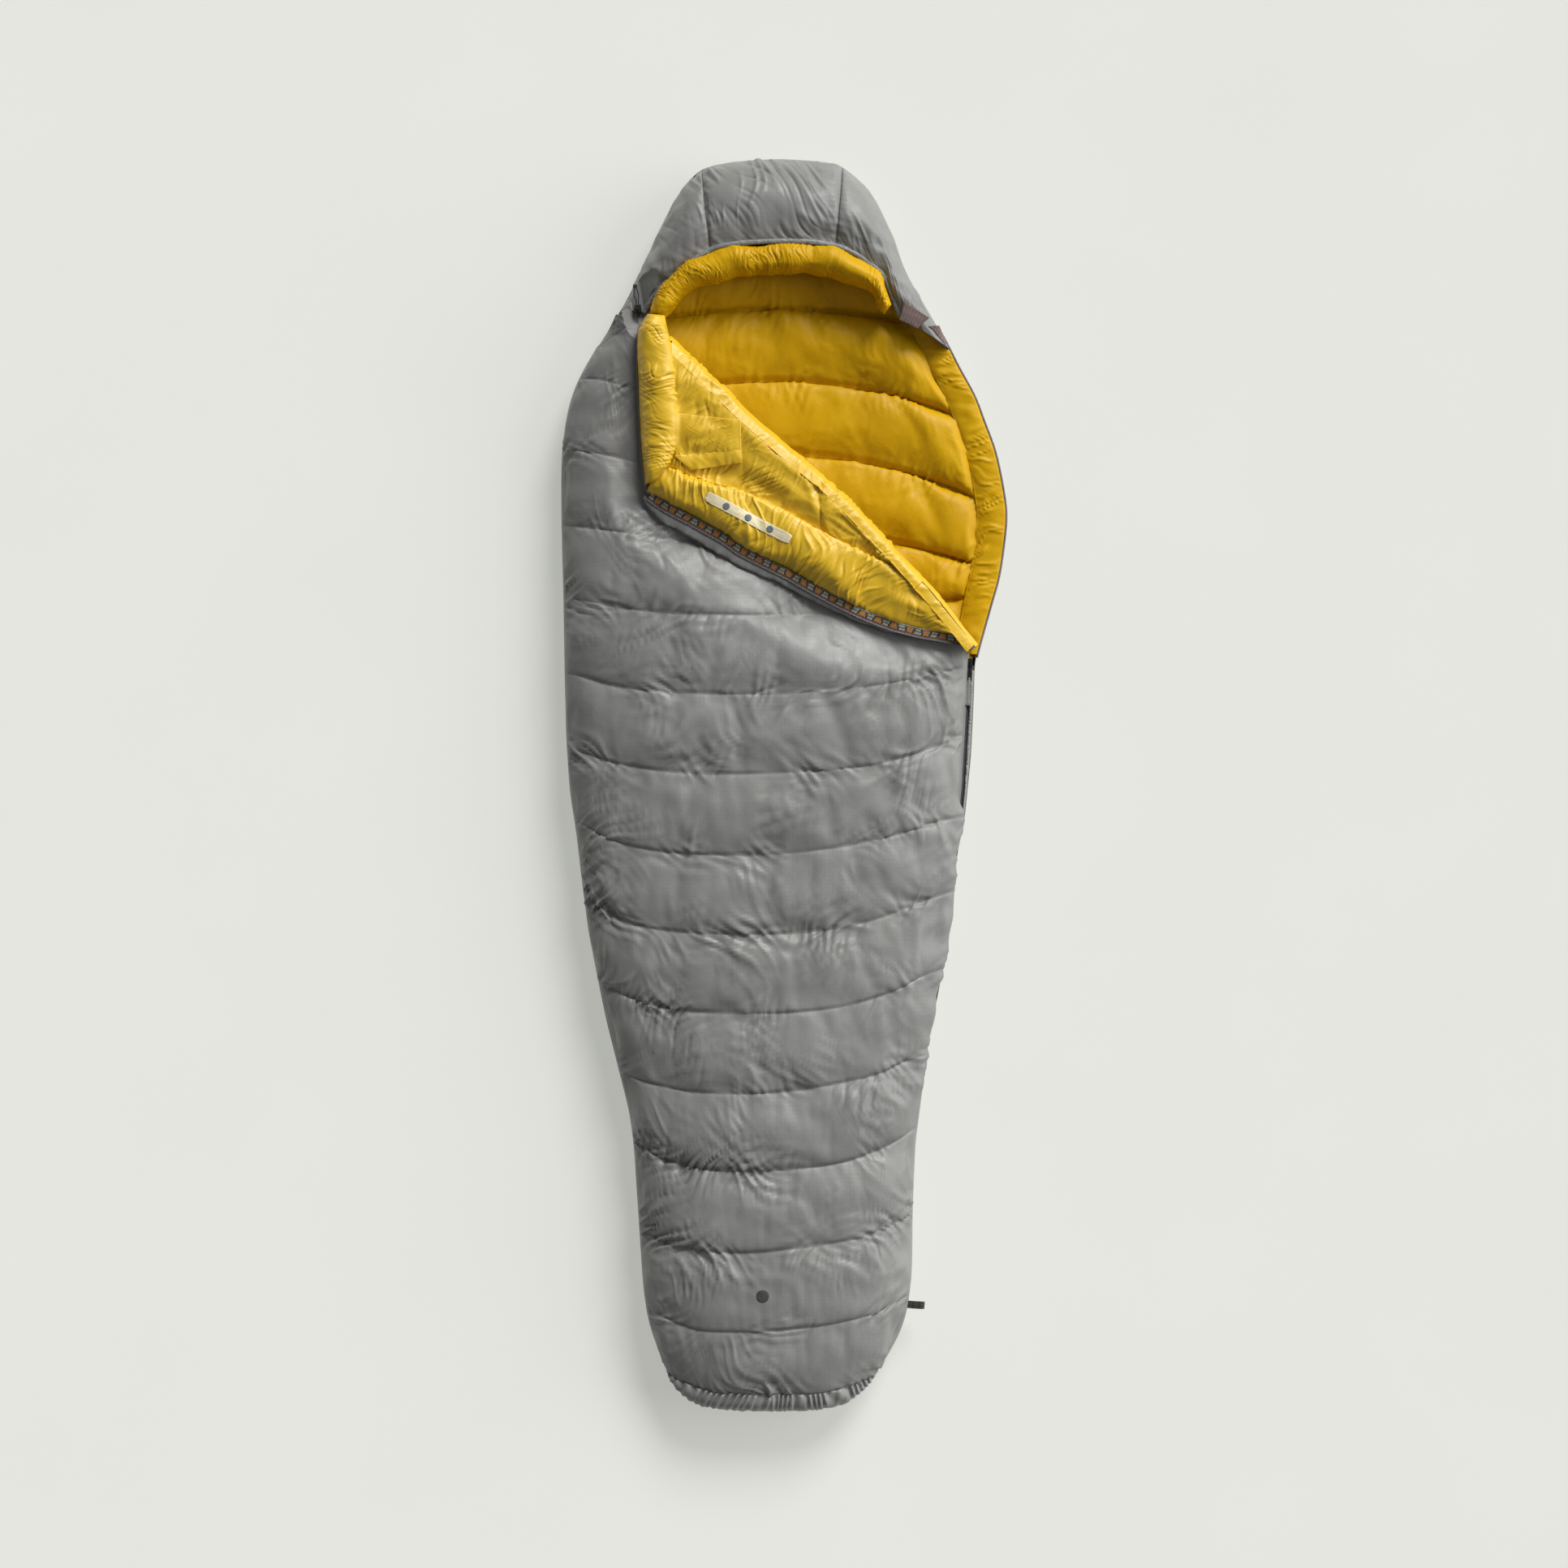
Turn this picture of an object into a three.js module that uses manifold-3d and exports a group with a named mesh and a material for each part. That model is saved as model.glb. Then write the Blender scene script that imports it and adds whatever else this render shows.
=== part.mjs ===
// Mummy sleeping bag, laid flat on its back with the upper right corner of the
// front panel folded open. Millimetres, +Z up, +Y towards the hood, +X to the
// bag's right-hand zip side. The origin is on the ground under the middle of
// the bag's overall length and width.
import * as THREE from 'three';
import { mergeVertices } from 'three/addons/utils/BufferGeometryUtils.js';
import Module from 'manifold-3d';

// ---------------------------------------------------------------- dimensions
const SIDE_SEAM_Z = 52;        // height of the seam between back and front half
const EDGE_HALF = 12;          // each quilt is this thick where it meets the side seam
const SHEET = 1.0;             // thickness that stands for one layer of fabric
const GAP = 1.2;               // clearance between a fabric layer and the down in it
const BACK_LOFT = 45;          // top of the back lining at a chamber's crown
const BACK_SEAM = 36;          // the same along a quilting seam
const FRONT_UNDER = 88;        // front lining at a chamber's crown
const FRONT_UNDER_SEAM = 93;
const FRONT_TOP = 136;         // front shell at a chamber's crown
const FRONT_TOP_SEAM = 121;
const UNDER_FLAP_TOP = 108;    // front shell where the folded flap lies on it
const FLAP_BOTTOM = 112;       // outer shell of the folded flap
const HINGE_Z = 110;           // height of the fold line
const FOLD_A = [338.8, 236.6]; // fold line, zip end
const FOLD_B = [-184.8, 786.8];// fold line, neck end
const FOLD_INSET = 6;          // both panels stop this far from the fold line
const ZIP_LEDGE = 10.5;        // half width of the zip strip at the right side
const SLIDER_Y = 208.6;        // middle of the slider at rest
const ZIP_TOP = [321.5, 208.6];
const ZIP_STRAIGHT_END = [309.0, -5.6];
const ZIP_BOTTOM_Y = -505;
const STRIP_GAP = 0.5;         // facing strip over the lining
const CORD_D = 2.0;            // hood drawcord diameter
const LOCK = [-251.0, 818.0, 86.0]; // cord lock centre

// Outline of the bag lying flat, as [y, x] pairs from foot to crown.
const EDGE_LEFT = [[-1079.4, -99.4], [-1072.4, -145.6], [-1062.6, -165.2], [-1044.4, -184.8], [-1016.4, -203], [-988.4, -214.2], [-932.4, -233.8], [-876.4, -243], [-792.4, -248.6], [-680.4, -256], [-624.4, -259.8], [-568.4, -267.2], [-512.4, -281.2], [-456.4, -295.2], [-400.4, -309.2], [-344.4, -320.4], [-260.4, -337.2], [-176.4, -348.4], [-92.4, -358.2], [-8.4, -370.8], [75.6, -376.4], [187.6, -379.2], [327.6, -381.6], [411.6, -383.8], [470, -385], [530, -385], [579.6, -383.8], [635.6, -376], [663.6, -369], [691.6, -359.2], [719.6, -345.2], [747.6, -328.4], [775.6, -308], [803.6, -292.6], [831.6, -274.4], [887.6, -246.4], [943.6, -222.6], [999.6, -194.6], [1027.6, -177.8], [1055.6, -155.4], [1068.2, -145.6], [1076.6, -137.2]];
const EDGE_RIGHT = [[-1079.4, 58.8], [-1072.4, 98], [-1062.6, 114.8], [-1044.4, 138.6], [-1016.4, 161], [-988.4, 179.2], [-960.4, 194.6], [-932.4, 207.2], [-904.4, 214.2], [-848.4, 221.2], [-736.4, 222.6], [-624.4, 226.8], [-540.4, 238], [-456.4, 247.8], [-372.4, 264.6], [-288.4, 281.4], [-204.4, 292.6], [-120.4, 299.6], [-64.4, 312.2], [-8.4, 317.8], [47.6, 323.4], [131.6, 327.6], [215.6, 330.4], [243.6, 338.8], [299.6, 354.2], [355.6, 371], [411.6, 379.4], [467.6, 385], [523.6, 376.2], [579.6, 364], [635.6, 341.6], [663.6, 333.2], [691.6, 317.8], [719.6, 301], [747.6, 288.4], [775.6, 273], [803.6, 257.6], [831.6, 240.8], [887.6, 208.6], [943.6, 190.4], [999.6, 163.8], [1027.6, 145.6], [1055.6, 117.6], [1068.2, 105], [1076.6, 78.4]];

// Quilting seams of the front, y at nine stations across, foot to chest.
const SEAMS = [
  [-1014, -1026, -1042, -1047, -1048, -1047, -1042, -1026, -1008],
  [-910.0, -911.0, -931.4, -939.4, -936.7, -927.6, -912.1, -890.4, -880.6],
  [-768.6, -773.7, -795.5, -801.5, -799.3, -787.8, -771.0, -748.4, -740.6],
  [-620.2, -625.9, -650.0, -663.6, -662.1, -653.1, -632.1, -605.0, -592.6],
  [-491.7, -502.7, -519.1, -529.6, -529.4, -516.9, -499.5, -475.4, -464.6],
  [-347.2, -353.6, -376.8, -391.0, -392.9, -385.4, -363.1, -332.3, -319.2],
  [-194.6, -208.6, -241.9, -254.9, -257.3, -248.2, -222.0, -195.6, -182.0],
  [-63.0, -74.9, -106.0, -120.4, -120.8, -108.4, -85.5, -63.1, -54.6],
  [60.2, 56.7, 32.8, 18.1, 18.2, 25.8, 45.4, 72.3, 77.0],
  [193.2, 187.8, 165.7, 156.3, 154.0, 163.4, 179.3, 197.0, 198.8],
  [322.0, 318.1, 301.8, 291.3, 289.6, 300.8, 315.7, 323.4, 323.4],
];
const STRIP_SEAMS = [435, 571, 694, 781];       // seams beside the opening
const BACK_SEAMS = [[365, 70], [470, 98], [616, 80], [792, 28], [925, 12], [1070, 4]]; // edge y, rise in the middle

// ---------------------------------------------------------------- helpers
const wasm = await Module();
wasm.setup();
const bag = new THREE.Group();
bag.name = 'mummy_sleeping_bag';

function table(rows, y) {
  if (y <= rows[0][0]) return rows[0][1];
  for (let i = 1; i < rows.length; i++) {
    if (y <= rows[i][0]) {
      const [ya, xa] = rows[i - 1], [yb, xb] = rows[i];
      return xa + (xb - xa) * (y - ya) / (yb - ya);
    }
  }
  return rows[rows.length - 1][1];
}
const edgeL = (y) => table(EDGE_LEFT, y);
const edgeR = (y) => table(EDGE_RIGHT, y);
const mix = (a, b, t) => a + (b - a) * t;
const clamp = (v, a, b) => Math.min(b, Math.max(a, v));
const foldLen = Math.hypot(FOLD_B[0] - FOLD_A[0], FOLD_B[1] - FOLD_A[1]);
const foldU = [(FOLD_B[0] - FOLD_A[0]) / foldLen, (FOLD_B[1] - FOLD_A[1]) / foldLen];
const foldN = [foldU[1], -foldU[0]];            // points over the opening
const foldX = (y) => FOLD_A[0] + (y - FOLD_A[1]) * foldU[0] / foldU[1];

function mesh(name, geometry, color, roughness = 0.7, metalness = 0) {
  const m = new THREE.Mesh(geometry, new THREE.MeshStandardMaterial({ color, roughness, metalness }));
  m.name = name;
  bag.add(m);
  return m;
}

// A closed slab between two height grids: low(i, j) and high(i, j) give [x, y, z].
function slab(rows, cols, low, high) {
  const nr = rows.length, nc = cols.length, pos = [], idx = [];
  for (const f of [low, high]) for (const i of rows) for (const j of cols) pos.push(...f(i, j));
  const at = (k, a, b) => k * nr * nc + a * nc + b;
  for (let a = 0; a < nr - 1; a++) for (let b = 0; b < nc - 1; b++) {
    idx.push(at(1, a, b), at(1, a, b + 1), at(1, a + 1, b + 1), at(1, a, b), at(1, a + 1, b + 1), at(1, a + 1, b));
    idx.push(at(0, a, b), at(0, a + 1, b + 1), at(0, a, b + 1), at(0, a, b), at(0, a + 1, b), at(0, a + 1, b + 1));
  }
  const wall = (p, q) => idx.push(at(0, ...p), at(0, ...q), at(1, ...q), at(0, ...p), at(1, ...q), at(1, ...p));
  for (let b = 0; b < nc - 1; b++) { wall([0, b], [0, b + 1]); wall([nr - 1, b + 1], [nr - 1, b]); }
  for (let a = 0; a < nr - 1; a++) { wall([a + 1, 0], [a, 0]); wall([a, nc - 1], [a + 1, nc - 1]); }
  return oriented(pos, idx);
}

function oriented(pos, idx) {
  let v = 0;
  const p = (k) => [pos[3 * k], pos[3 * k + 1], pos[3 * k + 2]];
  for (let t = 0; t < idx.length; t += 3) {
    const a = p(idx[t]), b = p(idx[t + 1]), c = p(idx[t + 2]);
    v += a[0] * (b[1] * c[2] - b[2] * c[1]) - a[1] * (b[0] * c[2] - b[2] * c[0]) + a[2] * (b[0] * c[1] - b[1] * c[0]);
  }
  if (v < 0) for (let t = 0; t < idx.length; t += 3) [idx[t + 1], idx[t + 2]] = [idx[t + 2], idx[t + 1]];
  const g = new THREE.BufferGeometry();
  g.setAttribute('position', new THREE.Float32BufferAttribute(pos, 3));
  g.setIndex(idx);
  return g;
}

function solid(geometry) {
  const g = geometry.clone();
  g.deleteAttribute('normal'); g.deleteAttribute('uv');
  const m = mergeVertices(g, 1e-4);
  return new wasm.Manifold(new wasm.Mesh({
    numProp: 3,
    vertProperties: new Float32Array(m.attributes.position.array),
    triVerts: new Uint32Array(m.index.array),
  }));
}
function fromSolid(s) {
  const m = s.getMesh(), g = new THREE.BufferGeometry();
  g.setAttribute('position', new THREE.BufferAttribute(new Float32Array(m.vertProperties), 3));
  g.setIndex(new THREE.BufferAttribute(new Uint32Array(m.triVerts), 1));
  return g;
}
const box = (x0, x1, y0, y1, z0, z1) => new THREE.BoxGeometry(x1 - x0, y1 - y0, z1 - z0).translate((x0 + x1) / 2, (y0 + y1) / 2, (z0 + z1) / 2);
const flat = (points, z0, z1) => {
  const g = new THREE.ExtrudeGeometry(new THREE.Shape(points.map(([x, y]) => new THREE.Vector2(x, y))), { depth: z1 - z0, bevelEnabled: false });
  return g.translate(0, 0, z0);
};
// A flat ribbon beside a path: from offset a to offset b on the path's right-hand side.
function ribbon(path, a, b, z0, z1) {
  const n = path.map((p, i) => {
    const q = path[Math.max(0, i - 1)], r = path[Math.min(path.length - 1, i + 1)];
    const l = Math.hypot(r[0] - q[0], r[1] - q[1]);
    return [(r[1] - q[1]) / l, -(r[0] - q[0]) / l];
  });
  const f = (z) => (i, j) => { const o = j ? b : a; return [path[i][0] + n[i][0] * o, path[i][1] + n[i][1] * o, z]; };
  return slab(path.map((_, i) => i), [0, 1], f(z0), f(z1));
}
const range = (a, b) => Array.from({ length: b - a + 1 }, (_, k) => a + k);

// ---------------------------------------------------------------- quilt grids
const NC = 8;                                    // columns across
const S = range(0, NC).map((j) => -Math.cos(Math.PI * j / NC));
// Grid functions take fractional row numbers and interpolate along the column.
const smooth = (grid) => (i, j) => {
  const i0 = Math.floor(i), f = i - i0, j0 = Math.floor(j), g = j - j0;
  const at = (a, b) => grid(a, b);
  const row = (a) => {
    if (g === 0) return at(a, j0);
    const p = at(a, j0), q = at(a, j0 + 1);
    return p.map((v, k) => mix(v, q[k], g));
  };
  if (f === 0) return row(i0);
  const p = row(i0), q = row(i0 + 1);
  return p.map((v, k) => mix(v, q[k], f));
};

// Distance outside the footprint of the folded flap.
const FLAP_FOOT = [[-252, 799], [-182, 790], [338, 240], [244, 257], [140, 288], [54, 332], [-31, 378], [-134, 438], [-240, 500]];
function outside(x, y) {
  let inside = false, best = 1e9;
  for (let i = 0, j = FLAP_FOOT.length - 1; i < FLAP_FOOT.length; j = i++) {
    const [xi, yi] = FLAP_FOOT[i], [xj, yj] = FLAP_FOOT[j];
    if ((yi > y) !== (yj > y) && x < (xj - xi) * (y - yi) / (yj - yi) + xi) inside = !inside;
    const t = clamp(((x - xi) * (xj - xi) + (y - yi) * (yj - yi)) / ((xj - xi) ** 2 + (yj - yi) ** 2), 0, 1);
    best = Math.min(best, Math.hypot(x - mix(xi, xj, t), y - mix(yi, yj, t)));
  }
  return inside ? 0 : best;
}

// Front half: rows 2k are quilting seams, rows 2k + 1 the crowns between them.
const seamY = (k, j) => (k < SEAMS.length ? SEAMS[k][j] : STRIP_SEAMS[k - SEAMS.length]);
const F_CHAMBERS = SEAMS.length + STRIP_SEAMS.length - 1;
const F_ROWS = 2 * F_CHAMBERS;
const zipX = (y) => (y > ZIP_STRAIGHT_END[1]
  ? mix(ZIP_STRAIGHT_END[0], ZIP_TOP[0], (y - ZIP_STRAIGHT_END[1]) / (ZIP_TOP[1] - ZIP_STRAIGHT_END[1]))
  : edgeR(y) - 9);
function frontRight(y) {
  const ledge = y > ZIP_BOTTOM_Y - 15 ? zipX(y) - ZIP_LEDGE : edgeR(y) - mix(20, 2, clamp((ZIP_BOTTOM_Y - 15 - y) / 90, 0, 1));
  return Math.min(ledge, foldX(y) - FOLD_INSET / foldN[0]);
}
function frontXY(i, j) {
  const k = Math.floor(i / 2);
  const y = i % 2 ? (seamY(k, j) + seamY(k + 1, j)) / 2 : seamY(k, j);
  const x0 = edgeL(y), x1 = frontRight(y);
  return [mix(x0, x1, (S[j] + 1) / 2), y];
}
function frontZ(i, j, layer) {
  const [x, y] = frontXY(i, j), crown = i % 2;
  let s = S[j];
  if (i > 2 * (SEAMS.length - 1)) {
    const x0 = edgeL(y), x1 = edgeR(y);
    s = Math.min(0.3, (x - (x0 + x1) / 2) / ((x1 - x0) / 2));
  }
  const a = Math.pow(Math.max(0, 1 - Math.pow(Math.abs(s), 3.2)), 0.6);
  const cap = UNDER_FLAP_TOP + clamp((outside(x, y) - 78) / 70, 0, 1) * 40;
  const edgeTop = SIDE_SEAM_Z + EDGE_HALF;
  const top = Math.min(mix(edgeTop, crown ? FRONT_TOP : FRONT_TOP_SEAM, a), cap);
  const under = mix(SIDE_SEAM_Z + 0.15, crown ? FRONT_UNDER : FRONT_UNDER_SEAM, Math.pow(Math.max(0, 1 - Math.pow(Math.abs(s), 4)), 0.6));
  return { top, shellUnder: top - SHEET, downTop: top - SHEET - GAP, downUnder: under + SHEET + GAP, liningTop: under + SHEET, under }[layer];
}
const front = (layer) => smooth((i, j) => [...frontXY(i, j), frontZ(i, j, layer)]);

// Back half: the same rows up to the chest, then arched seams up to the crown.
const B_LINES = SEAMS.length + BACK_SEAMS.length;
const B_ROWS = 2 * (B_LINES - 1);
const backSeamY = (k, j) => {
  if (k < SEAMS.length - 1) return SEAMS[k][j];
  if (k === SEAMS.length - 1) return 285 + 18 * (1 - S[j] * S[j]);
  const [edge, rise] = BACK_SEAMS[k - SEAMS.length];
  return edge + rise * (1 - S[j] * S[j]);
};
function backRight(y) {
  return edgeR(y) - 11 * clamp((y - 188) / 10, 0, 1) * clamp((830 - y) / 25, 0, 1);
}
function backXY(i, j) {
  const k = Math.floor(i / 2);
  const y = i % 2 ? (backSeamY(k, j) + backSeamY(k + 1, j)) / 2 : backSeamY(k, j);
  return [mix(edgeL(y), backRight(y), (S[j] + 1) / 2), y];
}
function backZ(i, j, layer) {
  const s = Math.abs(S[j]), crown = i % 2;
  const low = (SIDE_SEAM_Z - EDGE_HALF) * Math.pow(Math.max(0, (s - 0.6) / 0.4), 2.2);
  const t = clamp((s - 0.7) / 0.3, 0, 1);
  const top = mix(crown ? BACK_LOFT : BACK_SEAM, SIDE_SEAM_Z - 0.15, t * t * (3 - 2 * t));
  return { low, shellTop: low + SHEET, downUnder: low + SHEET + GAP, downTop: top - SHEET - GAP, liningUnder: top - SHEET, top }[layer];
}
const back = (layer) => smooth((i, j) => [...backXY(i, j), backZ(i, j, layer)]);

const GREY = 0x82827f, GREY_DARK = 0x6f6f6c, YELLOW = 0xc79a05, YELLOW_LIGHT = 0xd9ad22, DOWN = 0xe8e6df, BLACK = 0x22221f, MAUVE = 0x6f625f;
const COLS = range(0, NC);

mesh('back_shell', slab(range(0, B_ROWS), COLS, back('low'), back('shellTop')), GREY);
mesh('back_lining', slab(range(0, B_ROWS), COLS, back('liningUnder'), back('top')), YELLOW, 0.55);
const BACK_SECTIONS = [['foot', 0, 2], ['calf', 2, 5], ['thigh', 5, 8], ['hip', 8, 10], ['chest', 10, 13], ['head', 13, 16]];
for (const [name, a, b] of BACK_SECTIONS) {
  const rows = range(2 * a, 2 * b).map((i) => (i === 2 * a ? i + 0.02 : i === 2 * b ? i - 0.02 : i));
  mesh('back_down_' + name, slab(rows, COLS, back('downUnder'), back('downTop')), DOWN, 0.95);
}
mesh('front_shell', slab(range(0, F_ROWS), COLS, front('shellUnder'), front('top')), GREY);
mesh('front_lining', slab(range(0, F_ROWS), COLS, front('under'), front('liningTop')), YELLOW, 0.55);
for (let k = 0; k < F_CHAMBERS; k++) {
  const rows = [2 * k + 0.02, 2 * k + 1, 2 * k + 1.98];
  mesh('front_down_chamber_' + String(k + 1).padStart(2, '0'), slab(rows, COLS, front('downUnder'), front('downTop')), DOWN, 0.95);
}

// Round foot panel that closes the tube.
{
  const end = [[-192, -1036], [-180, -1051], [-152, -1068.5], [-106, -1077.5], [-20, -1080.8], [60, -1077.5], [112, -1063.5], [136, -1046], [151, -1031]];
  const start = COLS.map((j) => { const p = backXY(0, j); return [p[0] * 0.985 - 0.3, p[1] - 3]; });
  const at = (i, j) => [mix(start[j][0], end[j][0], i), mix(start[j][1], end[j][1], i)];
  const arch = (j) => Math.pow(1 - Math.pow(Math.abs(S[j]), 3.2), 0.6);
  const low = (i, j) => [...at(i, j), mix(mix(3, 46, 1 - arch(j)), mix(26, 50, 1 - arch(j)), i * i)];
  const high = (i, j) => [...at(i, j), mix(mix(60, 118, arch(j)), mix(58, 84, arch(j)), i * i)];
  mesh('footbox_panel', slab([0, 0.5, 0.82, 1], COLS, low, high), GREY_DARK);
}

// ---------------------------------------------------------------- hood
const HOOD_V = [0, 0.3, 0.6, 0.85, 1];
const arcV = (v) => Math.pow(Math.max(0, 1 - v * v * v), 0.6);
const hoodUnder = (v, h) => SIDE_SEAM_Z + 0.5 + 46 * h * arcV(v);
const hoodTop = (v, h) => SIDE_SEAM_Z + 18 + 78 * h * arcV(v);
function hoodPanel(name, brim, crown, lift, color) {
  const n = brim.length;
  const f = (hz) => (i, j) => {
    const v = HOOD_V[i];
    return [mix(brim[j][0], crown[j][0], v), mix(brim[j][1], crown[j][1], v), hz(v, lift[j])];
  };
  return mesh(name, slab(range(0, 4), range(0, n - 1), f(hoodUnder), f(hoodTop)), color);
}
hoodPanel('hood_left_panel',
  [[-238, 812], [-212, 858], [-180, 883.5], [-152, 903.5], [-133.6, 918]],
  [[-270, 836], [-254, 874], [-222.6, 943.6], [-186, 1014], [-146, 1059]],
  [0.08, 0.15, 0.5, 0.85, 0.95], GREY_DARK);
hoodPanel('hood_centre_panel',
  [[-130.6, 920], [-72.8, 926.8], [-22.4, 929.6], [29.4, 929.6], [89, 923]],
  [[-143, 1062.5], [-85.4, 1076.6], [-12.6, 1080.8], [47.6, 1078], [94, 1072.5]],
  [0.95, 1, 1, 1, 0.97], GREY);
hoodPanel('hood_right_panel',
  [[92, 921], [127.4, 905.8], [155.4, 886.2], [176, 866], [188, 838], [199, 806]],
  [[97.5, 1071], [142.8, 1031.8], [172, 986], [196, 920], [231, 847], [262, 792]],
  [0.97, 0.9, 0.78, 0.62, 0.45, 0.28], 0xa2a29e);

const BRIM = [[-152, 903.5], [-131.6, 919.5], [-72.8, 926.8], [-22.4, 929.6], [29.4, 929.6], [91, 922], [127.4, 905.8], [155.4, 886.2]];
const BRIM_LIFT = [0.85, 0.95, 1, 1, 1, 0.97, 0.9, 0.78];
const INNER = [[-143, 877], [-116, 882], [-70, 883], [-20, 884], [28, 882], [78, 874], [108, 864], [134, 852]];
const along = (t) => (i) => [mix(BRIM[i][0], INNER[i][0], t), mix(BRIM[i][1], INNER[i][1], t)];
{
  const off = (i, d) => { const l = Math.hypot(INNER[i][0] - BRIM[i][0], INNER[i][1] - BRIM[i][1]); return along(d / l)(i); };
  mesh('hood_brim_binding', slab(range(0, 7), [0, 1],
    (i, j) => [...off(i, j ? 8.5 : 1.2), hoodUnder(0, BRIM_LIFT[i]) + 6],
    (i, j) => [...off(i, j ? 8.5 : 1.2), hoodTop(0, BRIM_LIFT[i]) - 5]), GREY_DARK);
  const T = [0, 0.3, 0.7, 1];
  const roll = (side) => (i, j) => {
    const h = BRIM_LIFT[i], mid = (hoodUnder(0, h) + hoodTop(0, h)) / 2 - 4, r = 24 * (j === 0 || j === 3 ? 0.55 : 1);
    const a = off(i, 9.5), b = INNER[i];
    return [mix(a[0], b[0], T[j]), mix(a[1], b[1], T[j]), mid + side * r];
  };
  mesh('hood_face_tube', slab(range(0, 7), range(0, 3), roll(-1), roll(1)), YELLOW, 0.5);
}

// ---------------------------------------------------------------- zip, root side
{
  const lining = back('top');
  const rows = [23.3, 24, 25, 26, 27, 28, 28.7];
  const cols = [7.02, 7.5, 7.98];
  const lift = (i, j) => (j === 7.5 ? 8.5 : 6) * (i === rows[0] || i === rows[rows.length - 1] ? 0.6 : 1);
  mesh('zip_facing_strip', slab(rows, cols,
    (i, j) => { const p = lining(i, j); return [p[0], p[1], p[2] + STRIP_GAP]; },
    (i, j) => { const p = lining(i, j); return [p[0], p[1], p[2] + STRIP_GAP + lift(i, j)]; }), YELLOW, 0.5);
}
const OPEN_PATH = [];
{
  const rim = smooth((i, j) => backXY(i, j));
  for (const i of [18.55, 19, 20, 21, 22, 23, 24, 25, 26, 27, 27.6]) { const p = rim(i, NC); OPEN_PATH.push([p[0] + 11, p[1]]); }
}
mesh('back_zip_tape', ribbon(OPEN_PATH, -8.0, -3.4, SIDE_SEAM_Z - 1.4, SIDE_SEAM_Z - 0.5), 0x6a6470);
mesh('back_zip_coil', ribbon(OPEN_PATH, -3.0, 0, SIDE_SEAM_Z - 2.2, SIDE_SEAM_Z + 0.2), 0x5d5868, 0.45);

const CLOSED_PATH = [[mix(ZIP_STRAIGHT_END[0], ZIP_TOP[0], 1), SLIDER_Y - 0.2], ZIP_STRAIGHT_END];
for (const y of [-64.4, -120.4, -204.4, -288.4, -372.4, -456.4, ZIP_BOTTOM_Y]) CLOSED_PATH.push([edgeR(y) - 9, y]);
// The path runs towards the foot, so its right-hand side is the bag's middle.
mesh('closed_zip_coil_front', ribbon(CLOSED_PATH, 0.75, 2.7, 54.6, 56.8), 0x4f4c57, 0.45);
mesh('closed_zip_coil_back', ribbon(CLOSED_PATH, -2.7, -0.75, 54.6, 56.8), 0x4f4c57, 0.45);
mesh('closed_zip_tape_front', ribbon(CLOSED_PATH, 3.05, 9.0, 55.3, 56.1), 0x6a6470);
mesh('closed_zip_tape_back', ribbon(CLOSED_PATH, -8.6, -3.05, 55.3, 56.1), 0x6a6470);
{
  const y = ZIP_BOTTOM_Y - 1.0, x = edgeR(y) - 9;
  mesh('zip_bottom_stop', box(x - 3.4, x + 3.4, y - 5, y - 0.6, 54.2, 57.2), 0x9a9a98, 0.35, 0.9);
}

// ---------------------------------------------------------------- slider and pull
const sliderDir = new THREE.Vector2(ZIP_STRAIGHT_END[0] - ZIP_TOP[0], ZIP_STRAIGHT_END[1] - ZIP_TOP[1]).normalize();
const sliderTurn = Math.atan2(-sliderDir.x, -sliderDir.y) * -1;
function onZip(name, geometry, color, rough, metal) {
  const g = geometry;
  g.rotateZ(sliderTurn);
  g.translate(ZIP_TOP[0], ZIP_TOP[1], 0);
  return mesh(name, g, color, rough, metal);
}
{
  const top = solid(box(-4.6, 4.6, -8.5, 8.5, 57.4, 58.9));
  const bottom = solid(box(-4.6, 4.6, -8.5, 8.5, 52.5, 53.9));
  const post = solid(box(-0.4, 0.4, 2.2, 6.4, 53.2, 58.0));
  const bail = solid(box(-0.8, 0.8, -5.5, 3.1, 58.4, 63.4));
  const hole = solid(new THREE.CylinderGeometry(1.3, 1.3, 4, 16).rotateZ(Math.PI / 2).translate(0, -2.0, 61.2));
  onZip('slider_body', fromSolid(top.add(bottom).add(post).add(bail.subtract(hole))), BLACK, 0.4, 0.6);
  const plate = solid(box(-2.6, 2.6, -27, -1.4, 60.6, 61.8));
  const windowCut = solid(box(-1.5, 1.5, -8.0, -2.6, 59, 63));
  const eye = solid(box(-1.6, 1.6, -25.6, -23.2, 59, 63));
  onZip('slider_pull', fromSolid(plate.subtract(windowCut).subtract(eye)), BLACK, 0.4, 0.6);
  const tab = solid(box(-6, 6, -74, -30, 60.2, 62.2));
  const ears = solid(box(-1.1, 1.1, -32, -23.9, 60.7, 61.7));
  const gone = solid(box(-3.2, 3.2, -27.35, -25.2, 60.3, 62.1));
  // The tab's cord goes through the pull's eye and closes under and over its bar.
  const over = solid(box(-1.1, 1.1, -30.5, -24.0, 62.1, 62.9));
  const under = solid(box(-1.1, 1.1, -30.5, -24.0, 59.5, 60.3));
  const join = solid(box(-1.1, 1.1, -25.0, -24.0, 59.5, 62.9));
  const heel = solid(box(-1.1, 1.1, -30.6, -27.6, 59.5, 62.9));
  onZip('puller_tab', fromSolid(tab.add(over).add(under).add(join).add(heel)), 0x8b8b88, 0.75, 0);
}

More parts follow.
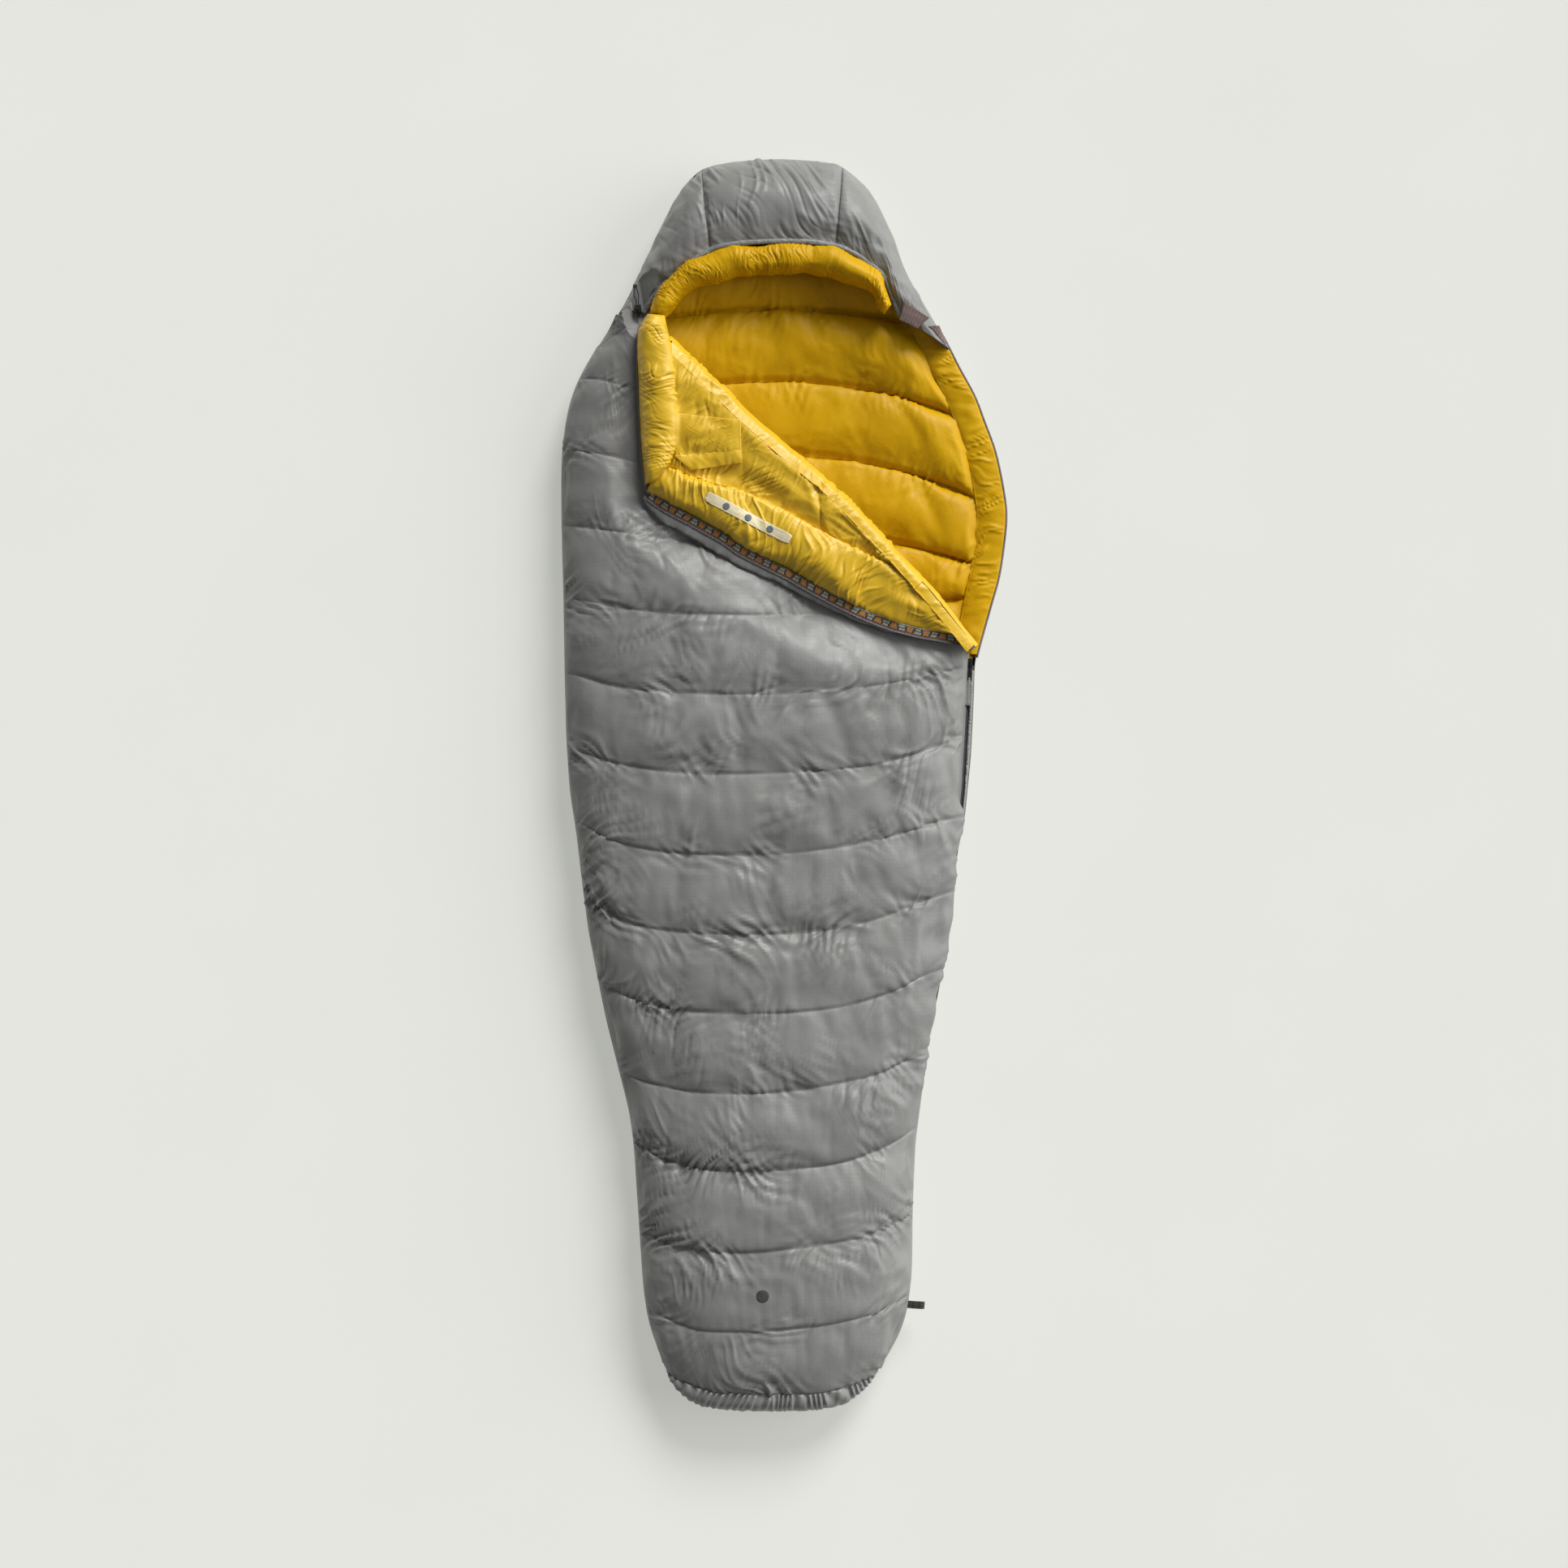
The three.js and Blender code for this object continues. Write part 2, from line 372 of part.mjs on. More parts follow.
// ---------------------------------------------------------------- neck closure
const TAB_A = [208, 830], TAB_B = [251, 801];
mesh('neck_loop_patch', flat([[206, 824], [236, 803.6], [226, 790], [204, 794], [199, 806]], 101.6, 102.8), MAUVE, 0.95);
mesh('neck_tab', flat([[207.2, 829.4], [250.2, 800.4], [235.2, 785.4], [219.8, 781.2], [197.4, 795.2], [203, 812]], 103.4, 105.2), MAUVE, 0.9);

// ---------------------------------------------------------------- foot hang loop
{
  const h = 6, t = 1.7, x0 = 215.4, x1 = 244, r = h;
  const outer = new THREE.Shape();
  outer.moveTo(x0, -h); outer.lineTo(x1 - r, -h); outer.absarc(x1 - r, 0, r, -Math.PI / 2, Math.PI / 2, false); outer.lineTo(x0, h); outer.closePath();
  const inner = new THREE.Path();
  inner.moveTo(x0 + t, -h + t); inner.lineTo(x0 + t, h - t); inner.lineTo(x1 - r, h - t); inner.absarc(x1 - r, 0, r - t, Math.PI / 2, -Math.PI / 2, true); inner.closePath();
  outer.holes.push(inner);
  const g = new THREE.ExtrudeGeometry(outer, { depth: 12, bevelEnabled: false, curveSegments: 6 });
  g.rotateX(Math.PI / 2); g.translate(0, -893, SIDE_SEAM_Z);
  mesh('foot_hang_loop', g, BLACK, 0.85);
}

// ---------------------------------------------------------------- hood drawcord and lock
const LEG = 1.75;                                // half the spacing of the two cord legs
const LOCK_TURN = 0.14;                          // the loop leans outwards by this angle
{
  // Both legs leave the hood channel, pass the lock and meet in the tied end.
  const pts = [];
  for (let k = 0; k <= 10; k++) pts.push(new THREE.Vector3(LEG, mix(-16, 36, k / 10), 0));
  for (let k = 1; k < 6; k++) pts.push(new THREE.Vector3(LEG * Math.cos(Math.PI * k / 6), 36 + LEG * 1.6 * Math.sin(Math.PI * k / 6), 0));
  for (let k = 0; k <= 10; k++) pts.push(new THREE.Vector3(-LEG, mix(36, -16, k / 10), 0));
  const path = new THREE.CatmullRomCurve3(pts, false, 'centripetal');
  const ring = new THREE.Shape(range(0, 7).map((k) => new THREE.Vector2(CORD_D / 2 * Math.cos(Math.PI * k / 4), CORD_D / 2 * Math.sin(Math.PI * k / 4))));
  const cord = new THREE.ExtrudeGeometry(ring, { steps: 32, bevelEnabled: false, extrudePath: path });
  const place = (g) => g.rotateZ(LOCK_TURN).translate(...LOCK);
  mesh('hood_drawcord', place(cord), BLACK, 0.8);

  const shell = solid(box(-5.4, 5.4, -6, 6, -4.2, 7.6));
  const channel = solid(box(-3.4, 3.4, -8, 8, -1.6, 1.6));
  const pocket = solid(new THREE.CylinderGeometry(3.3, 3.3, 6, 20).rotateX(Math.PI / 2).translate(0, 0, 5.6));
  mesh('cord_lock_body', place(fromSolid(shell.subtract(channel).subtract(pocket))), BLACK, 0.5);
  mesh('cord_lock_button', place(new THREE.CylinderGeometry(2.9, 2.9, 5.2, 20).rotateX(Math.PI / 2).translate(0, 0, 8.0)), BLACK, 0.5);
  const coil = new THREE.LatheGeometry([[1.7, 0], [2.5, 0], [2.5, 2.0], [1.7, 2.0], [1.7, 0]].map(([x, y]) => new THREE.Vector2(x, y)), 16);
  mesh('cord_lock_spring', place(coil.rotateX(Math.PI / 2).translate(0, 0, 3.0)), 0xb0b0ae, 0.3, 0.9);
}

// ---------------------------------------------------------------- folded flap
const inFold = (y, d = FOLD_INSET) => [foldX(y) - d / foldN[0], y];
const ZIP_EDGE = [[-236.6, 499.8], [-203, 476], [-168, 457.8], [-134.4, 439.6], [-99.4, 420], [-74.2, 401], [-30.8, 379.4], [11.2, 358.4], [54.6, 333.2], [96.6, 310.8], [140, 289.8], [183.4, 273], [225.4, 261.8], [238, 259]];
const DRAFT_TOP = [[-228, 546], [-194, 544], [-168, 530.6], [-126, 516.6], [-74.2, 501.2], [-14, 476], [54.6, 439.6], [133, 398], [190, 368], [238, 332]];
const yAt = (line, x) => { for (let i = 1; i < line.length; i++) if (x <= line[i][0]) { const [xa, ya] = line[i - 1], [xb, yb] = line[i]; return mix(ya, yb, (x - xa) / (xb - xa)); } return line[line.length - 1][1]; };
const COLLAR_L = [[770, -248], [735, -251], [700, -251.5], [650, -249.5], [600, -246.5], [560, -243], [553, -242]];
const COLLAR_R = [[770, -190], [735, -189], [700, -185.5], [650, -182], [600, -180], [560, -184], [553, -190]];

{
  // One sheet of outer shell lies under everything on the flap.
  const outline = [];
  for (const [y, x] of COLLAR_L) outline.push([x, y]);
  for (const [x, y] of ZIP_EDGE) outline.push([x + (x < -200 ? 3.5 : 0), y + 10.5]);
  outline.push([236, 330]); outline.push(inFold(362)); outline.push(inFold(745)); outline.push([-186, 768]);
  mesh('flap_shell', flat(outline, FLAP_BOTTOM, FLAP_BOTTOM + SHEET), GREY);
}
const FLAP_FLOOR = FLAP_BOTTOM + SHEET + GAP;
{
  const T = [0, 0.28, 0.72, 1], h = [14, 44, 44, 12];
  const f = (top) => (i, j) => [mix(COLLAR_L[i][1], COLLAR_R[i][1], T[j]), COLLAR_L[i][0], top ? FLAP_FLOOR + h[j] * (i === 0 ? 0.7 : 1) : FLAP_FLOOR];
  mesh('collar_tube', slab(range(0, 6), range(0, 3), f(false), f(true)), YELLOW, 0.5);
}
{
  const X = [-228, -194, -168, -126, -74.2, -14, 54.6, 133, 190, 232];
  const T = [0, 0.25, 0.7, 1], h = [13, 33, 30, 14];
  const f = (top) => (i, j) => {
    const x = X[i], lo = yAt(ZIP_EDGE, x) + 12, hi = yAt(DRAFT_TOP, x) - 1.2;
    return [x, mix(lo, hi, T[j]), top ? FLAP_FLOOR + h[j] * (i === 0 || i === 9 ? 0.75 : 1) : FLAP_FLOOR];
  };
  mesh('flap_draft_tube', slab(range(0, 9), range(0, 3), f(false), f(true)), YELLOW_LIGHT, 0.5);
}
const FLAP_LINING_TOP = 140;
{
  // Main quilt of the flap between collar, draft tube and fold.
  const foldSide = [748, 690, 615, 540, 485, 420, 372].map((y) => inFold(y));
  const tubeSide = [[-174, 590], [-158, 529], [-100, 510.5], [-30, 484.5], [30, 455], [110, 413], [178, 378]];
  tubeSide[0] = [-176, 606];
  const T = [0, 0.18, 0.5, 1];
  const topZ = (j) => (j === 0 ? FLAP_LINING_TOP - 12 : FLAP_LINING_TOP);
  const xy = (i, j) => { const g = smooth((a, b) => [mix(foldSide[a][0], tubeSide[a][0], T[b]), mix(foldSide[a][1], tubeSide[a][1], T[b]), 0]); return g(i, j); };
  const grid = (z) => (i, j) => { const p = xy(i, j); return [p[0], p[1], z(j)]; };
  const cols = range(0, 3);
  mesh('flap_down_upper', slab([0.01, 1, 2, 2.98], cols, grid(() => FLAP_FLOOR), grid((j) => topZ(j) - SHEET - GAP)), DOWN, 0.95);
  mesh('flap_down_lower', slab([3.02, 4, 5, 5.99], cols, grid(() => FLAP_FLOOR), grid((j) => topZ(j) - SHEET - GAP)), DOWN, 0.95);
  mesh('flap_lining', slab(range(0, 6), cols, grid((j) => topZ(j) - SHEET), grid(topZ)), YELLOW_LIGHT, 0.5);
}
{
  // Small chest pocket on the flap's lining, with a hemmed mouth.
  const z = FLAP_LINING_TOP + 0.35;
  mesh('pocket_patch', flat([[-158, 557], [-72, 567], [-74, 618], [-150, 624]], z, z + 1.0), YELLOW, 0.55);
  mesh('pocket_hem', flat([[-156, 540], [-74, 540], [-73, 565.2], [-158, 555.2]], z, z + 1.8), YELLOW_LIGHT, 0.55);
}
// Left of the path is outside, so negative offsets lie in the flap.
mesh('flap_zip_tape', ribbon(ZIP_EDGE.map(([x, y]) => [x, y]), -9.6, -3.4, FLAP_BOTTOM - 1.4, FLAP_BOTTOM - 0.5), 0x6a6470);
mesh('flap_zip_coil', ribbon(ZIP_EDGE.map(([x, y]) => [x, y]), -3.05, 0, FLAP_BOTTOM - 1.6, FLAP_BOTTOM + 0.8), 0x4f4c57, 0.45);

export default bag;
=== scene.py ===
import math
import bpy
import numpy as np
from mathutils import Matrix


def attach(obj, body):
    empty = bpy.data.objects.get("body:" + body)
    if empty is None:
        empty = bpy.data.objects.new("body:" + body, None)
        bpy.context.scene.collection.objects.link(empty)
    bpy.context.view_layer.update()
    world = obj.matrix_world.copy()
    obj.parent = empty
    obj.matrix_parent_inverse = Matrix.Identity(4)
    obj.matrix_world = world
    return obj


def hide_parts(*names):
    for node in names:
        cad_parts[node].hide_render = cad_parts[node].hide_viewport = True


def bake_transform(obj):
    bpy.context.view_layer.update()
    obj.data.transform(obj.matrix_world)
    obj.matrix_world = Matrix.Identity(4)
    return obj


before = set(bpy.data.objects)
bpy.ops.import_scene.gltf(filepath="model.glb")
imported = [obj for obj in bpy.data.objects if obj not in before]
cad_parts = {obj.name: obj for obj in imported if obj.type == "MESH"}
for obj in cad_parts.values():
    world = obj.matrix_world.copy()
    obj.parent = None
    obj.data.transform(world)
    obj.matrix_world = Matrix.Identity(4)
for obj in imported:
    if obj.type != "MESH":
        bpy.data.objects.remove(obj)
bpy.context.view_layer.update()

MM = 0.001

# ----------------------------------------------------------------------------
# outline of the bag lying flat, in millimetres, [y, x]
EDGE_LEFT = [[-1079.4, -99.4], [-1072.4, -145.6], [-1062.6, -165.2], [-1044.4, -184.8], [-1016.4, -203], [-988.4, -214.2], [-932.4, -233.8], [-876.4, -243], [-792.4, -248.6], [-680.4, -256], [-624.4, -259.8], [-568.4, -267.2], [-512.4, -281.2], [-456.4, -295.2], [-400.4, -309.2], [-344.4, -320.4], [-260.4, -337.2], [-176.4, -348.4], [-92.4, -358.2], [-8.4, -370.8], [75.6, -376.4], [187.6, -379.2], [327.6, -381.6], [411.6, -383.8], [470, -385], [530, -385], [579.6, -383.8], [635.6, -376], [663.6, -369], [691.6, -359.2], [719.6, -345.2], [747.6, -328.4], [775.6, -308], [803.6, -292.6], [831.6, -274.4], [887.6, -246.4], [943.6, -222.6], [999.6, -194.6], [1027.6, -177.8], [1055.6, -155.4], [1068.2, -145.6], [1076.6, -137.2]]
EDGE_RIGHT = [[-1079.4, 58.8], [-1072.4, 98], [-1062.6, 114.8], [-1044.4, 138.6], [-1016.4, 161], [-988.4, 179.2], [-960.4, 194.6], [-932.4, 207.2], [-904.4, 214.2], [-848.4, 221.2], [-736.4, 222.6], [-624.4, 226.8], [-540.4, 238], [-456.4, 247.8], [-372.4, 264.6], [-288.4, 281.4], [-204.4, 292.6], [-120.4, 299.6], [-64.4, 312.2], [-8.4, 317.8], [47.6, 323.4], [131.6, 327.6], [215.6, 330.4], [243.6, 338.8], [299.6, 354.2], [355.6, 371], [411.6, 379.4], [467.6, 385], [523.6, 376.2], [579.6, 364], [635.6, 341.6], [663.6, 333.2], [691.6, 317.8], [719.6, 301], [747.6, 288.4], [775.6, 273], [803.6, 257.6], [831.6, 240.8], [887.6, 208.6], [943.6, 190.4], [999.6, 163.8], [1027.6, 145.6], [1055.6, 117.6], [1068.2, 105], [1076.6, 78.4]]


def smooth_table(tab, sigma=14.0):
    """The outline sampled every 4 mm and rounded off, as (y, x)."""
    t = np.array(tab)
    y = np.arange(t[0, 0], t[-1, 0] + 4, 4.0)
    x = np.interp(y, t[:, 0], t[:, 1])
    r = int(3 * sigma / 4)
    k = np.exp(-0.5 * (np.arange(-r, r + 1) * 4 / sigma) ** 2)
    k /= k.sum()
    pad = np.concatenate([2 * x[0] - x[1:r + 1][::-1], x, 2 * x[-1] - x[-r - 1:-1][::-1]])
    return y, np.convolve(pad, k, "valid")


_EL, _ER = smooth_table(EDGE_LEFT), smooth_table(EDGE_RIGHT)


def edge_l(y):
    return np.interp(y, *_EL)


def edge_r(y):
    return np.interp(y, *_ER)


FOLD_A, FOLD_B, HINGE_Z = np.array([338.8, 236.6]), np.array([-184.8, 786.8]), 110.0
FOLD_U = (FOLD_B - FOLD_A) / np.linalg.norm(FOLD_B - FOLD_A)
FOLD_N = np.array([FOLD_U[1], -FOLD_U[0]])          # towards the opening


def fold_n(x, y):
    """Signed distance from the fold line, positive over the opening."""
    return (x - FOLD_A[0]) * FOLD_N[0] + (y - FOLD_A[1]) * FOLD_N[1]


def fold_x(y, n=0.0):
    return FOLD_A[0] + (y - FOLD_A[1]) * FOLD_U[0] / FOLD_U[1] + n / FOLD_N[0]


def fold_point(t, n=0.0):
    """t mm along the fold from its zip end."""
    return FOLD_A + FOLD_U * t + FOLD_N * n


# front quilting seams, (x, y), foot to chest, then the strip beside the opening
SEAMS = [
    [(-203, -1016), (-160, -1036), (-118, -1046), (-60, -1049), (0, -1049), (60, -1047), (105, -1040), (142, -1026), (161, -1010)],
    [(-221, -910), (-190, -925), (-154, -937), (-101, -939.4), (-56, -939.4), (-11, -936.6), (34, -932.4), (78, -926.8), (116, -918.4), (154, -910), (183, -896), (214, -880)],
    [(-241, -768.6), (-214, -787), (-178, -796.6), (-122, -801), (-57, -803.6), (-1.4, -798), (45, -792.4), (92, -785.4), (139, -777), (175, -761.6), (221, -740)],
    [(-252, -620), (-214, -642.6), (-168, -656.6), (-112, -663.6), (-48, -663.6), (8.4, -660.8), (64, -655.2), (111, -646.8), (157, -631.4), (193, -614.6), (227, -592)],
    [(-288, -490), (-260, -505.4), (-214, -518), (-160, -527.8), (-104, -530.6), (-38, -530.6), (17, -526.4), (73, -518), (129, -508.2), (175, -497), (213, -480), (249, -460.6)],
    [(-312, -347), (-253, -371), (-199, -386.4), (-125, -392), (-49, -393.4), (15, -392), (80, -386.4), (133, -376.6), (186, -361), (230, -340), (277, -312)],
    [(-339, -194.6), (-295, -226.8), (-242, -245), (-189, -253.4), (-113, -256.2), (-39, -257.6), (25, -256.2), (80, -250.6), (144, -239.4), (207, -218.4), (262, -197.4), (294, -179)],
    [(-354, -63), (-316, -86.8), (-274, -103.6), (-221, -114.8), (-157, -120.4), (-81, -121.8), (-7, -120.4), (57, -114.8), (122, -105), (186, -91), (239, -77), (304, -54.6)],
    [(-360, 60), (-295, 36.4), (-231, 25.2), (-167, 18.2), (-81, 16.8), (25, 19.6), (101, 25.2), (165, 32.2), (218, 44.8), (256, 58.8), (309, 77)],
    [(-371, 193), (-295, 168), (-231, 159.6), (-113, 154), (4, 154), (80, 161), (165, 168), (239, 182), (309, 198.8)],
    [(-378, 322), (-280, 302.4), (-203, 292.6), (-43, 288.4), (62, 292.6), (136, 300), (309, 323)],
    [(-385, 448), (-341, 441), (-293, 434), (-250, 428.4), (-201, 421.4), (0, 410), (250, 410)],
    [(-380, 577), (-341, 571), (-315, 567), (-288, 562.8), (-248, 553), (-180, 548), (200, 545)],
    [(-372, 700), (-333, 698.6), (-301, 694.4), (-277, 686), (-240, 680), (-180, 676), (60, 672)],
    [(-340, 745), (-312, 757.4), (-293, 770), (-277, 775.6), (-256, 782.6), (-180, 786), (0, 786)],
    [(-300, 806), (-270, 812), (-240, 818), (-170, 818)],
]


def hash01(ix, iy, seed):
    h = (ix.astype(np.int64) * 374761393 + iy.astype(np.int64) * 668265263 + seed * 974634777) & 0xFFFFFFFF
    h = ((h ^ (h >> 13)) * 1274126177) & 0xFFFFFFFF
    h = h ^ (h >> 16)
    return (h & 0xFFFFFF) / float(0x1000000)


def noise(x, y, seed=0):
    x, y = np.broadcast_arrays(np.asarray(x, float), np.asarray(y, float))
    ix, iy = np.floor(x), np.floor(y)
    fx, fy = x - ix, y - iy
    u = fx * fx * fx * (fx * (fx * 6 - 15) + 10)
    v = fy * fy * fy * (fy * (fy * 6 - 15) + 10)

    def g(dx, dy):
        a = hash01(ix + dx, iy + dy, seed) * 2 * math.pi
        return np.cos(a) * (fx - dx) + np.sin(a) * (fy - dy)
    return 1.5 * ((g(0, 0) * (1 - u) + g(1, 0) * u) * (1 - v) + (g(0, 1) * (1 - u) + g(1, 1) * u) * v)


def fbm(x, y, seed=0, octaves=3, gain=0.5):
    out, a = 0.0, 1.0
    for k in range(octaves):
        out = out + a * noise(x * 2 ** k, y * 2 ** k, seed + 17 * k)
        a *= gain
    return out


def creases(x, y, length, width, angle, seed, warp=0.6):
    """Thin soft ridges about width mm wide and length mm long, lying along angle."""
    c, s = math.cos(angle), math.sin(angle)
    u, v = (x * c + y * s), (-x * s + y * c)
    w = warp * noise(x / (length * 0.7), y / (length * 0.7), seed + 5)
    n = noise(u / length, v / width + w * 3, seed)
    return np.exp(-(n / 0.16) ** 2)


def sstep(a, b, v):
    t = np.clip((v - a) / (b - a), 0, 1)
    return t * t * (3 - 2 * t)


# ----------------------------------------------------------------------------
# grids and meshes
def up_axis(P, k):
    """Catmull-Rom refinement of a grid by k along its first axis."""
    n = len(P)
    t = np.linspace(0, n - 1, (n - 1) * k + 1)
    i = np.minimum(t.astype(int), n - 2)
    f = (t - i).reshape((-1,) + (1,) * (P.ndim - 1))
    a = P[np.maximum(i - 1, 0)]
    b, c = P[i], P[i + 1]
    d = P[np.minimum(i + 2, n - 1)]
    return 0.5 * ((2 * b) + (-a + c) * f + (2 * a - 5 * b + 4 * c - d) * f ** 2 + (-a + 3 * b - 3 * c + d) * f ** 3)


def up(P, ku, kv=None):
    kv = ku if kv is None else kv
    P = up_axis(P, ku) if ku > 1 else P
    return np.swapaxes(up_axis(np.swapaxes(P, 0, 1), kv), 0, 1) if kv > 1 else P


def normals(P):
    du = np.gradient(P, axis=1)
    dv = np.gradient(P, axis=0)
    n = np.cross(du, dv)
    return n / np.maximum(np.linalg.norm(n, axis=2, keepdims=True), 1e-9)


def link(o):
    bpy.context.scene.collection.objects.link(o)
    return o


def make_mesh(name, verts, faces, smooth=True):
    """verts in millimetres; faces is a list of quads or triangles, or an (n, k) array."""
    me = bpy.data.meshes.new(name)
    v = np.asarray(verts, np.float64).reshape(-1, 3) * MM
    f = [list(map(int, q)) for q in faces] if not isinstance(faces, np.ndarray) else faces
    if isinstance(f, np.ndarray):
        n, k = f.shape
        me.vertices.add(len(v))
        me.vertices.foreach_set("co", v.astype(np.float32).ravel())
        me.loops.add(n * k)
        me.loops.foreach_set("vertex_index", f.astype(np.int32).ravel())
        me.polygons.add(n)
        me.polygons.foreach_set("loop_start", (np.arange(n) * k).astype(np.int32))
        me.update(calc_edges=True)
        me.validate()
    else:
        me.from_pydata([tuple(p) for p in v], [], f)
        me.update()
    if smooth:
        me.polygons.foreach_set("use_smooth", np.ones(len(me.polygons), bool))
    o = bpy.data.objects.new(name, me)
    return link(o)


def grid_faces(R, C, mask=None, off=0, flip=False):
    i, j = np.meshgrid(np.arange(R - 1), np.arange(C - 1), indexing="ij")
    if mask is not None:
        i, j = i[mask], j[mask]
    i, j = i.ravel(), j.ravel()
    a = i * C + j + off
    q = np.stack([a, a + 1, a + 1 + C, a + C], 1)
    return q[:, ::-1] if flip else q


def sheet_mesh(name, P, mask=None, flip=False):
    R, C = P.shape[:2]
    o = make_mesh(name, P.reshape(-1, 3), grid_faces(R, C, mask, flip=flip))
    clean(o)
    return o


def clean(o, dist=2e-5):
    import bmesh
    bm = bmesh.new()
    bm.from_mesh(o.data)
    bmesh.ops.remove_doubles(bm, verts=bm.verts, dist=dist)
    loose = [v for v in bm.verts if not v.link_faces]
    bmesh.ops.delete(bm, geom=loose, context="VERTS")
    bm.to_mesh(o.data)
    bm.free()
    o.data.update()


def closed_mesh(name, T, B, mask=None, dist=2e-5):
    """A closed body between a top grid and a bottom grid of the same size."""
    R, C = T.shape[:2]
    if mask is None:
        mask = np.ones((R - 1, C - 1), bool)
    n = R * C
    faces = [grid_faces(R, C, mask), grid_faces(R, C, mask, off=n, flip=True)]
    m = np.zeros((R + 1, C + 1), bool)
    m[1:R, 1:C] = mask
    walls = []
    for di, dj, a, b in ((-1, 0, (0, 0), (0, 1)), (1, 0, (1, 1), (1, 0)), (0, -1, (1, 0), (0, 0)), (0, 1, (0, 1), (1, 1))):
        nb = m[1 + di:R + di, 1 + dj:C + dj]
        i, j = np.nonzero(mask & ~nb)
        p = (i + a[0]) * C + j + a[1]
        q = (i + b[0]) * C + j + b[1]
        walls.append(np.stack([p + n, q + n, q, p], 1))
    o = make_mesh(name, np.concatenate([T.reshape(-1, 3), B.reshape(-1, 3)]), np.concatenate(faces + walls))
    clean(o, dist)
    return o


def solidify(o, t, offset=-1.0):
    m = o.modifiers.new("thickness", "SOLIDIFY")
    m.thickness = t
    m.offset = offset
    m.use_even_offset = False
    return m


def set_mat(o, *mats):
    o.data.materials.clear()
    for m in mats:
        o.data.materials.append(m)


# ----------------------------------------------------------------------------
# cloth: inflates and wrinkles a pinned grid, then gives the new grid back
def blur(D, k):
    for _ in range(k):
        for ax in (0, 1):
            A = np.concatenate([np.take(D, [0], ax), D, np.take(D, [-1], ax)], ax)
            n = D.shape[ax]
            D = 0.25 * np.take(A, range(0, n), ax) + 0.5 * np.take(A, range(1, n + 1), ax) + 0.25 * np.take(A, range(2, n + 2), ax)
    return D


def puff(P, pinned, mask=None, frames=16, pressure=1.5, grow=0.04, bend=0.02, cap=14.0, quality=4, tension=12.0, flip=False, mass=0.05, comp=None, share=1.0, soft=0):
    """P is a grid in mm. pinned, 0 to 1, holds a point where it is. grow is the spare fabric."""
    R, C = P.shape[:2]
    idx = grid_faces(R, C, mask, flip=flip)
    used = np.unique(idx)
    back = -np.ones(R * C, int)
    back[used] = np.arange(len(used))
    o = make_mesh("cloth_work", P.reshape(-1, 3)[used], back[idx])
    me = o.data
    w = pinned.reshape(-1)[used]
    vg = o.vertex_groups.new(name="pin")
    for lev in np.unique(np.round(w, 2)):
        if lev > 0:
            vg.add([int(k) for k in np.nonzero(np.round(w, 2) == lev)[0]], float(lev), "REPLACE")
    m = o.modifiers.new("cloth", "CLOTH")
    s = m.settings
    s.quality = quality
    s.mass = mass
    s.tension_stiffness = tension
    s.compression_stiffness = tension if comp is None else comp
    s.shear_stiffness = tension * 0.4
    s.bending_stiffness = bend
    s.tension_damping = 3
    s.compression_damping = 3
    s.shear_damping = 3
    s.bending_damping = 0.3
    s.air_damping = 2.0
    s.use_pressure = True
    s.uniform_pressure_force = pressure
    s.shrink_min = -grow
    s.vertex_group_mass = "pin"
    s.pin_stiffness = 5.0
    s.effector_weights.gravity = 0.0
    m.collision_settings.use_collision = False
    m.collision_settings.use_self_collision = False
    m.point_cache.frame_start = 1
    m.point_cache.frame_end = frames + 1
    sc = bpy.context.scene
    for f in range(1, frames + 1):
        sc.frame_set(f)
    dg = bpy.context.evaluated_depsgraph_get()
    ev = o.evaluated_get(dg).to_mesh()
    co = np.zeros(len(used) * 3, np.float32)
    ev.vertices.foreach_get("co", co)
    o.evaluated_get(dg).to_mesh_clear()
    out = P.reshape(-1, 3).copy()
    new = co.reshape(-1, 3).astype(float) / MM
    d = new - out[used]
    d[~np.isfinite(d)] = 0
    l = np.linalg.norm(d, axis=1, keepdims=True)
    d *= np.where(l > cap, cap / np.maximum(l, 1e-9), 1.0)
    d *= (1 - (w >= 1))[:, None]
    D = np.zeros_like(out)
    D[used] = d
    D = D.reshape(P.shape)
    if soft:
        D = blur(D, soft) * (pinned < 1)[..., None]
    out = out + share * D.reshape(-1, 3)
    bpy.data.objects.remove(o)
    bpy.data.meshes.remove(me)
    sc.frame_set(1)
    return out.reshape(P.shape)


# ----------------------------------------------------------------------------
# camera, floor and light
sc = bpy.context.scene
sc.view_settings.view_transform = "Standard"
sc.view_settings.look = "None"
sc.render.fps = 24
cam_data = bpy.data.cameras.new("camera")
cam_data.lens = 100.0
cam_data.sensor_width = 36.0
cam_data.clip_end = 60.0
cam = link(bpy.data.objects.new("camera", cam_data))
cam.location = (0.0, 0.0, 7.585)
cam.rotation_euler = (0.0, 0.0, 0.0)
sc.camera = cam


def nodes_of(m):
    m.use_nodes = True
    t = m.node_tree
    bsdf = t.nodes["Principled BSDF"]
    return t, bsdf


def add(t, kind, **props):
    n = t.nodes.new(kind)
    for k, v in props.items():
        setattr(n, k, v)
    return n


def mapped(t, scale=(1, 1, 1), rot=(0, 0, 0)):
    co = add(t, "ShaderNodeTexCoord")
    mp = add(t, "ShaderNodeMapping")
    mp.inputs["Scale"].default_value = scale
    mp.inputs["Rotation"].default_value = rot
    t.links.new(co.outputs["Object"], mp.inputs["Vector"])
    return mp.outputs["Vector"]


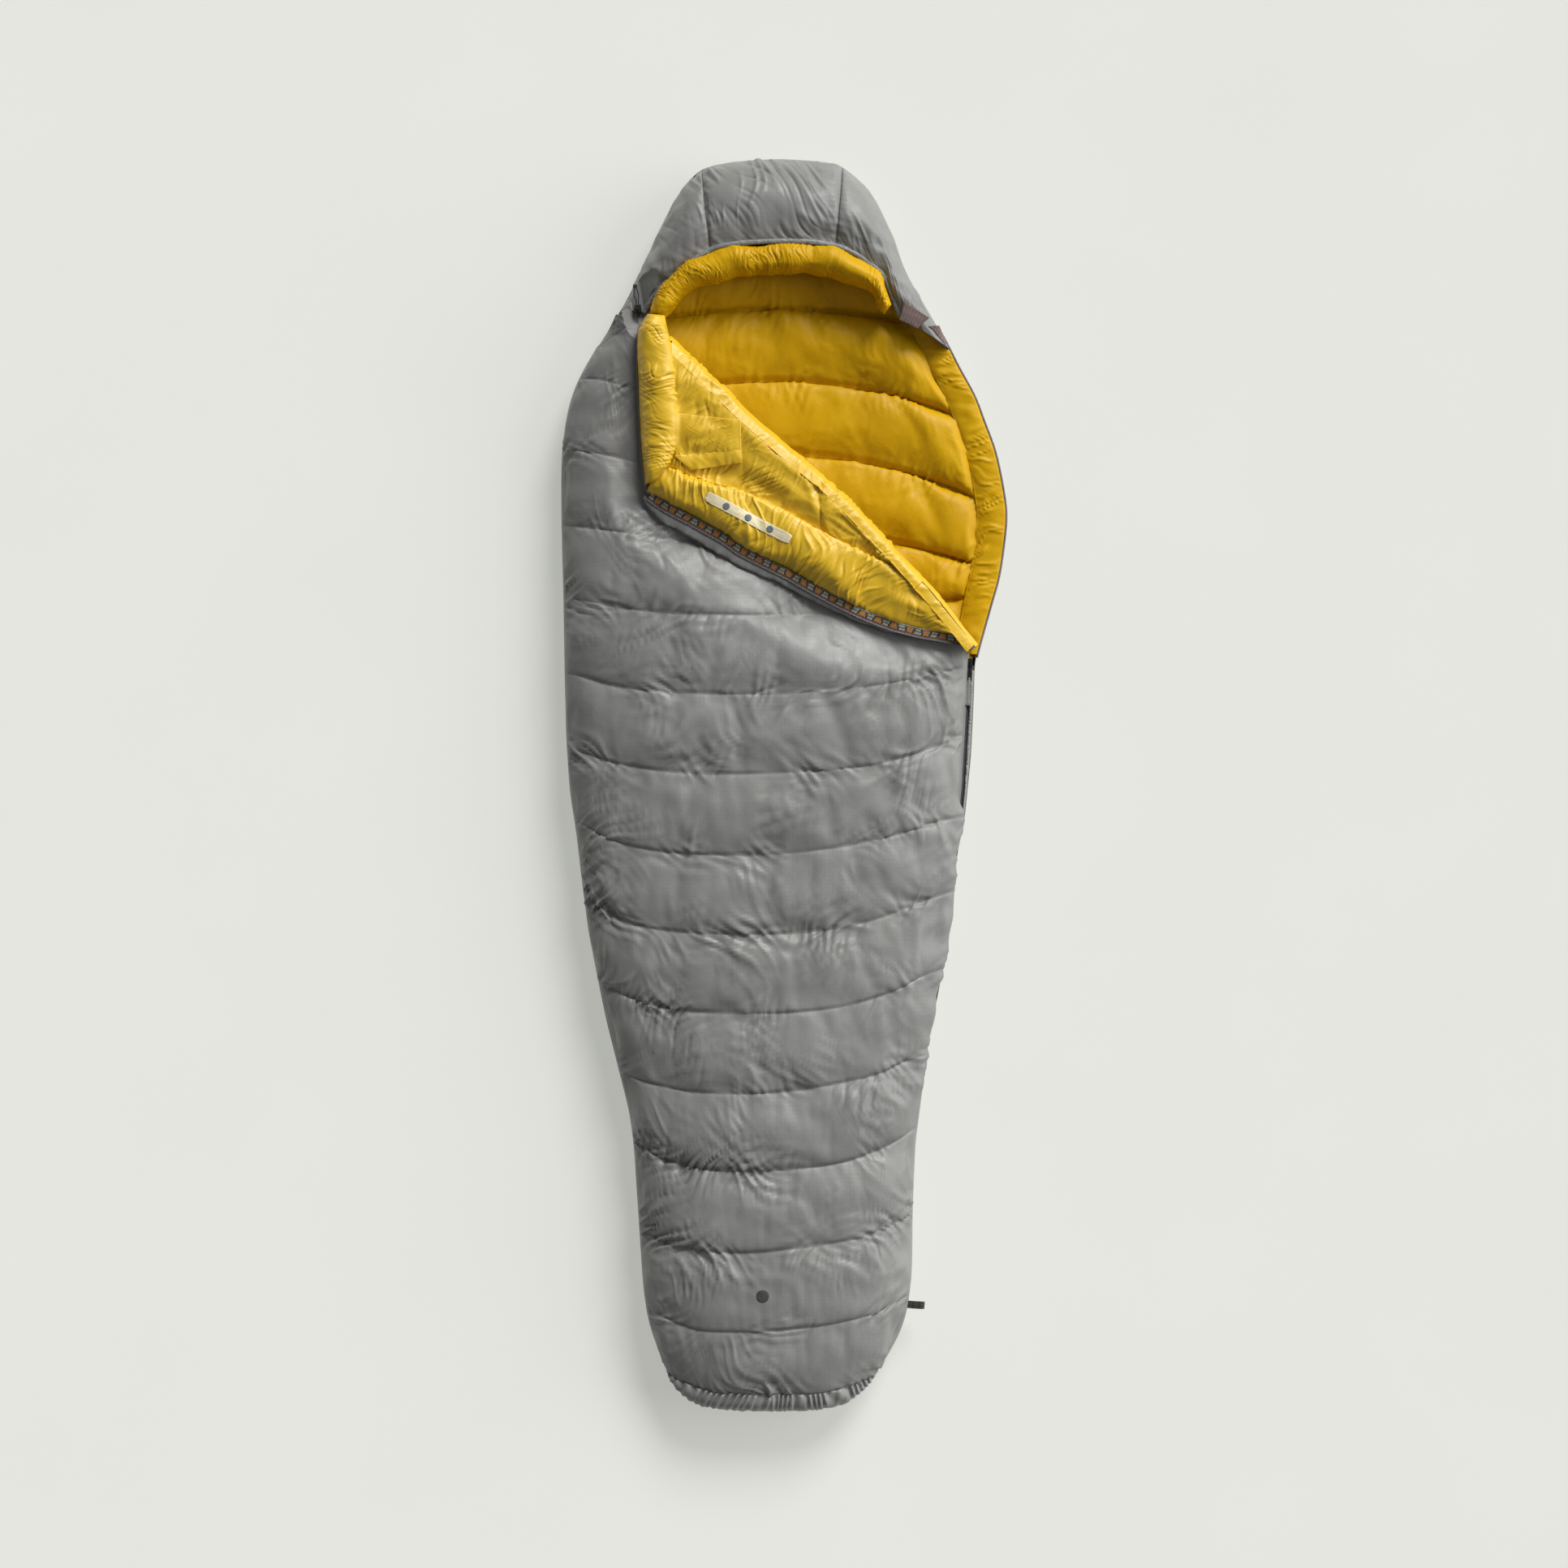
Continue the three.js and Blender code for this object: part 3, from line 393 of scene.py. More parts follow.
def noise_node(t, vec, scale, detail=3.0, rough=0.5, distort=0.0):
    n = add(t, "ShaderNodeTexNoise")
    n.inputs["Scale"].default_value = scale
    n.inputs["Detail"].default_value = detail
    n.inputs["Roughness"].default_value = rough
    n.inputs["Distortion"].default_value = distort
    t.links.new(vec, n.inputs["Vector"])
    return n.outputs["Fac"]


def ramp(t, fac, stops):
    r = add(t, "ShaderNodeValToRGB")
    e = r.color_ramp.elements
    while len(e) < len(stops):
        e.new(0.5)
    for k, (p, c) in enumerate(stops):
        e[k].position = p
        e[k].color = (*c, 1.0) if len(c) == 3 else c
    t.links.new(fac, r.inputs["Fac"])
    return r.outputs["Color"]


def bump(t, height, strength, distance, prev=None):
    b = add(t, "ShaderNodeBump")
    b.inputs["Strength"].default_value = strength
    b.inputs["Distance"].default_value = distance
    t.links.new(height, b.inputs["Height"])
    if prev is not None:
        t.links.new(prev, b.inputs["Normal"])
    return b.outputs["Normal"]


def wave(t, vec, scale, direction="X", distort=0.0):
    w = add(t, "ShaderNodeTexWave", wave_type="BANDS", bands_direction=direction, wave_profile="SIN")
    w.inputs["Scale"].default_value = scale
    w.inputs["Distortion"].default_value = distort
    w.inputs["Detail"].default_value = 1.0
    t.links.new(vec, w.inputs["Vector"])
    return w.outputs["Fac"]


def mathn(t, op, a, b=None):
    m = add(t, "ShaderNodeMath", operation=op)
    for k, v in enumerate((a, b)):
        if v is None:
            continue
        if isinstance(v, (int, float)):
            m.inputs[k].default_value = v
        else:
            t.links.new(v, m.inputs[k])
    return m.outputs[0]


def lin(r, g, b):
    f = lambda c: c / 12.92 if c <= 0.04045 else ((c + 0.055) / 1.055) ** 2.4
    return (f(r / 255), f(g / 255), f(b / 255))


def fabric(name, dark, mid, light, rough=0.42, sheen=0.2, spec=0.5, weave=0.55, thread=0.0011, crinkle=0.35, turn=0.0, sheen_tint=(1, 1, 1)):
    """Fine plain-weave nylon: thread bump, soft crinkle and an uneven dye."""
    m = bpy.data.materials.new(name)
    t, b = nodes_of(m)
    vec = mapped(t, rot=(0, 0, turn))
    patch = noise_node(t, vec, 7.0, 4.0, 0.55, 0.4)
    col = ramp(t, patch, [(0.3, dark), (0.5, mid), (0.72, light)])
    fine = noise_node(t, vec, 900.0, 2.0, 0.5)
    mix = add(t, "ShaderNodeMix", data_type="RGBA", blend_type="MULTIPLY")
    mix.inputs["Factor"].default_value = 0.22
    t.links.new(col, mix.inputs[6])
    t.links.new(ramp(t, fine, [(0.25, (0.7, 0.7, 0.7)), (0.75, (1, 1, 1))]), mix.inputs[7])
    t.links.new(mix.outputs[2], b.inputs["Base Color"])
    r = ramp(t, noise_node(t, vec, 38.0, 3.0, 0.55), [(0.3, (rough - 0.06,) * 3), (0.7, (rough + 0.07,) * 3)])
    t.links.new(r, b.inputs["Roughness"])
    b.inputs["Specular IOR Level"].default_value = spec
    b.inputs["Sheen Weight"].default_value = sheen
    b.inputs["Sheen Roughness"].default_value = 0.45
    b.inputs["Sheen Tint"].default_value = (*sheen_tint, 1)
    wx = wave(t, vec, 0.05 * math.pi / thread / 3.1416 * 1.0, "X", 0.4)
    wy = wave(t, vec, 0.05 * math.pi / thread / 3.1416 * 1.0, "Y", 0.4)
    w = mathn(t, "ADD", wx, wy)
    n = bump(t, w, weave * 0.25, 0.0002)
    n = bump(t, noise_node(t, vec, 85.0, 4.0, 0.6, 0.8), crinkle * 0.5, 0.002, n)
    n = bump(t, noise_node(t, vec, 28.0, 3.0, 0.55, 1.2), crinkle * 0.4, 0.006, n)
    t.links.new(n, b.inputs["Normal"])
    return m


def simple(name, base, rough=0.5, metal=0.0, grain=400.0, depth=0.0002, strength=0.3, vary=0.12, spec=0.5, sheen=0.0):
    """Moulded or painted stuff with a grain and slightly uneven colour."""
    m = bpy.data.materials.new(name)
    t, b = nodes_of(m)
    vec = mapped(t)
    n1 = noise_node(t, vec, grain * 0.15, 3.0)
    lo = tuple(c * (1 - vary) for c in base)
    hi = tuple(min(1.0, c * (1 + vary)) for c in base)
    t.links.new(ramp(t, n1, [(0.3, lo), (0.7, hi)]), b.inputs["Base Color"])
    t.links.new(ramp(t, noise_node(t, vec, grain * 0.3, 2.0), [(0.3, (max(0.02, rough - 0.07),) * 3), (0.7, (rough + 0.07,) * 3)]), b.inputs["Roughness"])
    b.inputs["Metallic"].default_value = metal
    b.inputs["Specular IOR Level"].default_value = spec
    b.inputs["Sheen Weight"].default_value = sheen
    t.links.new(bump(t, noise_node(t, vec, grain, 3.0, 0.6), strength, depth), b.inputs["Normal"])
    return m


def woven(name, a, c, thread=0.0014, turn=0.0, rough=0.7, stripes=None, sheen=0.15):
    """Tape, webbing or cord: visible coarse threads, optional coloured stripes across."""
    m = bpy.data.materials.new(name)
    t, b = nodes_of(m)
    vec = mapped(t, rot=(0, 0, turn))
    s = 0.05 / thread
    wx = wave(t, vec, s * 1.0, "X", 0.3)
    wy = wave(t, vec, s * 1.7, "Y", 0.3)
    w = mathn(t, "MULTIPLY", wx, wy)
    col = ramp(t, mathn(t, "ADD", mathn(t, "MULTIPLY", w, 0.6), mathn(t, "MULTIPLY", noise_node(t, vec, 500.0, 2.0), 0.5)), [(0.2, a), (0.75, c)])
    t.links.new(col, b.inputs["Base Color"])
    t.links.new(ramp(t, noise_node(t, vec, 300.0, 2.0), [(0.3, (rough - 0.08,) * 3), (0.7, (rough + 0.08,) * 3)]), b.inputs["Roughness"])
    b.inputs["Sheen Weight"].default_value = sheen
    t.links.new(bump(t, w, 0.6, 0.0004), b.inputs["Normal"])
    return m


M = {}
M["shell"] = fabric("shell_nylon_grey", (0.215, 0.216, 0.207), (0.235, 0.235, 0.227), (0.255, 0.254, 0.247), rough=0.46, sheen=0.10, spec=0.50, crinkle=0.22)
M["lining"] = fabric("lining_nylon_yellow", (0.575, 0.318, 0.0012), (0.62, 0.352, 0.0016), (0.665, 0.385, 0.003), rough=0.44, sheen=0.0, spec=0.20, turn=0.5, crinkle=0.2)
# painted light: a brighter copy of the same yellow lining nylon, used on the flap's quilt, fold roll, draft tube,
# collar tube and pocket to stand in for the light falling on the raised flap
M["lining_lit"] = fabric("lining_nylon_yellow_painted_light", (0.70, 0.43, 0.012), (0.76, 0.475, 0.018), (0.80, 0.52, 0.026), rough=0.42, sheen=0.0, spec=0.60, turn=0.5, crinkle=0.2)
M["down"] = simple("white_down", (0.82, 0.8, 0.76), rough=0.9, grain=120.0, depth=0.003, strength=0.8, sheen=0.5)
M["binding"] = woven("binding_tape_grey", (0.16, 0.15, 0.16), (0.28, 0.26, 0.28), 0.0012, 0.3)
M["piping"] = woven("piping_mauve_grey", (0.14, 0.115, 0.13), (0.27, 0.225, 0.25), 0.0010, 0.2)
M["tape"] = woven("zip_tape_dark", (0.045, 0.042, 0.05), (0.12, 0.11, 0.125), 0.0011, 0.7)
M["coil"] = simple("zip_coil_nylon", (0.16, 0.155, 0.17), rough=0.32, grain=700.0, depth=0.0001)
M["metal"] = simple("slider_enamel", (0.013, 0.013, 0.012), rough=0.33, metal=0.0, grain=600.0, depth=0.00008, strength=0.15)
M["steel"] = simple("spring_steel", (0.62, 0.62, 0.61), rough=0.28, metal=1.0, grain=900.0, depth=0.00005)
M["puller"] = woven("puller_grosgrain", (0.17, 0.17, 0.165), (0.30, 0.30, 0.29), 0.0009, 0.0)
M["mauve"] = simple("hook_and_loop_nap", (0.125, 0.083, 0.07), rough=0.88, grain=1400.0, depth=0.0008, strength=0.9, sheen=0.5)
M["mauve_top"] = woven("neck_tab_fabric", (0.12, 0.08, 0.072), (0.20, 0.14, 0.13), 0.0009, 0.4)
M["webbing"] = woven("webbing_black", (0.012, 0.012, 0.011), (0.045, 0.045, 0.042), 0.0016, 0.1)
M["cord"] = woven("cord_black", (0.010, 0.010, 0.010), (0.05, 0.05, 0.047), 0.0009, 0.8)
M["plastic"] = simple("moulded_black", (0.016, 0.016, 0.015), rough=0.42, grain=800.0, depth=0.00012, strength=0.35)
M["thread_grey"] = simple("thread_grey", (0.15, 0.15, 0.145), rough=0.6, grain=1500.0, depth=0.0001)
M["thread_yellow"] = simple("thread_yellow", (0.45, 0.27, 0.004), rough=0.6, grain=1500.0, depth=0.0001)

# floor
FLOOR = make_mesh("floor", [(-9000, -9000, -0.4), (9000, -9000, -0.4), (9000, 9000, -0.4), (-9000, 9000, -0.4)], [[0, 1, 2, 3]], False)
fm = bpy.data.materials.new("paper_floor")
ft, fb = nodes_of(fm)
fv = mapped(ft)
ft.links.new(ramp(ft, noise_node(ft, fv, 3.0, 3.0), [(0.3, lin(176, 177, 172)), (0.7, lin(178, 179, 174))]), fb.inputs["Base Color"])
fb.inputs["Emission Color"].default_value = (*lin(168, 169, 164), 1)
fb.inputs["Emission Strength"].default_value = 1.0
fb.inputs["Roughness"].default_value = 0.95
fb.inputs["Specular IOR Level"].default_value = 0.1
set_mat(FLOOR, fm)

world = bpy.data.worlds.new("studio")
sc.world = world
world.use_nodes = True
world.node_tree.nodes["Background"].inputs["Color"].default_value = (0.98, 0.99, 1.0, 1)
world.node_tree.nodes["Background"].inputs["Strength"].default_value = 0.16


def sun(name, towards, strength, angle, colour=(1, 1, 1)):
    from mathutils import Vector
    d = bpy.data.lights.new(name, "SUN")
    d.energy = strength
    d.angle = math.radians(angle)
    d.color = colour
    o = link(bpy.data.objects.new(name, d))
    o.rotation_euler = Vector(towards).to_track_quat("Z", "Y").to_euler()
    return o


sun("key_light", (0.36, 0.76, 0.56), 2.80, 26.0, (1.0, 0.995, 0.985))
side = sun("side_fill", (0.90, 0.20, 0.40), 1.80, 50.0, (1.0, 1.0, 1.0))


# ----------------------------------------------------------------------------
# the front half: rows run along the quilting seams
def seam_curve(k, y_off=0.0):
    return np.array(SEAMS[k], float)


NC_SIM = 112


def cos_cols(n, mix=0.55):
    u = np.linspace(0, 1, n)
    return (1 - mix) * u + mix * (1 - np.cos(np.pi * u)) / 2


def seam_y(k, x):
    p = seam_curve(k)
    # slope continues past the ends
    y = np.interp(x, p[:, 0], p[:, 1])
    return y


def resample_rows(P, ts):
    """P[k] at integer t; Catmull-Rom at any t."""
    n = len(P)
    ts = np.clip(ts, 0, n - 1)
    i = np.minimum(ts.astype(int), n - 2)
    f = (ts - i).reshape((-1,) + (1,) * (P.ndim - 1))
    a, b, c, d = P[np.maximum(i - 1, 0)], P[i], P[i + 1], P[np.minimum(i + 2, n - 1)]
    return 0.5 * ((2 * b) + (-a + c) * f + (2 * a - 5 * b + 4 * c - d) * f ** 2 + (-a + 3 * b - 3 * c + d) * f ** 3)


def smooth1(v, r):
    k = np.exp(-0.5 * (np.arange(-3 * r, 3 * r + 1) / r) ** 2)
    k /= k.sum()
    pad = np.concatenate([np.full(3 * r, v[0]) * 2 - v[1:3 * r + 1][::-1], v, np.full(3 * r, v[-1]) * 2 - v[-3 * r - 1:-1][::-1]])
    return np.convolve(pad, k, "valid")


# flap footprint: signed distance outside it, used to press the front down below the flap
ZIP_EDGE = np.array([(-236.6, 499.8), (-203, 476), (-168, 457.8), (-134.4, 439.6), (-99.4, 420), (-74.2, 401), (-30.8, 379.4), (11.2, 358.4), (54.6, 333.2), (96.6, 310.8), (140, 289.8), (183.4, 273), (225.4, 261.8), (238, 259)])
FOOT = np.array([(-250, 800), (-252, 700), (-251, 600), (-240, 510)] + [tuple(p) for p in ZIP_EDGE] + [(330, 243), (200, 383), (0, 593), (-184.8, 786.8)])


def poly_sd(x, y, poly):
    """Signed distance to a closed polygon, negative inside."""
    x, y = np.broadcast_arrays(np.asarray(x, float), np.asarray(y, float))
    d = np.full(x.shape, 1e18)
    inside = np.zeros(x.shape, bool)
    n = len(poly)
    for i in range(n):
        ax, ay = poly[i]
        bx, by = poly[(i + 1) % n]
        ex, ey = bx - ax, by - ay
        t = np.clip(((x - ax) * ex + (y - ay) * ey) / (ex * ex + ey * ey), 0, 1)
        d = np.minimum(d, (x - ax - t * ex) ** 2 + (y - ay - t * ey) ** 2)
        c = ((ay > y) != (by > y)) & (x < (bx - ax) * (y - ay) / (by - ay + 1e-12) + ax)
        inside ^= c
    d = np.sqrt(d)
    return np.where(inside, -d, d)


def softmin(a, b, k=6.0):
    h = np.clip(0.5 + 0.5 * (b - a) / k, 0, 1)
    return b * (1 - h) + a * h - k * h * (1 - h)


def crown(y):
    """Height of the front's middle over the length."""
    return np.interp(y, [-1080, -1049, -960, -800, -300, 100, 400, 700, 840, 1080], [98, 108, 128, 134, 136, 138, 136, 128, 120, 116])


def front_env(x, y):
    l, r = edge_l(y), edge_r(y)
    s = np.clip((2 * x - l - r) / (r - l), -1, 1)
    prof = (1 - np.abs(s) ** 2.6) ** (1 / 2.1)
    z = 52 + (crown(y) - 52) * prof
    sd = poly_sd(x, y, FOOT)
    cap = 100 + 40 * sstep(22, 125, sd)
    return softmin(z, cap, 8.0), s, sd


def front_grid():
    """Seam rows and the columns between them, x y only, fold side cut at the fold."""
    ks = len(SEAMS)
    cols = cos_cols(NC_SIM)
    rows = []
    for k in range(ks):
        p = seam_curve(k)
        pl, pr = p[0], p[-1]
        yl = pl[1]
        xl = edge_l(yl)
        # right end: the side seam, or the fold further up
        yr = pr[1]
        for _ in range(30):
            xr = min(edge_r(yr), fold_x(yr, -7.0)) if yr > 225 else edge_r(yr)
            yr = np.interp(xr, p[:, 0], p[:, 1])
        x = xl + (xr - xl) * cols
        y = np.interp(x, p[:, 0], p[:, 1])
        y = smooth1(y, 3)
        rows.append(np.stack([x, y], 1))
    return np.array(rows), cols


SEAM_ROWS, COLS = front_grid()


def chamber_ts(n_seams, per, mix=0.5):
    u = np.linspace(0, 1, per + 1)[:-1]
    t = (1 - mix) * u + mix * (1 - np.cos(np.pi * u)) / 2
    return np.concatenate([k + t for k in range(n_seams - 1)] + [[n_seams - 1.0]])


# outermost reach of the fold past the fold line, by distance along it
_FT = np.array([-30, 0, 60, 143, 245, 370, 467, 566, 672, 721, 760, 800])
_FN = np.array([-6, -3, 4, 8, 11, 10, -2, -11, -14, -17, -20, -22])


def n_edge(t):
    tt = np.linspace(-30, 800, 200)
    return np.interp(t, tt, smooth1(np.interp(tt, _FT, _FN), 6))


def t_of(x, y):
    return (x - FOLD_A[0]) * FOLD_U[0] + (y - FOLD_A[1]) * FOLD_U[1]


ZIP_STRAIGHT_END = (309.0, -5.6)


def zip_x(y):
    """Centre of the closed zip."""
    y = np.asarray(y, float)
    up_x = 309.0 + (y + 5.6) * (321.5 - 309.0) / (208.6 + 5.6)
    lo_x = edge_r(y) - 9.0
    return np.where(y > -5.6, up_x, lo_x - sstep(-64.4, -5.6, y) * 0.0)


def right_x(y):
    """Where the front panel ends on the right: side seam, zip, then fold."""
    y = np.asarray(y, float)
    r = edge_r(y)
    z = zip_x(y) - 3.2
    w = sstep(-540, -500, y)
    r = r * (1 - w) + np.minimum(z, r) * w
    t = (y - FOLD_A[1]) / FOLD_U[1]
    f = fold_x(y, n_edge(t) - 15.0)
    return np.where(y > 205, softmin(r, f, 10.0), r)


def fit_rows(XY, left, right):
    """Stretches each row so that its ends lie on the left and right outlines."""
    out = XY.copy()
    for r in range(len(out)):
        x, y = out[r, :, 0], out[r, :, 1]
        for _ in range(3):
            xl, xr = left(y[0]), right(y[-1])
            u = (x - x[0]) / max(x[-1] - x[0], 1e-6)
            x = xl + u * (xr - xl)
        out[r, :, 0] = x
    return out


def quilt_drop(ts, depth_by_seam, p=0.8):
    """0 at a seam to 1 at the crown, and the seam depth there, for each row."""
    f = ts - np.floor(ts)
    c = np.power(np.clip(4 * f * (1 - f), 0, 1), p)
    k = np.minimum(np.floor(ts).astype(int), len(depth_by_seam) - 2)
    d = depth_by_seam[k] * (1 - f) + depth_by_seam[k + 1] * f
    return c, d


F_DEPTH = np.array([8, 9, 11, 17, 12, 9, 9, 8, 8, 8, 7, 8, 10, 10, 10, 6], float) * 0.68
PER = 14


def front_surface():
    ts = chamber_ts(len(SEAMS), PER)
    XY = resample_rows(SEAM_ROWS, ts)
    XY = fit_rows(XY, edge_l, right_x)
    x, y = XY[..., 0], XY[..., 1]
    z, s, sd = front_env(x, y)
    c, d = quilt_drop(ts, F_DEPTH)
    c, d = c[:, None], d[:, None]
    press = 1 - 0.65 * (1 - sstep(10, 70, sd))
    height = np.clip((z - 52) / 60, 0, 1)
    z = z - d * (1 - c) * press * height ** 0.5
    z = z + 3.5 * noise(x / 130, y / 95, 3) * height * press
    # the panel ends on the zip at the right, and bulges out over it
    u = np.linspace(0, 1, x.shape[1])[None, :]
    zr = 57.5
    end = np.clip((x - (x[:, -1:] - 26)) / 26, 0, 1)
    on_zip = sstep(-545, -470, y[:, -1:]) * (y[:, -1:] < 225)
    end = end ** 6 * on_zip
    z = np.maximum(z, 0) * (1 - end) + zr * end
    P = np.stack([x, y, z], -1)
    # over the fold the panel stays up
    t = t_of(x, y)
    nn = fold_n(x, y) - n_edge(t)
    fold_zone = sstep(-70, -20, nn) * sstep(215, 250, y)
    P[..., 2] = P[..., 2] * (1 - fold_zone) + 104.0 * fold_zone
    return P, ts


P_FRONT0, TS = front_surface()
R, C = P_FRONT0.shape[:2]
pin = np.zeros((R, C))
seam_row = np.abs(TS - np.round(TS)) < 1e-6
pin[seam_row] = 1
pin[0] = pin[-1] = 1
pin[:, 0] = pin[:, -1] = 1
sd0 = poly_sd(P_FRONT0[..., 0], P_FRONT0[..., 1], FOOT)
pin = np.maximum(pin, (sd0 < 16) * 1.0)
fz = sstep(-60, -30, fold_n(P_FRONT0[..., 0], P_FRONT0[..., 1]) - n_edge(t_of(P_FRONT0[..., 0], P_FRONT0[..., 1]))) * (P_FRONT0[..., 1] > 230)
pin = np.maximum(pin, (fz > 0.2) * 1.0)
P_FRONT = puff(P_FRONT0, pin, frames=16, pressure=1.0, grow=0.022, bend=0.06, cap=9.0, share=0.75, soft=1)
P_FRONT[..., 2] = np.minimum(P_FRONT[..., 2], 156.0)
# below the slider's reach the panel's edge swells out over the closed zip
LIP = np.array([0, 0.72, 1.0, 0.97, 0.88, 0.76, 0.62, 0.48, 0.35, 0.23, 0.13, 0.05])
_ye = P_FRONT[:, -1, 1]
_wl = sstep(12, 60, -_ye) * np.clip(edge_r(_ye) - right_x(_ye), 0, 12.2) / 12.2
for j_, g_ in enumerate(LIP):
    P_FRONT[:, -1 - j_, 0] += 18.5 * g_ * _wl


def finish_rows(ts, refine):
    """Row positions for the fine mesh: refine per coarse row."""
    n = len(ts)
    idx = np.linspace(0, n - 1, (n - 1) * refine + 1)
    return idx


def seam_dist(ts_fine, P):
    """Distance in mm of every fine row from the nearest seam row, and which seam."""
    k = np.round(ts_fine).astype(int)
    f = np.abs(ts_fine - k)
    # the fine row that lies on each seam
    seam_pos = [int(np.argmin(np.abs(ts_fine - j))) for j in range(int(round(ts_fine[-1])) + 1)]
    S = P[seam_pos]
    d = np.linalg.norm(P - S[k], axis=-1)
    return d, k


def pucker(P, d, k, seed, amp=0.9, wave_len=9.0, reach=16.0, groove=1.5, groove_w=2.2, mask=1.0):
    """Stitch groove along each seam and the little gathers that run out of it."""
    N = normals(P)
    x = P[..., 0]
    g = noise(x / wave_len + 31 * k, d / 60.0 + k * 7.7, seed) * 0.8 + 0.5 * noise(x / (wave_len * 2.3) + 11 * k, d / 80.0, seed + 1)
    a = amp * g * np.exp(-(d / reach)) * np.minimum(1, (d / 2.0))
    a = a - groove * np.exp(-(d / groove_w) ** 2)
    return P + N * (a * mask)[..., None]


def fine_fabric(P, seed, lump=1.0, crease=0.8, micro=0.18, mask=1.0, d=None):
    """Loose lumps of down, long soft creases of the light fabric, and fine crinkle."""
    N = normals(P)
    x, y = P[..., 0], P[..., 1]
    a = lump * (2.4 * noise(x / 85, y / 55, seed) + 0.6 * noise(x / 38, y / 30, seed + 1))
    near = 0.45 + (np.exp(-d / 38.0) if d is not None else 0.5)
    g1 = np.clip(0.25 + 1.2 * noise(x / 130, y / 100, seed + 4), 0, 1.2)
    g2 = np.clip(0.15 + 1.2 * noise(x / 120, y / 110, seed + 5), 0, 1.2)
    a = a + crease * near * (3.6 * creases(x, y, 175, 25, 0.55, seed + 2) - 2.8 * creases(x, y, 150, 21, 0.8, seed + 7)) * g1
    a = a + crease * near * (3.1 * creases(x, y, 160, 23, -0.75, seed + 3) - 2.6 * creases(x, y, 140, 20, -0.45, seed + 8)) * g2
    a = a + micro * fbm(x / 9, y / 9, seed + 6, 2)
    return P + N * (a * mask)[..., None]


def front_fine():
    P = up(P_FRONT, 2, 2)
    idx = np.linspace(0, len(TS) - 1, P.shape[0])
    tf = np.interp(idx, np.arange(len(TS)), TS)
    d, k = seam_dist(tf, P)
    kk = k[:, None] * np.ones(P.shape[1])[None, :]
    sd = poly_sd(P[..., 0], P[..., 1], FOOT)
    m = 0.25 + 0.75 * sstep(-4, 30, sd)
    edge = np.minimum(np.arange(P.shape[1]), np.arange(P.shape[1])[::-1])[None, :]
    m = m * np.clip(edge / 4.0, 0, 1)
    P = fine_fabric(P, 11, 1.25, 1.2, 0.12, m, d)
    P = pucker(P, d, kk, 21, 0.5, 11.0, 22.0, 0.4, 1.6, m)
    return P, tf


P_FS, TF = front_fine()


def hollow(P, floor_, rad=9.0):
    """The ground sinks where the cord lock lies and slides."""
    ax, ay, bx, by = -247.0, 800.0, -257.0, 862.0
    ex, ey = bx - ax, by - ay
    t = np.clip(((P[..., 0] - ax) * ex + (P[..., 1] - ay) * ey) / (ex * ex + ey * ey), 0, 1)
    d = np.hypot(P[..., 0] - ax - t * ex, P[..., 1] - ay - t * ey)
    out = P.copy()
    out[..., 2] = np.minimum(P[..., 2], floor_ + np.maximum(0, d - rad) * 0.9)
    return out


P_FS = hollow(P_FS, 79.0)


def lowest_over(P, rows=5, cols=3):
    """Lowest height of the fine surface round each point of the half-density grid."""
    Z = np.pad(P[..., 2], ((rows, rows), (cols, cols)), mode="edge")
    out = np.full(P.shape[:2], 1e9)
    for a in range(2 * rows + 1):
        for b in range(2 * cols + 1):
            out = np.minimum(out, Z[a:a + P.shape[0], b:b + P.shape[1]])
    return out[::4, ::2]


Z_FLOOR = lowest_over(P_FS)
front = sheet_mesh("front_shell_fabric", P_FS)
solidify(front, 0.0009)
set_mat(front, M["shell"])
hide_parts("front_shell")
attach(front, "root")


# ----------------------------------------------------------------------------
# front lining (the underside of the front panel) and its down
def front_under():
    P = P_FRONT0[::2].copy()
    ts = TS[::2]
    x, y = P[..., 0], P[..., 1]
    l, r = edge_l(y), edge_r(y)
    s = np.clip((2 * x - l - r) / (r - l), -1, 1)
    c, d = quilt_drop(ts, np.full(len(SEAMS), 6.0))
    z = 53.5 + 37.5 * (1 - np.abs(s) ** 3.2) ** (1 / 2.0) + 5.0 * (1 - c[:, None])
    t = t_of(x, y)
    w = sstep(-60, -12, fold_n(x, y) - n_edge(t)) * sstep(215, 250, y)
    z = z * (1 - w) + 88.0 * w
    S_ = P_FRONT[::2]
    n_ = P.shape[1]
    j = np.minimum(np.arange(n_), np.arange(n_)[::-1])
    pull = 5.5 * (1 - sstep(14, 26, j))
    side = np.where(np.arange(n_) < n_ / 2, 1.0, -1.0)
    x = x + (side * pull)[None, :]
    z = np.minimum(z, S_[..., 2] - 6.0 * np.minimum(1, j / 3.0)[None, :])
    Q = np.stack([x, y, z], -1)
    N = normals(Q)
    return Q + N * (0.7 * noise(x / 26, y / 18, 77))[..., None]


Q_FRONT = hollow(front_under(), 72.0, 14.0)
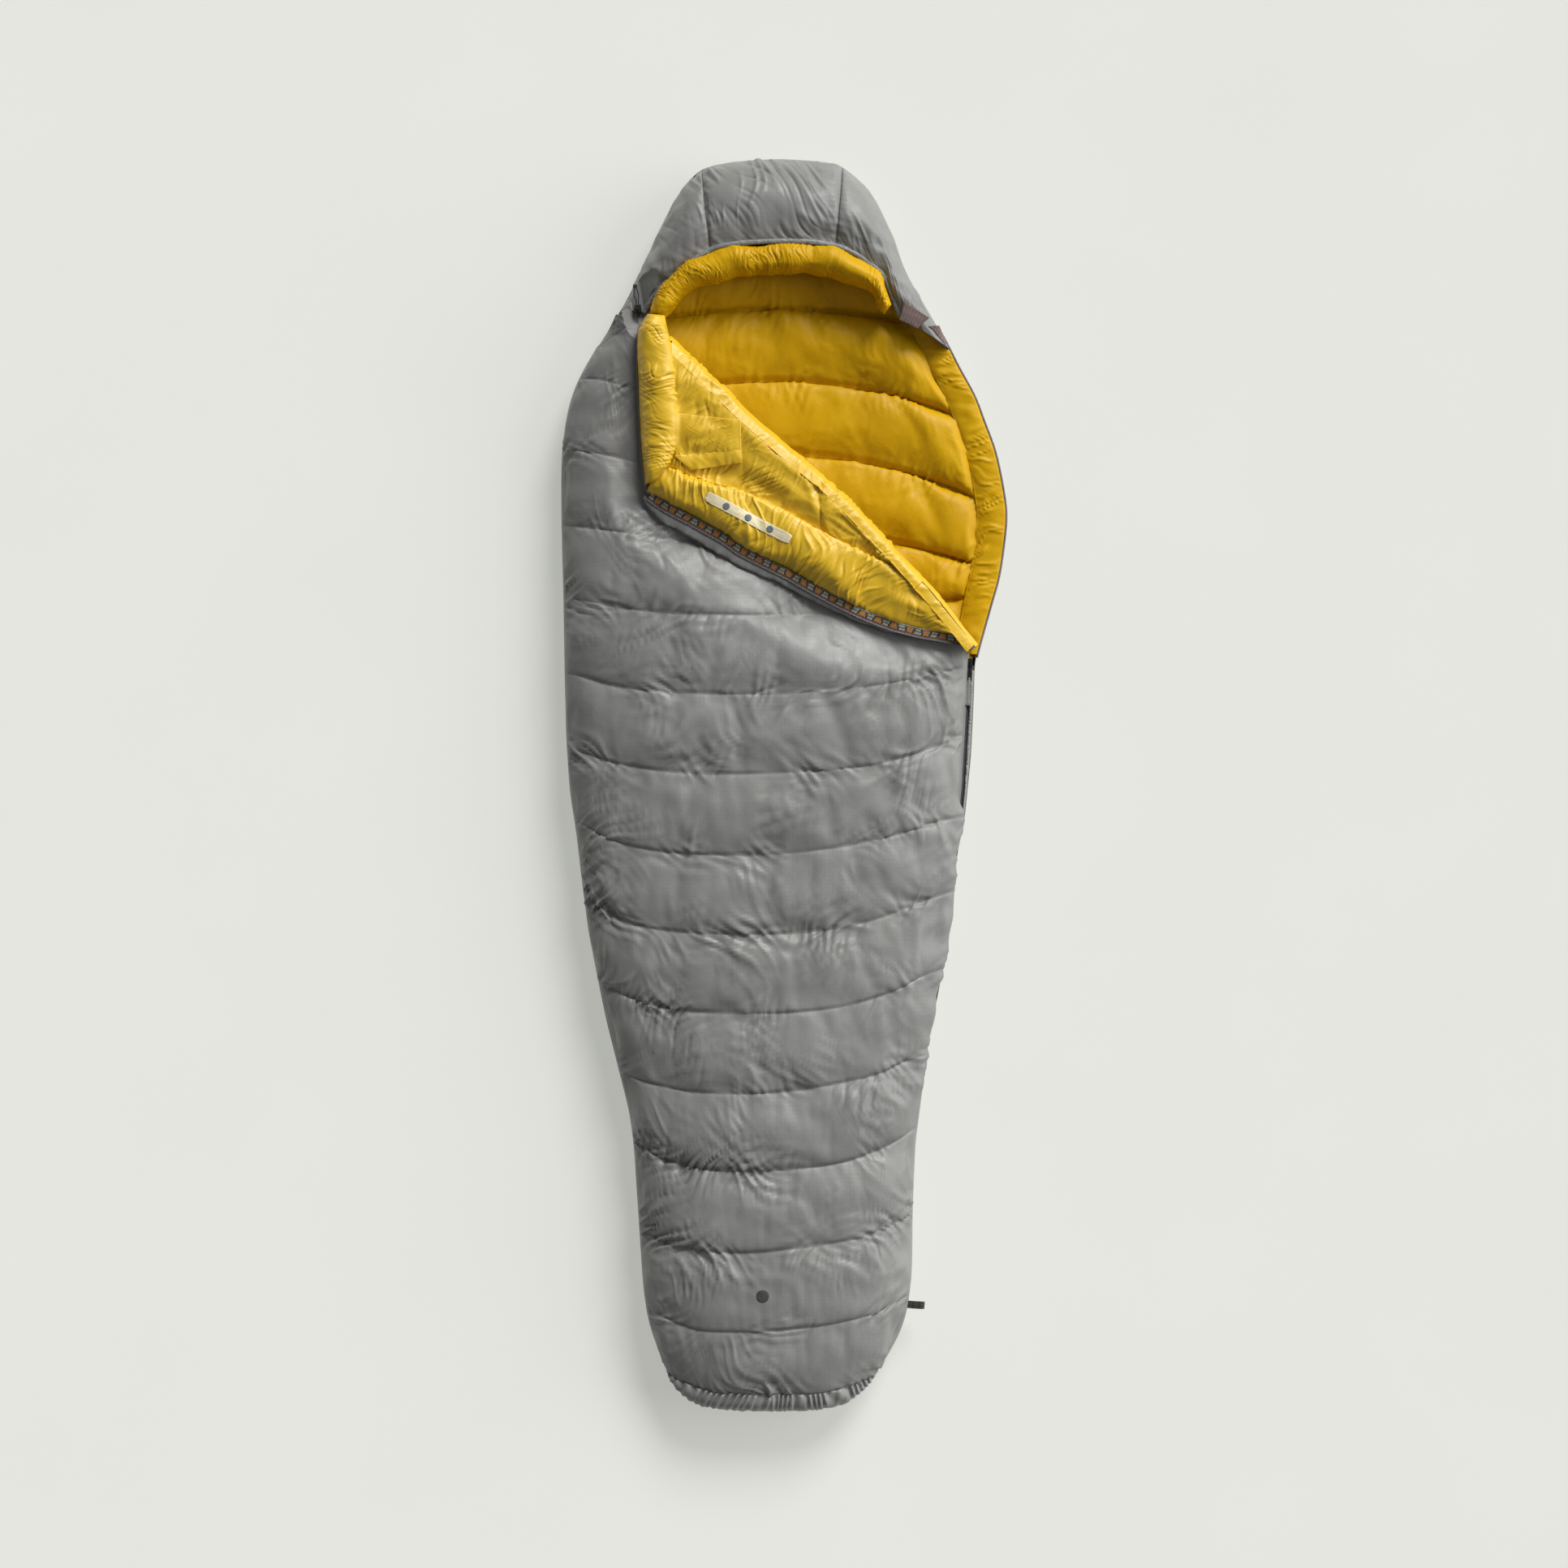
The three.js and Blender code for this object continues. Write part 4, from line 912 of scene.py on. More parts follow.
# the lining stops short of the closed zip, inside the swelling edge of the panel
_rc = np.arange(Q_FRONT.shape[1])[::-1][None, :]
_below = 1 - sstep(150, 205, Q_FRONT[..., 1])
_lim = right_x(Q_FRONT[..., 1]) - 6.5 - 0.6 * _rc
Q_FRONT[..., 0] -= np.maximum(0, Q_FRONT[..., 0] - _lim) * _below
_jl = np.arange(Q_FRONT.shape[1])[None, :]
Q_FRONT[..., 0] = np.maximum(Q_FRONT[..., 0], edge_l(np.clip(Q_FRONT[..., 1], -1016, 999.6)) + 4.0 + 0.5 * _jl)
Q_FRONT = hollow(Q_FRONT, 72.0, 15.0)
_jj = np.minimum(np.arange(Q_FRONT.shape[1]), np.arange(Q_FRONT.shape[1])[::-1])[None, :]
Q_FRONT[..., 2] = np.minimum(Q_FRONT[..., 2], np.maximum(Z_FLOOR - 4.0 * np.minimum(1, _jj / 3.0), 50.5))
fl = sheet_mesh("front_lining_fabric", up(Q_FRONT, 2, 1), flip=True)
solidify(fl, 0.0007)
set_mat(fl, M["lining"])
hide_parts("front_lining")
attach(fl, "root")

T_ = P_FRONT[::2].copy()
N_ = normals(T_)
T_ = T_ - N_ * 5.5
B_ = Q_FRONT + np.array([0, 0, 1.6])
T_[..., :2] = B_[..., :2]
T_[..., 2] = np.maximum(np.minimum(T_[..., 2], P_FRONT[::2][..., 2] - 5.0) - 3.0, B_[..., 2] + 0.3)
T_ = hollow(T_, 73.5, 16.0)
T_[..., 2] = np.minimum(T_[..., 2], Z_FLOOR - 2.4)
T_[..., 2] = np.maximum(T_[..., 2], B_[..., 2] + 0.2)
fd = closed_mesh("front_down_fill", T_[:-14, 18:-18], B_[:-14, 18:-18])
set_mat(fd, M["down"])
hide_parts(*["front_down_chamber_%02d" % k for k in range(1, 15)])
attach(fd, "root")


# ----------------------------------------------------------------------------
# the back half
FOOT_ARC = np.array([(-203, -1016), (-196, -1030), (-184.8, -1044.4), (-165, -1062.6), (-145.6, -1071.5), (-99.4, -1078.6), (-60, -1080.4), (-20, -1080.8), (20, -1080.2), (58.8, -1078.8), (98, -1072.0), (116, -1062), (138.6, -1044.4), (152, -1030), (161, -1016.4)], float)
HEAD_ARC = np.array([(-194.6, 999.6), (-186, 1014), (-172, 1034), (-158, 1050), (-143, 1062.0), (-120, 1070), (-85.4, 1076.0), (-50, 1079), (-12.6, 1080.6), (20, 1079.6), (47.6, 1077.6), (75, 1074.5), (94, 1070.5), (108, 1062), (124, 1049), (142.8, 1031.8), (154, 1016), (163.8, 999.6)], float)


def arc_at(arc, u):
    """Points at equal fractions of the arc's length."""
    seg = np.r_[0, np.cumsum(np.linalg.norm(np.diff(arc, axis=0), axis=1))]
    q = np.asarray(u) * seg[-1]
    return np.stack([np.interp(q, seg, arc[:, 0]), np.interp(q, seg, arc[:, 1])], -1)


def smooth_path(p, step, sigma, closed=False):
    """Resampled every step mm and rounded with a Gaussian of sigma mm, ends kept."""
    p = np.asarray(p, float)
    seg = np.r_[0, np.cumsum(np.linalg.norm(np.diff(p, axis=0), axis=1))]
    n = max(4, int(round(seg[-1] / step)))
    q = np.linspace(0, seg[-1], n + 1)
    out = np.stack([np.interp(q, seg, p[:, i]) for i in range(p.shape[1])], -1)
    r = sigma / (seg[-1] / n)
    if r > 0.3:
        r = max(1, int(round(r)))
        r = min(r, (n - 1) // 3)
        if r >= 1:
            out = np.stack([smooth1(out[:, i], r) for i in range(out.shape[1])], -1)
    return out


_y = np.arange(-1016, 1000, 8.0)
OUTLINE = np.concatenate([np.stack([edge_r(_y), _y], 1), HEAD_ARC[::-1], np.stack([edge_l(_y[::-1]), _y[::-1]], 1), FOOT_ARC[1:-1]])

BACK_ARCS = [(365, 70), (470, 98), (616, 80), (792, 28), (925, 12)]


def back_lines(n):
    """Quilting lines of the back, as rows of n points; each row spans the outline."""
    u = np.linspace(0, 1, n)
    s = 2 * u - 1
    rows = []
    for k in range(1, 11):
        p = seam_curve(k)
        l, r = edge_l(p[0, 1]), edge_r(p[-1, 1])
        x = l + (r - l) * u
        y = smooth1(np.interp(x, np.linspace(l, r, 60), smooth1(np.interp(np.linspace(l, r, 60), p[:, 0], p[:, 1]), 3)), 2)
        rows.append(np.stack([x, y], 1))
    for e, rise in BACK_ARCS:
        y = e + rise * (1 - s ** 2)
        l, r = edge_l(e), edge_r(e)
        rows.append(np.stack([l + (r - l) * u, y], 1))
    foot = arc_at(FOOT_ARC, u)
    head = arc_at(HEAD_ARC, u)
    return np.array([foot] + rows + [head])


def back_xy(per, ncols, mix=0.35):
    u = cos_cols(ncols, mix)
    L = back_lines(161)
    idx = u * 160
    i = np.minimum(idx.astype(int), 159)
    f = (idx - i)[None, :, None]
    L = L[:, i] * (1 - f) + L[:, i + 1] * f
    ts = chamber_ts(len(L), per, 0.45)
    XY = resample_rows(L, ts)
    n = len(ts)
    # rows between the arcs at the two ends are left as blended; the others are fitted to the outline
    for r in range(n):
        if 1.0 <= ts[r] <= len(L) - 2:
            x, y = XY[r, :, 0], XY[r, :, 1]
            for _ in range(3):
                xl, xr = edge_l(y[0]), edge_r(y[-1])
                w = (x - x[0]) / (x[-1] - x[0])
                x = xl + w * (xr - xl)
            XY[r, :, 0] = x
        elif 0 < ts[r] < len(L) - 1:
            # beyond the outermost seams the ends still follow the side seams
            x, y = XY[r, :, 0], XY[r, :, 1]
            w = (x - x[0]) / (x[-1] - x[0])
            ya, yb = np.clip(y[0], -1016, 999.6), np.clip(y[-1], -1016, 999.6)
            XY[r, :, 0] = x + (edge_l(ya) - x[0]) * (1 - w) + (edge_r(yb) - x[-1]) * w
    return XY, ts


def back_bottom():
    XY, ts = back_xy(11, 96, 0.6)
    x, y = XY[..., 0], XY[..., 1]
    d = -poly_sd(x, y, OUTLINE)
    D = 46.0
    q = np.clip(1 - d / D, 0, 1)
    z = 52 * (1 - (1 - q ** 2.3) ** (1 / 2.3))
    f = ts - np.floor(ts)
    c = np.power(np.clip(4 * f * (1 - f), 0, 1), 0.5)[:, None]
    inner = 1 - q
    z = z + (1 - c) * 9.0 * np.clip(inner, 0, 1) ** 0.7 + 0.8
    P = np.stack([x, y, z], -1)
    return P, ts, q


P_BACK, TB, QB = back_bottom()


def back_bottom_fine():
    P = up(P_BACK, 2, 2)
    idx = np.linspace(0, len(TB) - 1, P.shape[0])
    tf = np.interp(idx, np.arange(len(TB)), TB)
    d, k = seam_dist(tf, P)
    x, y = P[..., 0], P[..., 1]
    q = up(QB[..., None], 2, 2)[..., 0]
    kk = k[:, None] * np.ones(P.shape[1])[None, :]
    N = -normals(P)
    wall = np.clip(np.clip(q, 0, 1) * 1.6, 0, 1)
    a = 1.1 * noise(y / 19 + 3, x / 160, 33) * wall + 0.9 * noise(y / 8.5, x / 60 + 2, 34) * wall
    a = a + 1.6 * noise(x / 60, y / 45, 35) * 0.6
    g = noise(x / 8.0 + 31 * kk, d / 60.0, 36)
    a = a + 0.8 * g * np.exp(-d / 14) * np.minimum(1, d / 2) - 1.3 * np.exp(-(d / 2.2) ** 2)
    edge = np.ones(P.shape[:2])
    for m in (0, 1, 2, 3):
        edge[m], edge[-1 - m] = np.minimum(edge[m], m / 4.0), np.minimum(edge[-1 - m], m / 4.0)
        edge[:, m], edge[:, -1 - m] = np.minimum(edge[:, m], m / 4.0), np.minimum(edge[:, -1 - m], m / 4.0)
    P = P + N * (a * edge)[..., None]
    P[..., 2] = np.maximum(P[..., 2], 0.4)
    return P


P_BF = back_bottom_fine()
back = sheet_mesh("back_shell_fabric", P_BF, flip=True)
solidify(back, 0.0008)
set_mat(back, M["shell"])
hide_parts("back_shell")
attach(back, "root")


# inside of the back half
def lining_surface(per, ncols):
    XY, ts = back_xy(per, ncols, 0.4)
    x, y = XY[..., 0], XY[..., 1]
    d = -poly_sd(x, y, OUTLINE)
    f = ts - np.floor(ts)
    c = np.power(np.clip(4 * f * (1 - f), 0, 1), 0.5)
    # chambers lean: the crown lies nearer the head side of each chamber
    fs = np.power(np.clip(f, 0, 1), 0.85)
    c = np.power(np.clip(4 * fs * (1 - fs), 0, 1), 0.5)[:, None]
    inner = sstep(6, 60, d)
    base = 49.5 - 13.5 * inner
    high = 23.0 * c * sstep(4, 40, d)
    z = base + high
    # beside the open zip the chambers end at the facing strip's seam
    strip = edge_r(y) - x
    in_open = sstep(215, 260, y) * (1 - sstep(800, 850, y))
    w = in_open * (1 - sstep(46, 66, strip))
    z = z * (1 - w) + 48.5 * w
    z = z + 5.0 * in_open * c * np.exp(-((strip - 92) / 34) ** 2)
    # the outermost edge tucks in behind the side seam
    n_ = x.shape[1]
    j = np.minimum(np.arange(n_), np.arange(n_)[::-1])
    side = np.where(np.arange(n_) < n_ / 2, 1.0, -1.0)
    x = x + (side * 5.0 * (1 - np.minimum(1, j / 8.0)))[None, :]
    y = y + (3.0 * (1 - sstep(0, 10, np.arange(len(ts)))) - 3.0 * (1 - sstep(0, 10, np.arange(len(ts))[::-1])))[:, None]
    z = z - 1.5 * (1 - sstep(0, 12, d))
    return np.stack([x, y, z], -1), ts, strip, in_open


P_LIN0, TL, STRIPD, INOPEN = lining_surface(13, 104)
pinl = np.zeros(P_LIN0.shape[:2])
pinl[np.abs(TL - np.round(TL)) < 1e-6] = 1
pinl[:, 0] = pinl[:, -1] = 1
pinl[0] = pinl[-1] = 1
pinl = np.maximum(pinl, (STRIPD < 50) * (INOPEN > 0.2) * 1.0)
# only the rows that show in the opening are blown up
r0 = int(np.argmin(np.abs(TL - 10.0)))
sub = slice(r0, len(TL))
P_LIN = P_LIN0.copy()
P_LIN[sub] = puff(P_LIN0[sub], pinl[sub], frames=16, pressure=1.0, grow=0.03, bend=0.08, cap=9.0, share=0.8, soft=1)


def lining_fine():
    P = up(P_LIN, 2, 2)
    idx = np.linspace(0, len(TL) - 1, P.shape[0])
    tf = np.interp(idx, np.arange(len(TL)), TL)
    d, k = seam_dist(tf, P)
    kk = k[:, None] * np.ones(P.shape[1])[None, :]
    m = np.ones(P.shape[:2])
    # long folds that fan out from the seams
    N = normals(P)
    x, y = P[..., 0], P[..., 1]
    near = np.exp(-d / 34.0)
    gate = np.clip(0.35 + 1.1 * noise(x / 95, y / 80, 55), 0, 1.3)
    a = 3.6 * creases(x, y, 120, 19, 0.75, 52, 0.7) * gate * (0.25 + near)
    a = a - 3.2 * creases(x, y, 110, 17, 0.95, 53, 0.7) * np.clip(0.35 + noise(x / 80, y / 90, 56), 0, 1) * (0.25 + near)
    a = a + 2.2 * creases(x, y, 90, 15, 2.3, 54, 0.7) * np.clip(0.2 + noise(x / 90, y / 70, 57), 0, 1)
    a = a + 2.6 * noise(x / 85, y / 60, 58)
    P = P + N * a[..., None]
    P = pucker(P, d, kk, 61, 1.5, 10.0, 18.0, 1.8, 2.4, m)
    return P


P_LF = lining_fine()
P_LF[..., 2] = np.maximum(P_LF[..., 2], 8.0)
lining = sheet_mesh("back_lining_fabric", P_LF)
solidify(lining, 0.0007)
set_mat(lining, M["lining"])
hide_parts("back_lining")
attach(lining, "root")

XYd, TSd = back_xy(4, 40, 0.3)
dd = -poly_sd(XYd[..., 0], XYd[..., 1], OUTLINE)
fdn = TSd - np.floor(TSd)
cd = np.power(np.clip(4 * fdn * (1 - fdn), 0, 1), 0.5)[:, None]
low = 52 * (1 - (1 - np.clip(1 - (dd - 6) / 46, 0, 1) ** 2.3) ** (1 / 2.3)) + 3 + (1 - cd) * 9
upz = 41 - 14 * sstep(6, 60, dd) + 9 * cd * sstep(4, 40, dd)
low = np.minimum(low, upz - 1.0)
ins = slice(4, -4)
bd = closed_mesh("back_down_fill", np.stack([XYd[..., 0], XYd[..., 1], upz], -1)[2:-2, ins], np.stack([XYd[..., 0], XYd[..., 1], low], -1)[2:-2, ins])
set_mat(bd, M["down"])
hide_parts(*["back_down_" + k for k in ("foot", "calf", "thigh", "hip", "chest", "head")])
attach(bd, "root")


# ----------------------------------------------------------------------------
# foot end: a gathered panel between the front's last seam and the back
def footbox():
    top = P_FS[0]
    n = top.shape[0]
    u = np.linspace(0, 1, n)
    seg = np.r_[0, np.cumsum(np.linalg.norm(np.diff(top[:, :2], axis=0), axis=1))]
    uu = seg / seg[-1]
    out = arc_at(FOOT_ARC, uu)
    rows = []
    nv = 40
    for k in range(nv + 1):
        v = k / nv
        a = v * math.pi / 2
        q = math.sin(a) ** 0.8
        px = top[:, 0] * (1 - q) + out[:, 0] * q
        py = top[:, 1] * (1 - q) + out[:, 1] * q
        pz = 52 + (top[:, 2] - 52) * (math.cos(a) ** 0.62)
        rows.append(np.stack([px, py, pz], 1))
    P = np.array(rows)
    arc = seg[None, :] * np.ones((nv + 1, 1))
    v = np.linspace(0, 1, nv + 1)[:, None]
    live = np.clip((P[..., 2] - 52) / 30, 0, 1)
    N = -normals(P)
    w = 0.7 * noise(v * 0.8, arc / 40, 71)
    g = np.sin(2 * math.pi * (arc / 13.0 + 1.3 * noise(arc / 45, v * 0.5, 72) + 0.5 * w))
    a = 3.4 * g * np.exp(-v / 0.5) * np.minimum(1, v / 0.06) + 1.3 * noise(arc / 9, v * 2.0, 73)
    a = a + 3.0 * np.sin(np.pi * v) ** 0.7 * np.clip(live * 2, 0, 1)
    P = P + N * (a * np.minimum(1, live * 1.5))[..., None]
    return P


P_FOOT = footbox()
fb_ = sheet_mesh("footbox_panel_fabric", up(P_FOOT, 2, 2), flip=True)
solidify(fb_, 0.0009)
set_mat(fb_, M["shell"])
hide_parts("footbox_panel")
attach(fb_, "root")


# ----------------------------------------------------------------------------
# hood
BRIM = np.array([(-243, 812), (-226, 836), (-210, 857), (-181, 880), (-151, 903), (-118, 920), (-72.8, 926.8), (-22.4, 929.6), (29.4, 929.6), (60, 927), (99, 920), (127.4, 905.8), (155.4, 886.2), (171, 875), (182, 847), (195, 816), (203, 800)], float)
BRIM_H = np.array([(0, 0.36), (0.06, 0.5), (0.14, 0.74), (0.22, 0.9), (0.32, 0.98), (0.5, 1.0), (0.68, 0.98), (0.78, 0.9), (0.86, 0.76), (0.94, 0.58), (1.0, 0.45)])
HOOD_OUT = np.array([(-282, 818), (-268, 842), (-246.4, 887.6), (-222.6, 943.6), (-194.6, 999.6), (-172, 1034), (-143, 1062.0), (-120, 1070), (-85.4, 1076.0), (-50, 1079), (-12.6, 1080.6), (20, 1079.6), (47.6, 1077.6), (75, 1074.5), (94, 1070.5), (108, 1062), (124, 1049), (142.8, 1031.8), (163.8, 999.6), (190.4, 943.6), (208.6, 887.6), (240.8, 831.6), (262, 796), (286, 752)], float)
# where the two panel seams meet the brim and the outline, as fractions
BR = smooth_path(BRIM, 4.0, 10.0)
HO = smooth_path(HOOD_OUT, 4.0, 6.0)


def frac_near(path, p):
    seg = np.r_[0, np.cumsum(np.linalg.norm(np.diff(path, axis=0), axis=1))] if len(path) > 1 else None
    return (seg / seg[-1])[int(np.argmin(np.linalg.norm(path - np.array(p), axis=1)))]


BL, BRT = frac_near(BR, (-131, 918)), frac_near(BR, (91, 922))
OL, ORT = frac_near(HO, (-144, 1062)), frac_near(HO, (98, 1070))
NU, NV = 120, 34


def hood_grid(lift=0.0, under=False):
    u = np.linspace(0, 1, NU + 1)
    ub = np.interp(u, [0, 0.34, 0.66, 1], [0, BL, BRT, 1])
    uo = np.interp(u, [0, 0.34, 0.66, 1], [0, OL, ORT, 1])
    ub, uo = smooth1(ub, 2), smooth1(uo, 2)
    b, o = arc_at(BR, ub), arc_at(HO, uo)
    h = np.interp(ub, BRIM_H[:, 0], BRIM_H[:, 1])
    h = smooth1(h, 4)
    v = cos_cols(NV + 1, 0.5)
    P = np.zeros((NV + 1, NU + 1, 3))
    for k, q in enumerate(v):
        P[k, :, :2] = b * (1 - q) + o * q
        if under:
            tuck = 11.0 * sstep(0.5, 1.0, q)
            c_ = np.array([0.0, 880.0])
            away = P[k, :, :2] - c_
            P[k, :, :2] -= tuck * away / np.linalg.norm(away, axis=1, keepdims=True)
            prof = max(0.0, 1 - q ** 3.0) ** 0.6
            P[k, :, 2] = 50.0 + 46 * h * prof
        else:
            # brim at about 118, crown a third of the way back, then round to the side seam
            crown_ = 1 - 0.16 * (1 - sstep(0, 0.35, q)) ** 1.5
            prof = (1 - q ** 2.8) ** (1 / 2.0)
            P[k, :, 2] = 52 + 92 * h * prof * crown_
    return P, u, v


P_HOOD0, HU, HV = hood_grid()
su = np.minimum(np.abs(HU - 0.34), np.abs(HU - 0.66))
seam_cols = (su < 0.5 / NU)
hx, hy = P_HOOD0[..., 0], P_HOOD0[..., 1]
colw = np.linalg.norm(np.gradient(P_HOOD0[..., :2], axis=1), axis=2)
ds = su[None, :] * NU * colw
P_HOOD0[..., 2] -= 5.0 * np.exp(-(ds / 14.0)) * np.clip((P_HOOD0[..., 2] - 52) / 50, 0, 1)
pinh = np.zeros(P_HOOD0.shape[:2])
pinh[:, seam_cols] = 1
pinh[0] = pinh[-1] = 1
pinh[:, 0] = pinh[:, -1] = 1
P_HOOD = puff(P_HOOD0, pinh, frames=16, pressure=1.0, grow=0.025, bend=0.08, cap=8.0, share=0.8, soft=1)


def hood_fine():
    P = up(P_HOOD, 3, 3)
    n = P.shape[1]
    u = np.linspace(0, 1, n)
    s = np.minimum(np.abs(u - 0.34), np.abs(u - 0.66))
    cw = np.linalg.norm(np.gradient(P, axis=1), axis=2)
    d = s[None, :] * (n - 1) * cw
    v = np.linspace(0, 1, P.shape[0])[:, None]
    rw = np.cumsum(np.linalg.norm(np.gradient(P, axis=0), axis=2), axis=0)
    db = rw - rw[0:1]
    de = rw[-1:] - rw
    N = normals(P)
    x, y = P[..., 0], P[..., 1]
    arc = np.cumsum(cw, axis=1)
    a = 1.5 * noise(rw / 9.0, 7.0 * (u[None, :] > 0.5) + d / 50, 81) * np.exp(-d / 14) * np.minimum(1, d / 2) - 1.6 * np.exp(-(d / 2.2) ** 2)
    a = a + 1.6 * noise(arc / 11.0, db / 60, 82) * np.exp(-db / 22)
    a = a + 1.2 * noise(arc / 9.0, de / 60, 83) * np.exp(-de / 16)
    a = a * np.minimum(1, db / 4) * np.minimum(1, de / 4)
    a = a + 2.6 * noise(x / 75, y / 60, 84) * np.minimum(1, db / 20) * np.minimum(1, de / 20)
    # long soft folds that run down from the back edge towards the brim
    fall = np.clip(0.3 + noise(x / 70, y / 60, 87), 0, 1) * np.minimum(1, db / 12) * np.minimum(1, de / 8)
    a = a + (3.4 * creases(x, y, 170, 27, -1.25, 85, 0.5) - 3.0 * creases(x, y, 160, 24, -0.95, 86, 0.5)) * fall
    P = P + N * a[..., None]
    return P


P_HF = hood_fine()


P_HF = hollow(P_HF, 79.5)
cut1, cut2 = int(round(0.34 * (P_HF.shape[1] - 1))), int(round(0.66 * (P_HF.shape[1] - 1)))
for nm, a_, b_ in (("hood_left_panel", 0, cut1), ("hood_centre_panel", cut1, cut2), ("hood_right_panel", cut2, P_HF.shape[1] - 1)):
    o = sheet_mesh(nm + "_fabric", P_HF[:, a_:b_ + 1], flip=False)
    solidify(o, 0.0009)
    set_mat(o, M["shell"])
    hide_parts(nm)
    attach(o, "root")

P_HU, _, _ = hood_grid(under=True)
P_HU = P_HU + normals(P_HU) * (1.6 * noise(P_HU[..., 0] / 24, P_HU[..., 1] / 20, 88))[..., None]
P_HU = hollow(P_HU, 68.0, 16.0)
hl = sheet_mesh("hood_lining_fabric", up(P_HU, 2, 2), flip=True)
solidify(hl, 0.0007)
set_mat(hl, M["lining"])
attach(hl, "root")


# ----------------------------------------------------------------------------
# the fold: lining that rolls over the edge of the front panel
def fold_rows(t, n_off, z):
    """Points at distance t along the fold and n_off inside its outermost reach."""
    t = np.asarray(t, float)
    n = n_edge(t) + n_off
    return np.stack([FOLD_A[0] + FOLD_U[0] * t + FOLD_N[0] * n, FOLD_A[1] + FOLD_U[1] * t + FOLD_N[1] * n, np.broadcast_to(z, t.shape)], -1)


FOLD_T0, FOLD_T1 = 6.0, 752.0
NT = 190
TT = np.linspace(FOLD_T0, FOLD_T1, NT)
ROLL_R, ROLL_TOP, ROLL_LOW = 24.0, 138.0, 87.0


def roll_height(t):
    """The roll lies lower where it runs into the zip, and under the neck."""
    return np.interp(t, [0, 30, 90, 160, 700, 752], [0.42, 0.55, 0.82, 1.0, 1.0, 0.9])


def fold_roll():
    ph = np.linspace(-math.pi / 2, math.pi / 2, 19)
    h = roll_height(TT)
    rows = []
    for p in ph:
        zc = 0.5 * (ROLL_TOP + ROLL_LOW)
        top = 110 + (ROLL_TOP - 110) * h
        low = 110 - (110 - ROLL_LOW) * h
        zz = 0.5 * (top + low) + 0.5 * (top - low) * math.sin(p)
        rows.append(fold_rows(TT, -ROLL_R * 1.0 + ROLL_R * math.cos(p) ** 0.8, zz))
    return np.array(rows)


P_ROLL0 = fold_roll()


def fold_field(t, s):
    """Relief shared by everything that runs over the fold; s is the distance from the roll's top."""
    g_ = np.clip(0.45 + noise(t / 90, s / 80, 96), 0, 1)
    return -3.0 * np.exp(-((t - 391) / 9.0) ** 2) + 2.2 * noise(t / 55, s / 60, 91) + 2.6 * (creases(t, s, 100, 16, 1.2, 94, 0.6) - 0.8 * creases(t, s, 90, 14, 1.65, 95, 0.6)) * g_


def roll_dress(P):
    k = P.shape[0]
    N = normals(P)
    N = N * np.sign(np.mean(N[2 * k // 3:, :, 2]))
    v = np.linspace(0, 1, k)[:, None]
    t = np.linspace(FOLD_T0, FOLD_T1, P.shape[1])[None, :]
    w = np.minimum(1, v / 0.2)
    off_ = fold_n(P[..., 0], P[..., 1]) - n_edge(t_of(P[..., 0], P[..., 1]))
    a = fold_field(t_of(P[..., 0], P[..., 1]), np.where(v < 0.5, -ROLL_R - (0.5 - v) * 70.0, -off_ - ROLL_R))
    # drawn in where the flap's short seam meets the fold
    return P + N * (a * w)[..., None]


P_ROLL = roll_dress(up(P_ROLL0, 2, 2))
P_ROLL = P_ROLL[:int(round(0.79 * P_ROLL.shape[0]))]      # the flap's own lining takes over from here
roll = sheet_mesh("fold_lining_roll", P_ROLL, flip=True)
set_mat(roll, M["lining_lit"])
m_ = solidify(roll, 0.0007, 1.0)

# the shell inside the fold, creased along the hinge line
cr_rows = []
for nn_, zz_ in ((-17.5, 104.4), (-12, 106.5), (-6, 108.7), (-3.0, 110.0), (-6, 111.3), (-12, 112.6), (-17.5, 113.4)):
    lo_ = fold_rows(TT, 0.0, 0.0)
    n_ = n_edge(TT) + nn_
    cr_rows.append(np.stack([FOLD_A[0] + FOLD_U[0] * TT + FOLD_N[0] * n_, FOLD_A[1] + FOLD_U[1] * TT + FOLD_N[1] * n_, np.full(TT.shape, zz_)], -1))
crease = sheet_mesh("fold_shell_crease", up(np.array(cr_rows), 3, 1))
set_mat(crease, M["shell"])
solidify(crease, 0.0006)


def resample_path(p, fr):
    seg = np.r_[0, np.cumsum(np.linalg.norm(np.diff(p, axis=0), axis=1))]
    q = np.asarray(fr) * seg[-1]
    return np.stack([np.interp(q, seg, p[:, i]) for i in range(p.shape[1])], -1)


# edges of the flap's pieces, right to left
TOP_ROW = P_ROLL[-1]                      # where the roll ends on top of the flap
D_PTS = np.array([(250.6, 340), (205, 360), (170, 380), (133, 398.5), (95, 418), (54.6, 439.6), (20, 458), (-14, 475), (-74.2, 501.2), (-126, 516.6), (-168, 530.6), (-192, 543), (-212, 549)], float)
ZIP_FULL = np.concatenate([np.array([(316, 243.5), (296, 249), (268, 254.5)]), ZIP_EDGE[::-1]])
ZIPC = smooth_path(ZIP_FULL, 4.0, 9.0)

# --- quilt between the fold and the draft tube
NA, NB = 120, 44
ta = np.linspace(150.0, 742.0, NA + 1)
F_SIDE = fold_rows(ta, -ROLL_R, ROLL_TOP * 1.0)
F_SIDE[:, 2] = 110 + (ROLL_TOP - 110) * roll_height(ta)
D_SM = smooth_path(D_PTS, 4.0, 12.0)
